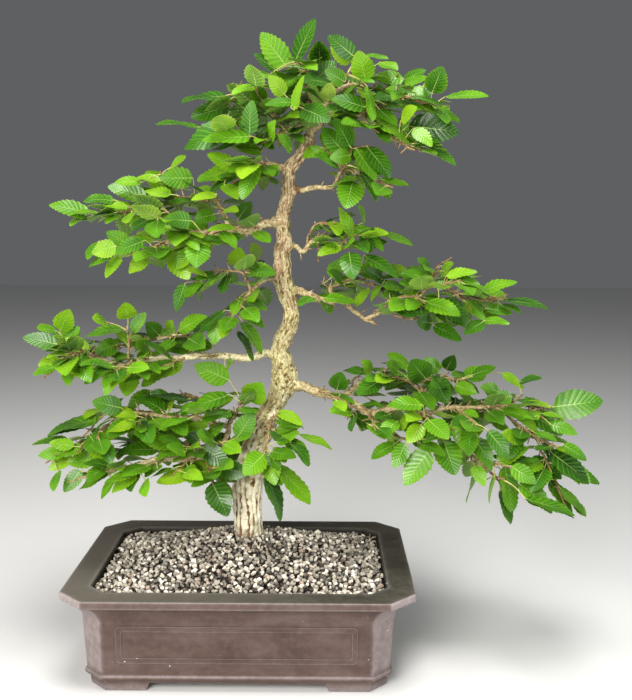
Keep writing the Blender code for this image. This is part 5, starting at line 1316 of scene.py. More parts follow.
def leaf_body(branch: str, leaf: Leaf) -> Body:
    """The thin blade of a leaf, without its stalk, for clearance tests."""
    corners = [Vector(corner) for corner in leaf_corners(leaf, CALM, PLAIN_CUT)]
    return Body(branch, corners, PLAIN_CUT.blank.faces, leaf)


@functools.lru_cache(maxsize=None)
def stone_blank(number: int) -> Blank:
    """Build one angular stone about one wide: the hull of a few scattered points.

    Args:
        number: which stone it is.

    Returns:
        The blank.
    """
    draw = random.Random(f"stone {number}")
    mesh = bmesh.new()
    for _ in range(12):
        spot = Vector([draw.gauss(0, 1) for _ in range(3)]).normalized() * draw.uniform(0.46, 0.55)
        mesh.verts.new((spot.x, spot.y * 0.9, spot.z * 0.82))
    hull = bmesh.ops.convex_hull(mesh, input=mesh.verts, use_existing_faces=False)
    bmesh.ops.delete(mesh, geom=hull["geom_interior"], context="VERTS")
    bmesh.ops.recalc_face_normals(mesh, faces=mesh.faces)
    return Blank.cut_from(mesh, smooth=False)


@dataclass
class Bench:
    """A material on its way: its node tree, with short calls that add to it."""

    name: str
    material: bpy.types.Material = field(init=False)

    def __post_init__(self) -> None:
        """Start a material with one Principled shader."""
        self.material = bpy.data.materials.new(self.name)
        self.material.use_nodes = True
        self.tree = self.material.node_tree
        self.shader = self.tree.nodes["Principled BSDF"]

    def node(self, kind: str, inputs: dict[str | int, object] | None = None, **settings: object
             ) -> bpy.types.Node:
        """Add a node.

        Args:
            kind: its type.
            inputs: its sockets' values, or the sockets that feed them.
            settings: its own settings.

        Returns:
            The node.
        """
        made = self.tree.nodes.new(kind)
        for name, value in settings.items():
            setattr(made, name, value)
        for socket, value in (inputs or {}).items():
            self.feed(made.inputs[socket], value)
        return made

    def feed(self, socket: Socket, value: object) -> None:
        """Link a socket, or set its value.

        Args:
            socket: the socket.
            value: the socket that feeds it, or its value.
        """
        if isinstance(value, bpy.types.NodeSocket):
            self.tree.links.new(value, socket)
        else:
            socket.default_value = value

    def places(self, stretch: tuple[float, float, float] = (1.0, 1.0, 1.0)) -> Socket:
        """The object's own coordinates, in metres, stretched along its axes."""
        source = self.node("ShaderNodeTexCoord").outputs["Object"]
        return self.node("ShaderNodeMapping", {"Vector": source, "Scale": stretch}).outputs[0]

    def mark(self, name: str) -> Socket:
        """A value that the mesh carries at its corners."""
        return self.node("ShaderNodeAttribute", attribute_name=name).outputs["Fac"]

    def grain(self, size: float, detail: float = 3.0, rough: float = 0.5,
              stretch: tuple[float, float, float] = (1.0, 1.0, 1.0)) -> Socket:
        """Add noise.

        Args:
            size: about how wide its patches are, in metres.
            detail: how many finer layers it has.
            rough: how strong they are.
            stretch: its scale along each axis.

        Returns:
            Its value.
        """
        return self.node("ShaderNodeTexNoise", {
            "Vector": self.places(stretch), "Scale": 1.0 / size, "Detail": detail, "Roughness": rough,
        }).outputs["Fac"]

    def sum(self, operation: str, first: object, second: object = 0.0, clamp: bool = False) -> Socket:
        """Reckon with two values.

        Args:
            operation: what is done.
            first: the first value.
            second: the second value.
            clamp: whether the result is held between nought and one.

        Returns:
            The result.
        """
        made = self.node("ShaderNodeMath", operation=operation, use_clamp=clamp)
        self.feed(made.inputs[0], first)
        self.feed(made.inputs[1], second)
        return made.outputs[0]

    def span(self, value: Socket, low: float, high: float, floor: float = 0.0, top: float = 1.0) -> Socket:
        """Map a value from one range to another, held inside it."""
        return self.node("ShaderNodeMapRange", {"Value": value, "From Min": low, "From Max": high,
                                                "To Min": floor, "To Max": top}, clamp=True).outputs[0]

    def ramp(self, value: Socket, stops: list[tuple[float, Colour]]) -> Socket:
        """Turn a value into a colour.

        Args:
            value: the value.
            stops: places between nought and one, with their colours.

        Returns:
            The colour.
        """
        made = self.node("ShaderNodeValToRGB", {"Fac": value})
        band = made.color_ramp.elements
        while len(band) < len(stops):
            band.new(0.5)
        for element, (place, colour) in zip(band, stops):
            element.position = place
            element.color = (*colour, 1.0)
        return made.outputs["Color"]

    def blend(self, share: object, first: object, second: object) -> Socket:
        """Mix two colours.

        Args:
            share: how much of the second one there is.
            first: the first colour.
            second: the second colour.

        Returns:
            The mixed colour.
        """
        made = self.node("ShaderNodeMix", data_type="RGBA")
        for socket, value in ((made.inputs[0], share), (made.inputs[6], first), (made.inputs[7], second)):
            self.feed(socket, (*value, 1.0) if isinstance(value, tuple) else value)
        return made.outputs[2]

    def bump(self, height: Socket, depth: float, strength: float = 1.0,
             under: Socket | None = None) -> Socket:
        """Bump a surface.

        Args:
            height: its height, from nought to one.
            depth: what a height of one stands for, in metres.
            strength: how much of it shows.
            under: the bumped surface that it is added to.

        Returns:
            The bumped surface.
        """
        made = self.node("ShaderNodeBump", {"Height": height, "Distance": depth, "Strength": strength})
        if under is not None:
            self.feed(made.inputs["Normal"], under)
        return made.outputs[0]

    def finish(self, **sockets: object) -> bpy.types.Material:
        """Feed the shader and hand the material over.

        Args:
            sockets: values of the shader's sockets, which are named with underscores.

        Returns:
            The material.
        """
        for name, value in sockets.items():
            if isinstance(value, tuple) and len(value) == 3 and name.endswith("color"):
                value = (*value, 1.0)
            self.feed(self.shader.inputs[name.replace("_", " ").title().replace("Ior", "IOR")], value)
        return self.material


class Face(Enum):
    """The two faces of a leaf."""

    UPPER = "upper"
    LOWER = "lower"


@dataclass(frozen=True)
class LeafFinish:
    """A hornbeam blade: sunken parallel veins, a pale midrib, gloss above and matt below."""

    face: Face

    def make(self) -> bpy.types.Material:
        """Build it.

        Returns:
            The material.
        """
        bench = Bench(f"leaf_{self.face.value}")
        upper = self.face is Face.UPPER
        sheet = bench.node("ShaderNodeUVMap", uv_map="own").outputs[0]
        split = bench.node("ShaderNodeSeparateXYZ", {"Vector": sheet})
        station, side = split.outputs[0], split.outputs[1]
        away = bench.sum("ABSOLUTE", bench.sum("SUBTRACT", bench.sum("MULTIPLY", side, 2.0), 1.0))
        beat = bench.sum("PINGPONG", bench.sum("MULTIPLY", station, float(CUT.teeth)), 0.5)
        vein = bench.span(beat, 0.0, 0.09, 1.0, 0.0)
        vein = bench.sum("MULTIPLY", vein, bench.span(away, 0.75, 1.0, 1.0, 0.0))
        rib = bench.span(bench.sum("ADD", away, bench.sum("MULTIPLY", station, 0.04)), 0.020, 0.070, 0.8, 0.0)
        lines = bench.sum("MAXIMUM", rib, bench.sum("MULTIPLY", vein, 0.22))
        tone = bench.sum("ADD", bench.mark("tone"), bench.span(bench.grain(0.03), 0.3, 0.7, -0.14, 0.10))
        # Painted shade: the blade is painted darker between its veins and lighter along them
        tone = bench.sum("ADD", tone, bench.span(beat, 0.0, 0.4, 0.05, -0.08))
        pillow = bench.sum("POWER", bench.sum("MULTIPLY", beat, 2.0), 0.6)
        crinkle = bench.grain(0.0022, 2.0)
        height = bench.sum("ADD", pillow, bench.sum("MULTIPLY", crinkle, 0.35))
        if upper:
            green = bench.ramp(tone, [(0.0, (0.012, 0.055, 0.003)), (0.35, (0.036, 0.140, 0.005)),
                                      (0.65, (0.105, 0.290, 0.007)), (1.0, (0.240, 0.440, 0.012))])
            colour = bench.blend(lines, green, (0.34, 0.50, 0.12))
            rough = bench.span(bench.grain(0.02), 0.3, 0.7, 0.24, 0.36)
            surface = bench.bump(height, 0.00034, 0.5)
            return bench.finish(base_color=colour, roughness=rough, normal=surface, subsurface_weight=0.2,
                                subsurface_radius=(0.7, 1.0, 0.2), subsurface_scale=0.001,
                                specular_ior_level=0.4)
        green = bench.ramp(tone, [(0.0, (0.060, 0.135, 0.020)), (0.5, (0.140, 0.280, 0.035)),
                                  (1.0, (0.310, 0.480, 0.050))])
        colour = bench.blend(bench.sum("MULTIPLY", lines, 1.4, clamp=True), green, (0.44, 0.55, 0.16))
        surface = bench.bump(bench.sum("SUBTRACT", 1.0, height), 0.0004, 0.9)
        return bench.finish(base_color=colour, roughness=0.62, normal=surface, subsurface_weight=0.22,
                            subsurface_radius=(0.7, 1.0, 0.2), subsurface_scale=0.001)


@dataclass(frozen=True)
class TrunkFinish:
    """Cream ridges and dark grooves low down, reddish tan higher up."""

    def make(self) -> bpy.types.Material:
        """Build it.

        Returns:
            The material.
        """
        bench = Bench("trunk_bark")
        groove, height = bench.mark("tone"), bench.mark("chance")
        rough_grain = bench.grain(0.0035, 4.0, 0.65, (1.0, 1.0, 0.35))
        fine = bench.grain(0.0012, 3.0, 0.6, (1.0, 1.0, 0.5))
        cut = bench.sum("ADD", groove, bench.span(rough_grain, 0.3, 0.7, -0.22, 0.22), clamp=True)
        low = bench.ramp(cut, [(0.0, (0.10, 0.045, 0.020)), (0.24, (0.31, 0.18, 0.085)),
                               (0.42, (0.69, 0.56, 0.33)), (0.68, (0.97, 0.92, 0.71))])
        middle = bench.ramp(cut, [(0.0, (0.06, 0.038, 0.014)), (0.26, (0.20, 0.140, 0.050)),
                                  (0.55, (0.35, 0.295, 0.120)), (0.90, (0.60, 0.545, 0.30))])
        high = bench.ramp(cut, [(0.0, (0.065, 0.033, 0.016)), (0.28, (0.20, 0.115, 0.052)),
                                (0.58, (0.32, 0.225, 0.112)), (0.92, (0.58, 0.475, 0.295))])
        flake = bench.node("ShaderNodeTexVoronoi", {
            "Vector": bench.places((1.0, 1.0, 0.6)), "Scale": 330.0}, feature="F1").outputs["Color"]
        pale = bench.node("ShaderNodeSeparateColor", {"Color": flake}).outputs[0]
        high = bench.blend(bench.span(pale, 0.2, 0.9, 0.0, 0.45), high, (0.20, 0.11, 0.05))
        middle = bench.blend(bench.span(pale, 0.3, 0.9, 0.0, 0.35), middle, (0.22, 0.16, 0.06))
        patch = bench.grain(0.016, 3.0, 0.6)
        share = bench.sum("ADD", height, bench.span(patch, 0.35, 0.65, -0.2, 0.2), clamp=True)
        colour = bench.blend(bench.span(share, 0.10, 0.32), low, middle)
        colour = bench.blend(bench.span(share, 0.55, 0.80), colour, high)
        stain = bench.span(bench.grain(0.011, 4.0, 0.7), 0.58, 0.72, 0.0, 0.5)
        damp = bench.span(height, 0.0, 0.05, 0.75, 0.0)
        foot = bench.sum("ADD", damp, bench.span(patch, 0.4, 0.6, -0.6, 0.2), clamp=True)
        colour = bench.blend(bench.sum("MAXIMUM", stain, foot), colour, (0.20, 0.115, 0.055))
        surface = bench.bump(rough_grain, 0.0009, 0.8)
        surface = bench.bump(fine, 0.0003, 0.7, surface)
        return bench.finish(base_color=colour, roughness=0.86, normal=surface, specular_ior_level=0.3)


@dataclass(frozen=True)
class LimbFinish:
    """Tan to cream bark on thick limbs, reddish brown on thin twigs."""

    def make(self) -> bpy.types.Material:
        """Build it.

        Returns:
            The material.
        """
        bench = Bench("limb_bark")
        age, chance = bench.mark("tone"), bench.mark("chance")
        patch = bench.grain(0.0032, 4.0, 0.65)
        fine = bench.grain(0.0011, 3.0, 0.6)
        young = bench.blend(bench.span(patch, 0.35, 0.7), (0.17, 0.085, 0.030), (0.42, 0.29, 0.13))
        old = bench.ramp(patch, [(0.30, (0.13, 0.082, 0.035)), (0.46, (0.36, 0.27, 0.13)),
                                 (0.66, (0.62, 0.53, 0.31))])
        pale = bench.ramp(patch, [(0.30, (0.22, 0.16, 0.07)), (0.46, (0.56, 0.49, 0.29)),
                                  (0.66, (0.78, 0.72, 0.48))])
        old = bench.blend(bench.span(chance, 0.6, 0.9), old, pale)
        colour = bench.blend(age, young, old)
        surface = bench.bump(patch, 0.0006, 0.8)
        surface = bench.bump(fine, 0.0002, 0.6, surface)
        return bench.finish(base_color=colour, roughness=0.8, normal=surface, specular_ior_level=0.3)


@dataclass(frozen=True)
class StoneFinish:
    """Grit in cream, grey, pink and brown, each stone with its own tone."""

    def make(self) -> bpy.types.Material:
        """Build it.

        Returns:
            The material.
        """
        bench = Bench("grit")
        kind, chance = bench.mark("tone"), bench.mark("chance")
        colour = bench.ramp(kind, [(0.0, (0.045, 0.036, 0.026)), (0.20, (0.18, 0.155, 0.122)),
                                   (0.45, (0.34, 0.30, 0.235)), (0.70, (0.56, 0.505, 0.40)),
                                   (0.90, (0.92, 0.86, 0.74)), (0.96, (0.44, 0.33, 0.245)),
                                   (1.0, (0.20, 0.125, 0.08))])
        speck = bench.grain(0.0011, 3.0, 0.7)
        colour = bench.blend(bench.span(speck, 0.48, 0.68, 0.0, 0.35), colour, (0.14, 0.115, 0.09))
        colour = bench.blend(bench.span(chance, 0.0, 1.0, 0.0, 0.14), colour, (0.9, 0.88, 0.82))
        return bench.finish(base_color=colour, roughness=0.88, normal=bench.bump(speck, 0.0003, 0.8),
                            specular_ior_level=0.3)


@dataclass(frozen=True)
class ClayFinish:
    """Unglazed purplish brown clay, paler at worn edges, painted highlights and painted light, near black at
    painted shade, olive and dusty on the rim.
    """

    def make(self) -> bpy.types.Material:
        """Build it.

        Returns:
            The material.
        """
        bench = Bench("clay")
        wear_and_painted_light, rim = bench.mark("tone"), bench.mark("chance")
        cloud = bench.grain(0.045, 4.0, 0.6, (1.0, 1.0, 2.2))
        mottle = bench.grain(0.007, 4.0, 0.65)
        fine = bench.grain(0.0012, 3.0, 0.6)
        body = bench.ramp(cloud, [(0.32, (0.060, 0.035, 0.028)), (0.50, (0.082, 0.051, 0.042)),
                                  (0.68, (0.110, 0.076, 0.067))])
        body = bench.blend(bench.span(mottle, 0.45, 0.75, 0.0, 0.4), body, (0.14, 0.102, 0.094))
        across = bench.node("ShaderNodeSeparateXYZ", {"Vector": bench.places()}).outputs[0]
        top = bench.ramp(cloud, [(0.3, (0.034, 0.031, 0.022)), (0.7, (0.072, 0.064, 0.048))])
        # Painted light: the rim's top is painted paler toward the left, where light falls, and stays darker
        # to the right, in the tree's shade
        top = bench.blend(bench.span(across, -0.26, 0.04, 0.75, 0.0), top, (0.135, 0.120, 0.098))
        top = bench.blend(bench.span(mottle, 0.45, 0.7, 0.0, 0.3), top, (0.13, 0.118, 0.094))
        colour = bench.blend(rim, body, top)
        # The first value carries wear and painted light: from nought to one it pales the clay, for worn edges
        # and for painted highlights and painted light on the ridges, the bead and the canted faces
        pale_wear_and_light = bench.sum("MULTIPLY", wear_and_painted_light, bench.span(mottle, 0.35, 0.65, 0.6, 1.0), clamp=True)
        colour = bench.blend(pale_wear_and_light, colour, (0.40, 0.345, 0.345))
        # Below nought the same value paints shade: near black on the inner wall below the mouth and at the
        # feet of the panel frames
        colour = bench.blend(bench.span(wear_and_painted_light, -1.0, 0.0, 1.0, 0.0), colour, (0.016, 0.012, 0.010))
        chip = bench.span(bench.grain(0.0032, 0.0), 0.885, 0.900)
        colour = bench.blend(chip, colour, (0.78, 0.75, 0.70))
        rough = bench.span(mottle, 0.3, 0.7, 0.50, 0.68)
        surface = bench.bump(mottle, 0.0004, 0.5)
        surface = bench.bump(fine, 0.00012, 0.6, surface)
        return bench.finish(base_color=colour, roughness=rough, normal=surface, specular_ior_level=0.25)


@dataclass(frozen=True)
class MottledFinish:
    """A plain stuff in two tones with a fine grain: its sizes in metres and its roughness."""

    name: str
    dark: Colour
    pale: Colour
    patch: float
    grain: float
    depth: float
    rough: float

    def make(self) -> bpy.types.Material:
        """Build it.

        Returns:
            The material.
        """
        bench = Bench(self.name)
        share = bench.span(bench.grain(self.patch), 0.35, 0.7)
        relief = bench.bump(bench.grain(self.grain), self.depth)
        return bench.finish(base_color=bench.blend(share, self.dark, self.pale), roughness=self.rough,
                            normal=relief)


LEAF_STALK = MottledFinish("leaf_stalk", (0.46, 0.50, 0.16), (0.42, 0.30, 0.10), 0.006, 0.001, 0.0001, 0.5)
BUD_SCALES = MottledFinish("bud_scales", (0.20, 0.095, 0.037), (0.38, 0.23, 0.10), 0.0016, 0.0016, 0.0002,
                           0.55)
SOIL = MottledFinish("soil", (0.008, 0.006, 0.005), (0.045, 0.034, 0.026), 0.003, 0.003, 0.0015, 0.95)
SCREEN_PLASTIC = MottledFinish("screen_plastic", (0.022, 0.022, 0.022), (0.045, 0.045, 0.043), 0.01, 0.0006,
                               0.00008, 0.55)
PALE_FLOOR = MottledFinish("pale_floor", (0.735, 0.735, 0.725), (0.745, 0.745, 0.735), 0.3, 0.01, 0.00001,
                           0.7)


# How far past a softened corner a loop has a point that holds its flat side straight, and how
# many points it has at each of its eight corners and in all
GUARD = 2.2
CORNER_POINTS = 6
LOOP_POINTS = 8 * CORNER_POINTS


def canted_loop(half_x: float, half_y: float, cant: float, height: float, soft: float = 2.0) -> Corners:
    """A level rectangle with cut and softened corners.

    Args:
        half_x: half of its width.
        half_y: half of its depth.
        cant: how much of each side the cut corner takes.
        height: its height.
        soft: how far the softened corners reach along the sides.

    Returns:
        Its points in turn, CORNER_POINTS to each of the eight corners.
    """
    corners = [(half_x, cant - half_y), (half_x, half_y - cant), (half_x - cant, half_y),
               (cant - half_x, half_y), (-half_x, half_y - cant), (-half_x, cant - half_y),
               (cant - half_x, -half_y), (half_x - cant, -half_y)]
    spots = [Vector((*corner, height)) for corner in corners]
    loop = []
    for index, spot in enumerate(spots):
        back = (spots[index - 1] - spot).normalized()
        on = (spots[(index + 1) % 8] - spot).normalized()
        loop.append(spot + back * (soft + GUARD))
        for share in (0.0, 0.35, 0.65, 1.0):
            loop.append(spot + back * soft * (1 - share) ** 2 + on * soft * share ** 2)
        loop.append(spot + on * (soft + GUARD))
    return np.array([tuple(point) for point in loop])


def loft(loops: list[Corners], low: float, high: float) -> tuple[Blank, Corners, Corners, Corners]:
    """Join level loops into a closed skin that ends in a middle point below and one above.

    Args:
        loops: the loops in turn, each of LOOP_POINTS points.
        low: the height of the first middle point.
        high: the height of the last one.

    Returns:
        The blank, its corners in millimetres, and the ring and the side that each corner is on.
    """
    blank = tube_blank(len(loops) + 2, LOOP_POINTS)
    ring = np.rint(blank.corners[:, 0]).astype(int)
    turn = np.arctan2(blank.corners[:, 2], blank.corners[:, 1]) % (2 * np.pi)
    side = np.rint(turn / (2 * np.pi) * LOOP_POINTS).astype(int) % LOOP_POINTS
    ends = [np.tile((0.0, 0.0, height), (LOOP_POINTS, 1)) for height in (low, high)]
    return blank, np.stack([ends[0], *loops, ends[1]])[ring, side], ring, side


@dataclass(frozen=True)
class Level:
    """One level of the pot's outline, with its wear and painted light from none to full, painted shade below
    nought, and its share of rim colour.
    """

    half_x: float
    half_y: float
    cant: float
    height: float
    wear_and_painted_light: float = 0.0
    rim: float = 0.0


@functools.lru_cache(maxsize=None)
def hoop_blank(rings: int, sides: int) -> Blank:
    """A closed hoop: corners are (ring, side), both as whole numbers.

    Args:
        rings: how many rings it has.
        sides: how many sides it has.

    Returns:
        The blank.
    """
    mesh = bmesh.new()
    bmesh.ops.create_grid(mesh, x_segments=rings, y_segments=sides, size=0.5)
    for vert in mesh.verts:
        vert.co = Vector((vert.co.x + 0.5, vert.co.y + 0.5, 0.0))
        turn, roll = 2 * math.pi * vert.co.x, 2 * math.pi * vert.co.y
        reach = 2.0 + math.cos(roll)
        vert.co = Vector((reach * math.cos(turn), reach * math.sin(turn), -math.sin(roll)))
    bmesh.ops.remove_doubles(mesh, verts=mesh.verts, dist=1e-4)
    bmesh.ops.recalc_face_normals(mesh, faces=mesh.faces)
    for vert in mesh.verts:
        turn = math.atan2(vert.co.y, vert.co.x) % (2 * math.pi)
        roll = math.atan2(-vert.co.z, math.hypot(vert.co.x, vert.co.y) - 2.0) % (2 * math.pi)
        vert.co = Vector((round(turn / (2 * math.pi) * rings) % rings,
                          round(roll / (2 * math.pi) * sides) % sides, 0.0))
    return Blank.cut_from(mesh)


@dataclass
class Pot:
    """The clay pot: body, moulding, cove, lip, panel frames and feet, in millimetres."""

    width: float = 360.0
    depth: float = 266.8
    height: float = 101.5
    lip_cant: float = 27.0
    rim_width: float = 28.5
    foot_height: float = 8.5
    floor_top: float = 18.5
    inside_cant: float = 18.0
    body_low: tuple[float, float, float] = (155.5, 115.5, 18.0)
    body_high: tuple[float, float, float] = (159.5, 121.0, 82.5)
    cove_foot: float = 76.0
    floor_half: tuple[float, float] = (147.0, 101.0)
    panel: tuple[float, float] = (31.2, 71.7)
    panel_margin: float = 37.5
    frame_width: float = 6.0
    frame_rise: float = 1.1
    drain_spacing: float = 150.0
    drain_diameter: float = 24.0
    wall_cant: float = 22.3
    foot_cant: float = 19.0
    lip_face: float = 8.2
    # How far inside the lip's outline the cove ends, then for the lip's two outer edges how far
    # under the top the edge's middle is and its radius, and the radius of the inner edge
    cove_inset: tuple[float, float] = (2.6, 1.8)
    lip_under_edge: tuple[float, float] = (6.8, 1.4)
    lip_upper_edge: tuple[float, float] = (1.6, 1.6)
    lip_edge: float = 1.8
    # The flat band and the bead over it: how far each level stands out, its rise and its wear, which on the
    # bead's crest is partly a painted highlight
    moulding: tuple[tuple[float, float, float], ...] = (
        (-2.9, 0.0, 0.0), (-2.4, 0.4, 0.1), (-2.3, 3.2, 0.0), (-1.6, 3.5, 0.0), (0.6, 3.9, 0.0),
        (1.7, 4.8, 0.0), (2.2, 6.1, 0.0), (2.2, 7.1, 0.1), (1.9, 8.1, 0.4), (1.3, 8.9, 0.5),
        (0.5, 9.4, 0.2), (0.15, 10.0, 0.0), (0.5, 16.0, 0.0))
    # The lip's flat top: how far in from its edge, how far down and its wear
    lip_top: tuple[tuple[float, float, float], ...] = (
        (3.2, 0.05, 0.05), (6.0, 0.25, 0.0), (14.0, 0.5, 0.0), (22.0, 0.35, 0.0), (25.5, 0.1, 0.1))
    # A foot's outline from the middle of one side round the corner: across, along, and how far its
    # top stands past its bottom each way
    foot_outline: tuple[tuple[float, float, float, float], ...] = (
        (92.5, 112.0, -4.5, 1.0), (134.0, 112.0, 1.0, 1.0), (152.0, 94.0, 1.0, 1.0),
        (152.0, 52.5, 1.0, -4.5), (136.0, 52.5, 0.0, -4.5), (136.0, 96.0, 0.0, 0.0),
        (92.5, 96.0, -4.5, 0.0))

    def wall_half(self, height: float) -> tuple[float, float]:
        """Measure the body.

        Args:
            height: where it is measured.

        Returns:
            Half its width and half its depth.
        """
        share = (height - self.body_low[2]) / (self.body_high[2] - self.body_low[2])
        return tuple(self.body_low[axis] + (self.body_high[axis] - self.body_low[axis]) * share
                     for axis in (0, 1))

    def inside_half(self, height: float, gap: float) -> tuple[float, float]:
        """Measure the inside.

        Args:
            height: where it is measured.
            gap: what is taken off all round.

        Returns:
            Half its width and half its depth.
        """
        mouth = (self.width / 2 - self.rim_width, self.depth / 2 - self.rim_width)
        share = (height - self.floor_top) / (self.height - self.floor_top)
        return tuple(self.floor_half[axis] + (mouth[axis] - self.floor_half[axis]) * share - gap
                     for axis in (0, 1))

    def levels(self) -> list[Level]:
        """Work out the outline.

        Returns:
            Its levels, from the underside round the lip to the floor.
        """
        low_x, low_y, _ = self.body_low
        lip_x, lip_y = self.width / 2, self.depth / 2
        made = [Level(low_x - 8, low_y - 8, 17.5, self.foot_height)]
        for out, rise, wear_and_painted_light in self.moulding:
            cant = self.foot_cant + 0.2 * out
            made.append(Level(low_x + out, low_y + out, cant, self.foot_height + rise, wear_and_painted_light))
        wall_x, wall_y = self.wall_half(self.cove_foot)
        made.append(Level(wall_x, wall_y, self.wall_cant, self.cove_foot - 0.5))
        under_lip = self.height - self.lip_face - self.cove_foot
        for turn in range(0, 91, 10):
            climb = math.sin(math.radians(turn))
            out = 0.35 * climb + 0.65 * (1.0 - math.cos(math.radians(turn)))
            cove_x = wall_x + (lip_x - self.cove_inset[0] - wall_x) * out
            cove_y = wall_y + (lip_y - self.cove_inset[1] - wall_y) * out
            made.append(Level(cove_x, cove_y, self.wall_cant + 4.0 * out, self.cove_foot + under_lip * climb))
        drop, radius = self.lip_under_edge
        for turn in range(-90, 1, 30):
            made.append(self.lip_level(self.height - drop, radius, turn, 0.25))
        for drop in (5.6, 2.6):
            made.append(Level(lip_x, lip_y, self.lip_cant, self.height - drop, 0.04))
        drop, radius = self.lip_upper_edge
        for turn in range(0, 91, 22):
            made.append(self.lip_level(self.height - drop, radius, turn, 0.45 if 40 < turn < 70 else 0.1))
        for inward, dip, wear_and_painted_light in self.lip_top:
            cant = self.lip_cant + (self.inside_cant - self.lip_cant) * inward / self.rim_width
            made.append(Level(lip_x - inward, lip_y - inward, cant, self.height - dip, wear_and_painted_light, 1.0))
        mouth_x, mouth_y = lip_x - self.rim_width, lip_y - self.rim_width
        # Round the mouth's edge and down the inner wall the value falls below nought: painted shade, partly
        # soil stain, that darkens the clay down to the soil
        for turn in range(0, 91, 30):
            out = self.lip_edge * (1 - math.sin(math.radians(turn)))
            drop = self.lip_edge * (1 - math.cos(math.radians(turn)))
            made.append(Level(mouth_x + out, mouth_y + out, self.inside_cant, self.height - 0.1 - drop,
                              0.3 - turn / 90, 1.0))
        made.append(Level(mouth_x - 0.2, mouth_y - 0.3, self.inside_cant, self.height - 4.0, -1.0, 1.0))
        floor_x, floor_y = self.floor_half
        made.append(Level(floor_x + 0.1, floor_y + 0.1, self.inside_cant, self.floor_top + 3.0))
        made.append(Level(floor_x - 3.0, floor_y - 3.0, self.inside_cant, self.floor_top))
        return made

    def lip_level(self, middle: float, radius: float, turn: float, wear_and_painted_light: float) -> Level:
        """Place a level on one of the lip's rounded edges.

        Args:
            middle: the height of the edge's middle.
            radius: how round it is.
            turn: how far round it the level lies, in degrees from its outermost place.
            wear_and_painted_light: how worn it is there.

        Returns:
            The level.
        """
        inward = radius * (1 - math.cos(math.radians(turn)))
        height = min(self.height, middle + radius * math.sin(math.radians(turn)))
        return Level(self.width / 2 - inward, self.depth / 2 - inward, self.lip_cant, height, wear_and_painted_light,
                     1.0 if turn > 60 else 0.0)

    def shell(self, heap: Heap) -> None:
        """Add the body, lip and inside as one closed skin, its cut corners painted paler: partly wear, partly
        painted light.

        Args:
            heap: where it goes.
        """
        levels = self.levels()
        loops = [canted_loop(level.half_x, level.half_y, level.cant, level.height) for level in levels]
        blank, corners, ring, side = loft(loops, self.foot_height, self.floor_top)
        wear_and_painted_light, rim = np.zeros((2, len(levels) + 2, LOOP_POINTS))
        for index, level in enumerate(levels, 1):
            rim[index] = level.rim
            # Painted light: the canted faces are painted paler, most under the lip, partly for wear and
            # partly for the light that falls on them from the sides
            pale = 0.75 if level.height > self.height - 9 else 0.5 if level.height > 20 else 0.2
            for spot in range(LOOP_POINTS):
                corner, place = divmod(spot, CORNER_POINTS)
                on_cant = place > 2 if corner % 2 else place < 3
                edge = (0.0, 0.1, 0.25, 0.25, 0.1, 0.0)[place]
                wear_and_painted_light[index, spot] = level.wear_and_painted_light if level.rim else max(level.wear_and_painted_light, pale * on_cant, edge)
        heap.add(blank, corners, wear_and_painted_light[ring, side], rim[ring, side])

    def panel_frame(self, heap: Heap, facing: int, sign: int) -> None:
        """Add the raised frame on one wall.

        Args:
            heap: where it goes.
            facing: the axis that the wall faces, 0 or 1.
            sign: which way along it.
        """
        half_wide = self.wall_half(self.panel[1])[1 - facing] - self.panel_margin
        middle = sum(self.panel) / 2
        half_high = (self.panel[1] - self.panel[0]) / 2
        mirror = sign if facing == 0 else -sign
        route = []
        for corner, (right, up) in enumerate(((1, 1), (-1, 1), (-1, -1), (1, -1))):
            for step in range(7):
                turn = math.pi / 2 * (corner + step / 6)
                route.append((right, up, math.cos(turn), math.sin(turn)))
        half, rise = self.frame_width / 2, self.frame_rise
        # The ridge's section: how far across it, how far out of the wall and its wear, which on the ridges is
        # partly a painted highlight and below nought, at its feet, a painted shade where it meets the wall
        section = [(0.0, -0.8, 0.0), (-half, -0.5, -0.3), (-half + 0.12, rise * 0.7, 0.25),
                   (-half + 0.55, rise * 0.85, 0.2), (-half + 0.9, rise * 0.7, 0.0),
                   (half - 1.4, rise * 0.7, 0.0), (half - 0.9, rise * 0.8, 0.05),
                   (half - 0.5, rise * 1.2, 0.25), (half - 0.15, rise * 0.9, 0.2), (half, -0.5, -0.3)]
        blank = hoop_blank(len(route), len(section))
        corners, tones = [], []
        for ring, side, _ in np.rint(blank.corners).astype(int):
            right, up, out_across, out_up = route[ring]
            spread, lift, wear_and_painted_light = section[side]
            inward = half - spread
            bend = 4.5 - 0.3 * inward
            across = right * (half_wide - inward - bend) + bend * out_across
            height = middle + up * (half_high - inward - bend) + bend * out_up
            reach = sign * (self.wall_half(height)[facing] + lift)
            across *= mirror
            corners.append((reach, across, height) if facing == 0 else (across, reach, height))
            tones.append(wear_and_painted_light)
        heap.add(blank, np.array(corners), np.array(tones), 0.0)

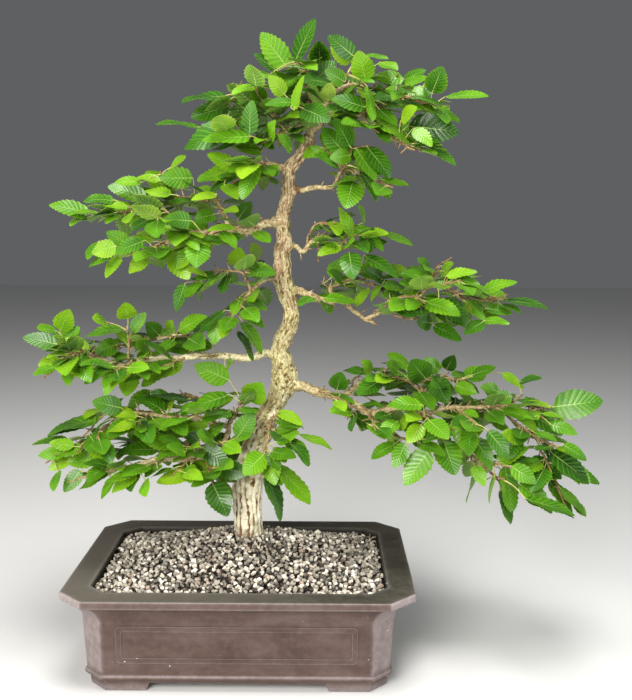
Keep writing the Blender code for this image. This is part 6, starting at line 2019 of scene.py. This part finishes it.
    def foot(self, heap: Heap, right: int, back: int) -> None:
        """Add one corner foot with softened edges.

        Args:
            heap: where it goes.
            right: 1 for a foot on the right, -1 for one on the left.
            back: 1 for a foot behind, -1 for one in front.
        """
        outline = self.foot_outline
        mesh = bmesh.new()
        lower = [mesh.verts.new((right * x, back * y, 0.0)) for x, y, _, _ in outline]
        round_it = [mesh.edges.new(pair) for pair in zip(lower, lower[1:] + lower[:1])]
        face = bmesh.ops.edgeloop_fill(mesh, edges=round_it)["faces"][0]
        upper = bmesh.ops.extrude_discrete_faces(mesh, faces=[face])["faces"][0]
        for vert in upper.verts:
            here = (abs(vert.co.x), abs(vert.co.y))
            x, y, grow_x, grow_y = min(outline, key=lambda spot: math.dist(spot[:2], here))
            vert.co = Vector((right * (x + grow_x), back * (y + grow_y), self.foot_height + 2.0))
        bmesh.ops.edgeloop_fill(mesh, edges=[edge for edge in mesh.edges if edge.is_boundary])
        bmesh.ops.recalc_face_normals(mesh, faces=mesh.faces)
        bmesh.ops.bevel(mesh, geom=mesh.edges[:], offset=1.1, offset_type="OFFSET", segments=2, profile=0.5,
                        affect="EDGES", material=-1)
        bmesh.ops.recalc_face_normals(mesh, faces=mesh.faces)
        wear_and_painted_light = [0.5 if abs(vert.normal.z) < 0.6 and vert.co.z < 4 else 0.0 for vert in mesh.verts]
        blank = Blank.cut_from(mesh)
        heap.add(blank, blank.corners, np.array(wear_and_painted_light), 0.0)

    def build(self) -> bpy.types.Object:
        """Build the pot.

        Returns:
            The finished piece, which stands for the pot's solid.
        """
        heap = Heap("clay_pot")
        self.shell(heap)
        pot = heap.build([ClayFinish().make()], sharp=50.0)
        for side in (-1, 1):
            self.drill(pot, PLACE + Vector((side * self.drain_spacing / 2 * MM, 0, self.floor_top * MM)))
        return pot

    def trim(self) -> bpy.types.Object:
        """Build the panel frames and the corner feet.

        Returns:
            The finished piece, which stands for the pot's solid too.
        """
        heap = Heap("pot_frames_and_feet")
        for facing, sign in itertools.product((0, 1), (-1, 1)):
            self.panel_frame(heap, facing, sign)
        for right, back in itertools.product((-1, 1), (-1, 1)):
            self.foot(heap, right, back)
        return heap.build([ClayFinish().make()], sharp=35.0)

    def drill(self, pot: bpy.types.Object, middle: Vector) -> None:
        """Cut one drain hole.

        Args:
            pot: the finished pot.
            middle: the hole's middle, in metres.
        """
        mesh = bmesh.new()
        bmesh.ops.create_cone(mesh, cap_ends=True, segments=48, radius1=self.drain_diameter / 2 * MM,
                              radius2=self.drain_diameter / 2 * MM, depth=60 * MM)
        bmesh.ops.translate(mesh, verts=mesh.verts, vec=middle)
        data = bpy.data.meshes.new("drill")
        mesh.to_mesh(data)
        mesh.free()
        drill = bpy.data.objects.new("drill", data)
        bpy.context.scene.collection.objects.link(drill)
        cut = pot.modifiers.new("Drain", "BOOLEAN")
        cut.operation = "DIFFERENCE"
        cut.object = drill
        graph = bpy.context.evaluated_depsgraph_get()
        graph.update()
        pot.data = bpy.data.meshes.new_from_object(pot.evaluated_get(graph))
        pot.modifiers.clear()
        bpy.data.objects.remove(drill, do_unlink=True)


@dataclass
class GritBed:
    """The dark soil that fills the pot and the grit that covers it."""

    pot: Pot
    edge_height: float = 93.5
    mound: float = 27.0
    mound_reach: float = 150.0
    mound_edge: float = 45.0
    edge_rise: float = 3.0
    edge_reach: float = 12.0
    wall_gap: float = 0.4
    cover: float = 3.4
    layers: tuple[tuple[float, float], ...] = ((-3.8, 5.0), (-0.5, 5.1))
    common_size: tuple[float, float] = (5.6, 1.1)
    size_limits: tuple[float, float] = (3.6, 7.0)
    large_size: tuple[float, float] = (7.5, 11.0)
    large_flatness: float = 0.45
    large_share: float = 0.04
    tumble: float = 0.55
    trunk_room: float = 15.5

    def __post_init__(self) -> None:
        """Seed the stones' draws."""
        self.draw = random.Random("grit")

    def height(self, across: float, along: float) -> float:
        """Measure the grit's surface, a low mound round the trunk.

        Args:
            across: how far right of the pot's middle.
            along: how far behind it.

        Returns:
            Its height there.
        """
        foot = math.hypot(across - TRUNK_FOOT[0], along - TRUNK_FOOT[1])
        half_x, half_y = self.pot.inside_half(self.edge_height, 0.0)
        to_edge = min(half_x - abs(across), half_y - abs(along))
        mound = self.mound * (1.0 - min(1.0, foot / self.mound_reach)) ** 0.85
        level = self.edge_height + self.edge_rise * min(1.0, 0.4 + to_edge / self.edge_reach)
        return min(level + mound * min(1.0, max(0.0, to_edge) / self.mound_edge), GRAVEL_TOP + 1.0)

    def soil(self) -> bpy.types.Object:
        """Build the soil as one closed body, a little below the grit's surface.

        Returns:
            The finished piece, which stands for the gravel's solid.
        """
        low = self.pot.floor_top + 2.2
        low_x, low_y = self.pot.inside_half(low, self.wall_gap + 2.2)
        side_top = self.edge_height - self.cover
        top_x, top_y = self.pot.inside_half(side_top, self.wall_gap)
        loops = [canted_loop(low_x, low_y, self.pot.inside_cant, low),
                 canted_loop(top_x, top_y, self.pot.inside_cant, side_top)]
        for share in (0.97, 0.9, 0.8, 0.7, 0.6, 0.5, 0.4, 0.3, 0.2, 0.1):
            loop = canted_loop(top_x * share, top_y * share, self.pot.inside_cant * share, 0.0, 2.0 * share)
            for spot in loop:
                spot[2] = self.height(spot[0], spot[1]) - self.cover
            loops.append(loop)
        blank, corners, _, _ = loft(loops, low, self.height(0, 0) - self.cover)
        heap = Heap("soil")
        heap.add(blank, corners)
        return heap.build([SOIL.make()], sharp=40.0)

    def is_inside(self, across: float, along: float, reach: float) -> bool:
        """Tell whether a stone lies clear of the pot's walls and of the trunk.

        Args:
            across: how far right of the pot's middle.
            along: how far behind it.
            reach: how far the stone reaches from its middle.

        Returns:
            Whether it is clear.
        """
        half_x, half_y = self.pot.inside_half(self.edge_height, reach)
        room_x, room_y = half_x - abs(across), half_y - abs(along)
        on_trunk = math.hypot(across - TRUNK_FOOT[0], along - TRUNK_FOOT[1]) < self.trunk_room
        return room_x > 0 and room_y > 0 and room_x + room_y > self.pot.inside_cant - 2 and not on_trunk

    def grit(self) -> bpy.types.Object:
        """Strew thousands of angular stones in two layers.

        Returns:
            The finished piece, which stands for the gravel's solid too.
        """
        heap = Heap("grit")
        half_x, half_y = self.pot.inside_half(self.edge_height, 0.0)
        for layer, (lift, spacing) in enumerate(self.layers):
            rows, columns = (range(int(2 * half / spacing) + 1) for half in (half_y, half_x))
            for row, column in itertools.product(rows, columns):
                across = -half_x + spacing * (column + self.draw.uniform(-0.1, 1.1))
                along = -half_y + spacing * (row + self.draw.uniform(-0.1, 1.1))
                self.stone(heap, across, along, lift, layer == len(self.layers) - 1)
        return heap.build([StoneFinish().make()])

    def stone(self, heap: Heap, across: float, along: float, lift: float, on_top: bool) -> None:
        """Add one stone, turned and tinted on its own, unless it would touch the pot or the trunk.

        Args:
            heap: where it goes.
            across: how far right of the pot's middle.
            along: how far behind it.
            lift: how far its layer lies above the surface.
            on_top: whether it is in the top layer, and not one of the stones under it, which are painted near
                black as painted shade.
        """
        draw = self.draw
        size = min(self.size_limits[1], max(self.size_limits[0], draw.gauss(*self.common_size)))
        flat = draw.uniform(0.75, 1.0)
        if on_top and draw.random() < self.large_share * (1.6 if across > 0 else 0.5):
            size, flat = draw.uniform(*self.large_size), self.large_flatness
        if not self.is_inside(across, along, size * 0.3):
            return
        height = self.height(across, along) + lift + draw.uniform(-0.9, 0.9)
        turn = (Matrix.Rotation(draw.uniform(0, 2 * math.pi), 3, "Z")
                @ Matrix.Rotation(draw.gauss(0, self.tumble), 3, "X")
                @ Matrix.Rotation(draw.gauss(0, self.tumble), 3, "Y"))
        blank = stone_blank(draw.randrange(14))
        grown = blank.corners * (size * draw.uniform(0.95, 1.15), size * 0.95, size * flat)
        # Painted shade: the stones of the lower layer are painted near black, with little dust, to stand for
        # the shade between the top stones
        kind = draw.random() if on_top else draw.uniform(0.0, 0.05)
        dust = draw.random() * (1.0 if on_top else 0.15)
        heap.add(blank, grown @ np.array(turn).T + (across, along, height), kind, dust)


@dataclass
class Trunk:
    """The fluted trunk with its burl and a flared collar for every branch."""

    branches: list[Branch]
    plug_bottom: float = 80.5
    plug_top: float = 102.5
    plug_diameter: float = 32.0
    sides: int = 120
    step: float = 1.2
    flutes: int = 14
    groove_depth: tuple[float, float] = (1.7, 1.0)
    collar_flare: float = 0.9
    knot_rise: float = 2.2
    knot_reach: float = 10.0
    burl_pixel: tuple[float, float] = (289.0, 381.0)
    burl_nearness: float = 12.0
    burl_reach: float = 20.0
    burl_rise: float = 2.0

    def share_of_height(self, place: Vector) -> float:
        """How far up the trunk a place is, from nought at the gravel to one at the top."""
        return min(1.0, max(0.0, (place.z - GRAVEL_TOP) / (self.top - GRAVEL_TOP)))

    def relief(self, centre: Vector, out: Vector, radius: float) -> tuple[float, float]:
        """The bark's height above the smooth trunk and its shade.

        Args:
            centre: the trunk's middle there.
            out: the direction away from it.
            radius: the smooth trunk's radius.

        Returns:
            A rise in millimetres and a tone from nought in a groove to one on a ridge.
        """
        spot = out * radius + Vector((0.0, 0.0, centre.z))
        share = self.share_of_height(centre)
        turn = math.atan2(out.y, out.x)
        ring = Vector((math.cos(turn), math.sin(turn), 0.0))
        upper = min(1.0, 2.5 * share)
        sway = 0.7 * noise.noise(ring * 1.5 + Vector((0.0, 0.0, centre.z / 36.0)))
        jag = (0.18 + 0.34 * upper) * noise.noise(ring * 4.0 + Vector((0.0, 0.0, centre.z / 7.0)))
        nick = (0.08 + 0.22 * upper) * noise.noise(ring * 8.0 + Vector((0.0, 0.0, centre.z / 2.4)))
        flute = turn * (self.flutes - 5.0 * share) / (2 * math.pi) + sway + jag + nick
        gap = abs(2.0 * (flute % 1.0) - 1.0)
        broken = noise.noise(ring * 3.0 + Vector((5.0, 0.0, centre.z / (30.0 - 24.0 * upper))))
        wide = 0.44 - 0.08 * upper + 0.30 * noise.noise(ring * 3.0 + Vector((9.0, 0.0, centre.z / 9.0)))
        depth_left = min(1.0, max(0.70 - 0.55 * upper, 1.0 - 0.4 * upper + 1.6 * broken))
        groove = math.exp(-(gap / wide) ** 2) * depth_left
        crack = math.exp(-(noise.noise(Vector((spot.x, spot.y, spot.z / 2.0)) / 2.4) / 0.12) ** 2)
        groove = max(groove, (0.12 + 0.50 * upper) * crack)
        crumb = noise.noise(spot / 1.7)
        lump = noise.noise(spot / 12.0) * 0.9 + noise.noise(spot / 6.0) * (0.3 + 1.4 * min(1.0, 2.0 * share))
        low, high = self.groove_depth
        depth = low + (high - low) * share
        rise = -depth * groove + lump + 0.35 * crumb + 0.5 * noise.noise(spot / 3.2)
        surface = centre + out * radius
        collars = (branch.collar.points for branch in self.branches)
        knots = ((surface - points[0].lerp(points[-1], 0.8)).length for points in collars)
        rise += self.knot_rise * max(math.exp(-(away / self.knot_reach) ** 2) for away in knots)
        tone = 1.0 - groove + 0.22 * crumb + 0.15 * noise.noise(spot / 5.0)
        burl = math.exp(-((surface - self.burl).length / self.burl_reach) ** 4)
        pits = max(0.0, noise.noise(surface / 2.5) - 0.26) * 6.0
        rise += burl * (self.burl_rise * noise.noise(surface / 4.0) - pits + 0.3)
        tone += burl * (0.35 * (1.0 - tone) - min(1.0, 1.2 * pits))
        return rise, min(1.0, max(0.0, tone))

    def skin(self, heap: Heap, stem: Stem, sides: int, grip: float = 1.0) -> None:
        """Add a stem covered with bark.

        Args:
            heap: where it goes.
            stem: the smooth stem.
            sides: how many sides it has.
            grip: how much of the relief it takes.
        """
        blank, corners, ring = stem.tube(sides)
        last = ring.max()
        tones, chances = np.empty(len(corners)), np.empty(len(corners))
        for index, (corner, one_ring) in enumerate(zip(corners, ring)):
            spot = min(max(one_ring - 1, 0), len(stem.places) - 1)
            centre = Vector(stem.places[spot])
            out = Vector(corner) - centre
            if one_ring in (0, last):
                tones[index], chances[index] = 0.5, self.share_of_height(centre)
                continue
            radius = out.length
            out.normalize()
            rise, tone = self.relief(centre, out, radius)
            corners[index] = centre + out * (radius + rise * grip)
            tones[index], chances[index] = tone, self.share_of_height(centre)
        heap.add(blank, corners, tones, chances)

    def build(self) -> bpy.types.Object:
        """Build the trunk.

        Returns:
            The finished piece, which stands for the trunk's solid.
        """
        line = trunk_points()
        self.top = line[-1].z
        column, row = self.burl_pixel
        self.burl = photo_point(column, row, trunk_depth(row) - self.burl_nearness)
        radii = [diameter / 2 for _, _, diameter in TRUNK_LINE]
        foot = Vector((*TRUNK_FOOT, GRAVEL_TOP + 0.4))
        plug = [Vector((*TRUNK_FOOT, height)) for height in (self.plug_bottom, self.plug_top)]
        stem = Stem.through(plug + [foot] + line[1:], [self.plug_diameter / 2] * 2 + radii, self.step)
        heap = Heap("trunk_bark")
        self.skin(heap, stem, self.sides)
        for branch in self.branches:
            self.collar(heap, branch)
        return heap.build([TrunkFinish().make()])

    def collar(self, heap: Heap, branch: Branch) -> None:
        """Add the flared foot of one branch.

        Args:
            heap: where it goes.
            branch: the branch.
        """
        wood = branch.collar
        stem = Stem.through(wood.points, [wood.radii[-1] * 1.06] * len(wood.points), self.step)
        if branch.name != "crown":
            steps = np.linspace(0.0, 1.0, len(stem.places))
            stem.radii = wood.radii[-1] * (1.0 + self.collar_flare * (1.0 - steps) ** 1.6)
        self.skin(heap, stem, 32, 0.6)


class Season(Enum):
    """How fresh and pale the leaves of a part of the tree are: the middle of their tones."""

    CROWN = 0.57
    UPPER = 0.58
    LOWER = 0.54
    LEFT_LOWER = 0.62
    LEFT_UPPER = 0.65
    FRONT = 0.72


@dataclass(frozen=True)
class Growth:
    """How a kind of wood grows: its curve's step, its bends, its nodes and the gaps between spurs."""

    step: float
    crook: float
    swell: float
    spur_gap: tuple[float, float]


LIMB_GROWTH = Growth(2.6, 1.5, 0.16, (1.6, 4.2))
TWIG_GROWTH = Growth(3.6, 1.9, 0.22, (2.4, 6.0))


@dataclass
class Spray:
    """A dressed branch: limbs, twigs, spurs, buds, leaf stalks and blades."""

    branch: Branch
    season: Season
    paleness: float
    bend_grain: float = 9.0
    node_spacing: tuple[float, float] = (10.0, 15.0)
    # Larger blades are darker than those of the common length, by this much a millimetre
    common_length: float = 33.0
    darkening: float = 0.009
    stems: dict[int, Stem] = field(default_factory=dict)

    def __post_init__(self) -> None:
        """Seed the looks' own draws, apart from those of the layout."""
        self.draw = random.Random("looks " + self.branch.name)

    def grow(self) -> None:
        """Turn the layout's straight sticks into smooth crooked stems that start on their carriers."""
        for index, wood in enumerate(self.branch.woods):
            points = list(wood.points)
            growth = LIMB_GROWTH if index < self.branch.limb_count else TWIG_GROWTH
            if index == 0:
                points[0:1] = [points[0] - (points[1] - points[0]).normalized() * 3.0, points[0]]
                radii = [wood.radii[0] * 0.95, wood.radii[0]] + wood.radii[1:]
            else:
                carriers = [self.stems[id(wood.carrier)]] if wood.carrier else list(self.stems.values())
                feet = [carrier.nearest(points[0]) for carrier in carriers]
                points[0] = min(feet, key=lambda foot: (foot - wood.points[0]).length)
                radii = list(wood.radii)
            stem = Stem.through(points, radii, growth.step)
            stem.crook(growth.crook, self.bend_grain)
            stem.knot(self.draw.uniform(*self.node_spacing), growth.swell, self.draw.random())
            self.stems[id(wood)] = stem

    def bud(self, heap: Heap, foot: Vector, heading: Vector, length: float) -> None:
        """Add a pointed bud.

        Args:
            heap: where it goes.
            foot: where it starts.
            heading: where it points.
            length: how long it is.
        """
        shares = np.array((0.0, 0.3, 0.65, 1.0))
        stem = Stem(np.array(foot) + np.outer(shares * length, heading),
                    np.array((0.45, 0.95, 0.75, 0.15)) * length / 4.5)
        heap.add_stem(stem, 0.5, self.draw.random(), 1)

    def spur(self, heap: Heap, stem: Stem, index: int) -> None:
        """Add a short side shoot, most often with a bud.

        Args:
            heap: where it goes.
            stem: the stem that carries it.
            index: the place on the stem.
        """
        after = stem.places[min(index + 1, len(stem.places) - 1)]
        ahead = Vector(after - stem.places[index - 1]).normalized()
        out = ahead.cross(Vector([self.draw.gauss(0, 1) for _ in range(3)])).normalized()
        aim = out + ahead * self.draw.uniform(0.1, 0.9)
        aim = (aim + Vector((0, 0, self.draw.uniform(-0.1, 0.4)))).normalized()
        reach = self.draw.uniform(1.8, 5.0) if self.draw.random() < 0.88 else self.draw.uniform(5.0, 9.0)
        foot = Vector(stem.places[index])
        middle = foot + aim * reach * 0.5 + ahead * self.draw.uniform(-1.0, 1.0)
        tip = foot + aim * (reach + float(stem.radii[index]))
        shoot = Stem.through([foot, middle, tip], [0.95, 0.8, 0.6], 2.4)
        heap.add_stem(shoot, 0.6, self.draw.random())
        if self.draw.random() < 0.7:
            self.bud(heap, tip - aim * 0.3, aim, self.draw.uniform(2.6, 4.2))

    def wood(self) -> bpy.types.Object:
        """Build the branch's wood with its spurs and buds.

        Returns:
            The finished piece, which stands for the branch's solid.
        """
        heap = Heap(f"wood_{self.branch.name}")
        for index, wood in enumerate(self.branch.woods):
            stem = self.stems[id(wood)]
            thick = float(stem.radii.max())
            sides = 12 if thick > 3.0 else 8 if thick > 1.6 else 6
            blank, corners, ring = stem.tube(sides)
            age = np.clip((stem.radii - 0.9) / 1.6, 0.0, 1.0)
            tone = age[np.clip(ring - 1, 0, len(age) - 1)]
            if thick > 1.6:
                centres = stem.places[np.clip(ring - 1, 0, len(stem.places) - 1)]
                gnarl = np.array([noise.noise(Vector(corner) / 3.0) for corner in corners])
                corners = corners + unit(corners - centres) * (gnarl * 0.16 * thick)[:, None]
            heap.add(blank, corners, tone, self.paleness + self.draw.uniform(-0.15, 0.15))
            growth = LIMB_GROWTH if index < self.branch.limb_count else TWIG_GROWTH
            spot = self.draw.uniform(2.0, 4.0)
            while spot < len(stem.places) - 2:
                if index > 0 or spot >= 4:
                    self.spur(heap, stem, int(spot))
                spot += self.draw.uniform(*growth.spur_gap)
            ahead = Vector(stem.places[-1] - stem.places[-2]).normalized()
            self.bud(heap, Vector(stem.places[-1]), ahead, self.draw.uniform(4.0, 5.6))
        return heap.build([LimbFinish().make(), BUD_SCALES.make()])

    def stalk(self, heap: Heap, leaf: Leaf) -> None:
        """Add the stalk of a leaf, from its twig to under the blade's midrib.

        Args:
            heap: where it goes.
            leaf: the leaf.
        """
        foot = self.stems[id(leaf.carrier)].nearest(leaf.root)
        reach = (leaf.base - foot).length
        middle = foot.lerp(leaf.base, 0.5) + leaf.upper * 0.08 * reach
        end = leaf.base + leaf.along * 3.0 - leaf.upper * 0.25
        points = [foot, middle, leaf.base, end]
        heap.add_stem(Stem.through(points, [0.85, 0.50, 0.52, 0.30], 3.4), 0.5, self.draw.random(), 2)

    def leaves(self) -> bpy.types.Object:
        """Build the branch's blades and their stalks.

        Returns:
            The finished piece, which stands for the branch's solid too.
        """
        heap = Heap(f"leaves_{self.branch.name}")
        draw = random.Random("tones " + self.branch.name)
        for leaf in self.branch.leaves:
            tone = self.season.value + draw.gauss(0.0, 0.19) + (0.25 if draw.random() < 0.05 else 0.0)
            tone -= self.darkening * (leaf.length - self.common_length)
            mood = LeafMood(draw.uniform(-0.25, 0.25), draw.uniform(0.0, 0.045), draw.random(),
                            min(1.0, max(0.0, tone)), draw.random())
            heap.add(CUT.blank, leaf_corners(leaf, mood), mood.tone, mood.chance)
            self.stalk(heap, leaf)
        materials = [LeafFinish(Face.UPPER).make(), LeafFinish(Face.LOWER).make(), LEAF_STALK.make()]
        return heap.build(materials, sharp=70.0)


# The branches whose leaves or limbs differ from the common ones, and how pale the limbs are
SEASONS = {"crown": Season.CROWN, "left_top": Season.UPPER, "right_top": Season.UPPER,
           "left_upper": Season.LEFT_UPPER, "right_upper": Season.UPPER, "front_low": Season.FRONT,
           "left_long": Season.LEFT_LOWER, "left_low": Season.LEFT_LOWER}
PALE_LIMBS = {"left_long": 0.95, "left_low": 0.6, "right_low": 0.55}
COMMON_PALENESS = 0.3


@dataclass
class Studio:
    """The pale floor, the soft lights and the camera at the photograph's angle."""

    floor_size: float = 12.0
    floor_gap: float = 0.0002
    target: tuple[float, float, float] = (0.02, 0.0, 0.36)
    sky_strength: float = 0.12
    # Each light's name, its place from the pot's middle in metres, its size, power and colour
    lamps: tuple[tuple[str, tuple[float, float, float], float, float, Colour], ...] = (
        ("key", (-0.6, -1.7, 1.05), 1.0, 51.0, (1.0, 0.97, 0.93)),
        ("top", (0.15, -0.45, 2.0), 0.8, 31.0, (1.0, 0.99, 0.96)),
        ("fill", (1.7, -0.9, 0.8), 1.1, 19.0, (0.97, 0.98, 1.0)),
        ("side", (-1.9, -0.6, 0.7), 1.1, 10.0, (0.97, 0.98, 1.0)))

    def aim(self, spot: Vector, target: Vector) -> Matrix:
        """A placing matrix for a light at a spot that shines at a target."""
        return Matrix.Translation(spot) @ (target - spot).to_track_quat("-Z", "Y").to_matrix().to_4x4()

    def floor(self) -> None:
        """Lay the floor just under the feet."""
        mesh = bmesh.new()
        bmesh.ops.create_grid(mesh, x_segments=1, y_segments=1, size=self.floor_size / 2)
        bmesh.ops.translate(mesh, verts=mesh.verts, vec=(0, 0, -self.floor_gap))
        data = bpy.data.meshes.new("floor")
        mesh.to_mesh(data)
        mesh.free()
        data.materials.append(PALE_FLOOR.make())
        floor = bpy.data.objects.new("floor", data)
        bpy.context.scene.collection.objects.link(floor)

    def lights(self) -> None:
        """Hang four soft lights and a pale sky."""
        target = PLACE + Vector(self.target)
        for name, spot, size, power, colour in self.lamps:
            lamp = bpy.data.lights.new(name, "AREA")
            lamp.shape = "SQUARE"
            lamp.size = size
            lamp.energy = power
            lamp.color = colour
            light = bpy.data.objects.new(name, lamp)
            light.matrix_world = self.aim(PLACE + Vector(spot), target)
            bpy.context.scene.collection.objects.link(light)
        world = bpy.data.worlds.new("pale_sky")
        world.use_nodes = True
        sky = world.node_tree.nodes["Background"]
        sky.inputs["Color"].default_value = (0.95, 0.97, 1.0, 1.0)
        sky.inputs["Strength"].default_value = self.sky_strength
        bpy.context.scene.world = world
        bpy.context.scene.view_settings.view_transform = "Standard"

    def camera(self) -> None:
        """Set up the camera where the photograph was taken from."""
        lens = bpy.data.cameras.new("camera")
        lens.sensor_width = SENSOR_MM
        lens.lens = FOCAL_PIXELS / FRAME_HEIGHT * SENSOR_MM
        camera = bpy.data.objects.new("camera", lens)
        turn = Matrix((VIEW_RIGHT, VIEW_UP, -VIEW_AHEAD)).transposed().to_4x4()
        camera.matrix_world = Matrix.Translation(PLACE + EYE * MM) @ turn
        bpy.context.scene.collection.objects.link(camera)
        bpy.context.scene.camera = camera


def keep(piece: bpy.types.Object, slot: str, *nodes: str) -> None:
    """Tie a finished piece to the frame and report it.

    Args:
        piece: the piece.
        slot: its slot, which is not used.
        nodes: the nodes that it stands for.
    """
    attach(piece, "root")
    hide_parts(*nodes)
    log.info("%s: %d faces, stands for %s", piece.name, len(piece.data.polygons), ", ".join(nodes))


# Blender starts its vector noise, which bends the twigs, from the time of day unless it has a seed
BEND_SEED = 1


def main() -> None:
    """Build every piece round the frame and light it."""
    logging.basicConfig(level=logging.INFO, format="%(message)s")
    noise.seed_set(BEND_SEED)
    branches = lay_out_tree()
    log.info("layout: %d leaves", sum(len(branch.leaves) for branch in branches))
    pot = Pot()
    keep(pot.build(), "clay", "pot")
    keep(pot.trim(), "clay", "pot")
    bed = GritBed(pot)
    keep(bed.soil(), "gravel", "gravel")
    keep(bed.grit(), "gravel", "gravel")
    plastic = SCREEN_PLASTIC.make()
    for name in ("drain_screen_left", "drain_screen_right"):
        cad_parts[name].data.materials.clear()
        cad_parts[name].data.materials.append(plastic)
    keep(Trunk(branches).build(), "bark", "trunk")
    for branch in branches:
        season = SEASONS.get(branch.name, Season.LOWER)
        spray = Spray(branch, season, PALE_LIMBS.get(branch.name, COMMON_PALENESS))
        spray.grow()
        keep(spray.wood(), "bark", "branch_" + branch.name)
        keep(spray.leaves(), "foliage", "branch_" + branch.name)
    studio = Studio()
    studio.floor()
    studio.lights()
    studio.camera()


if __name__ == "__main__":
    main()
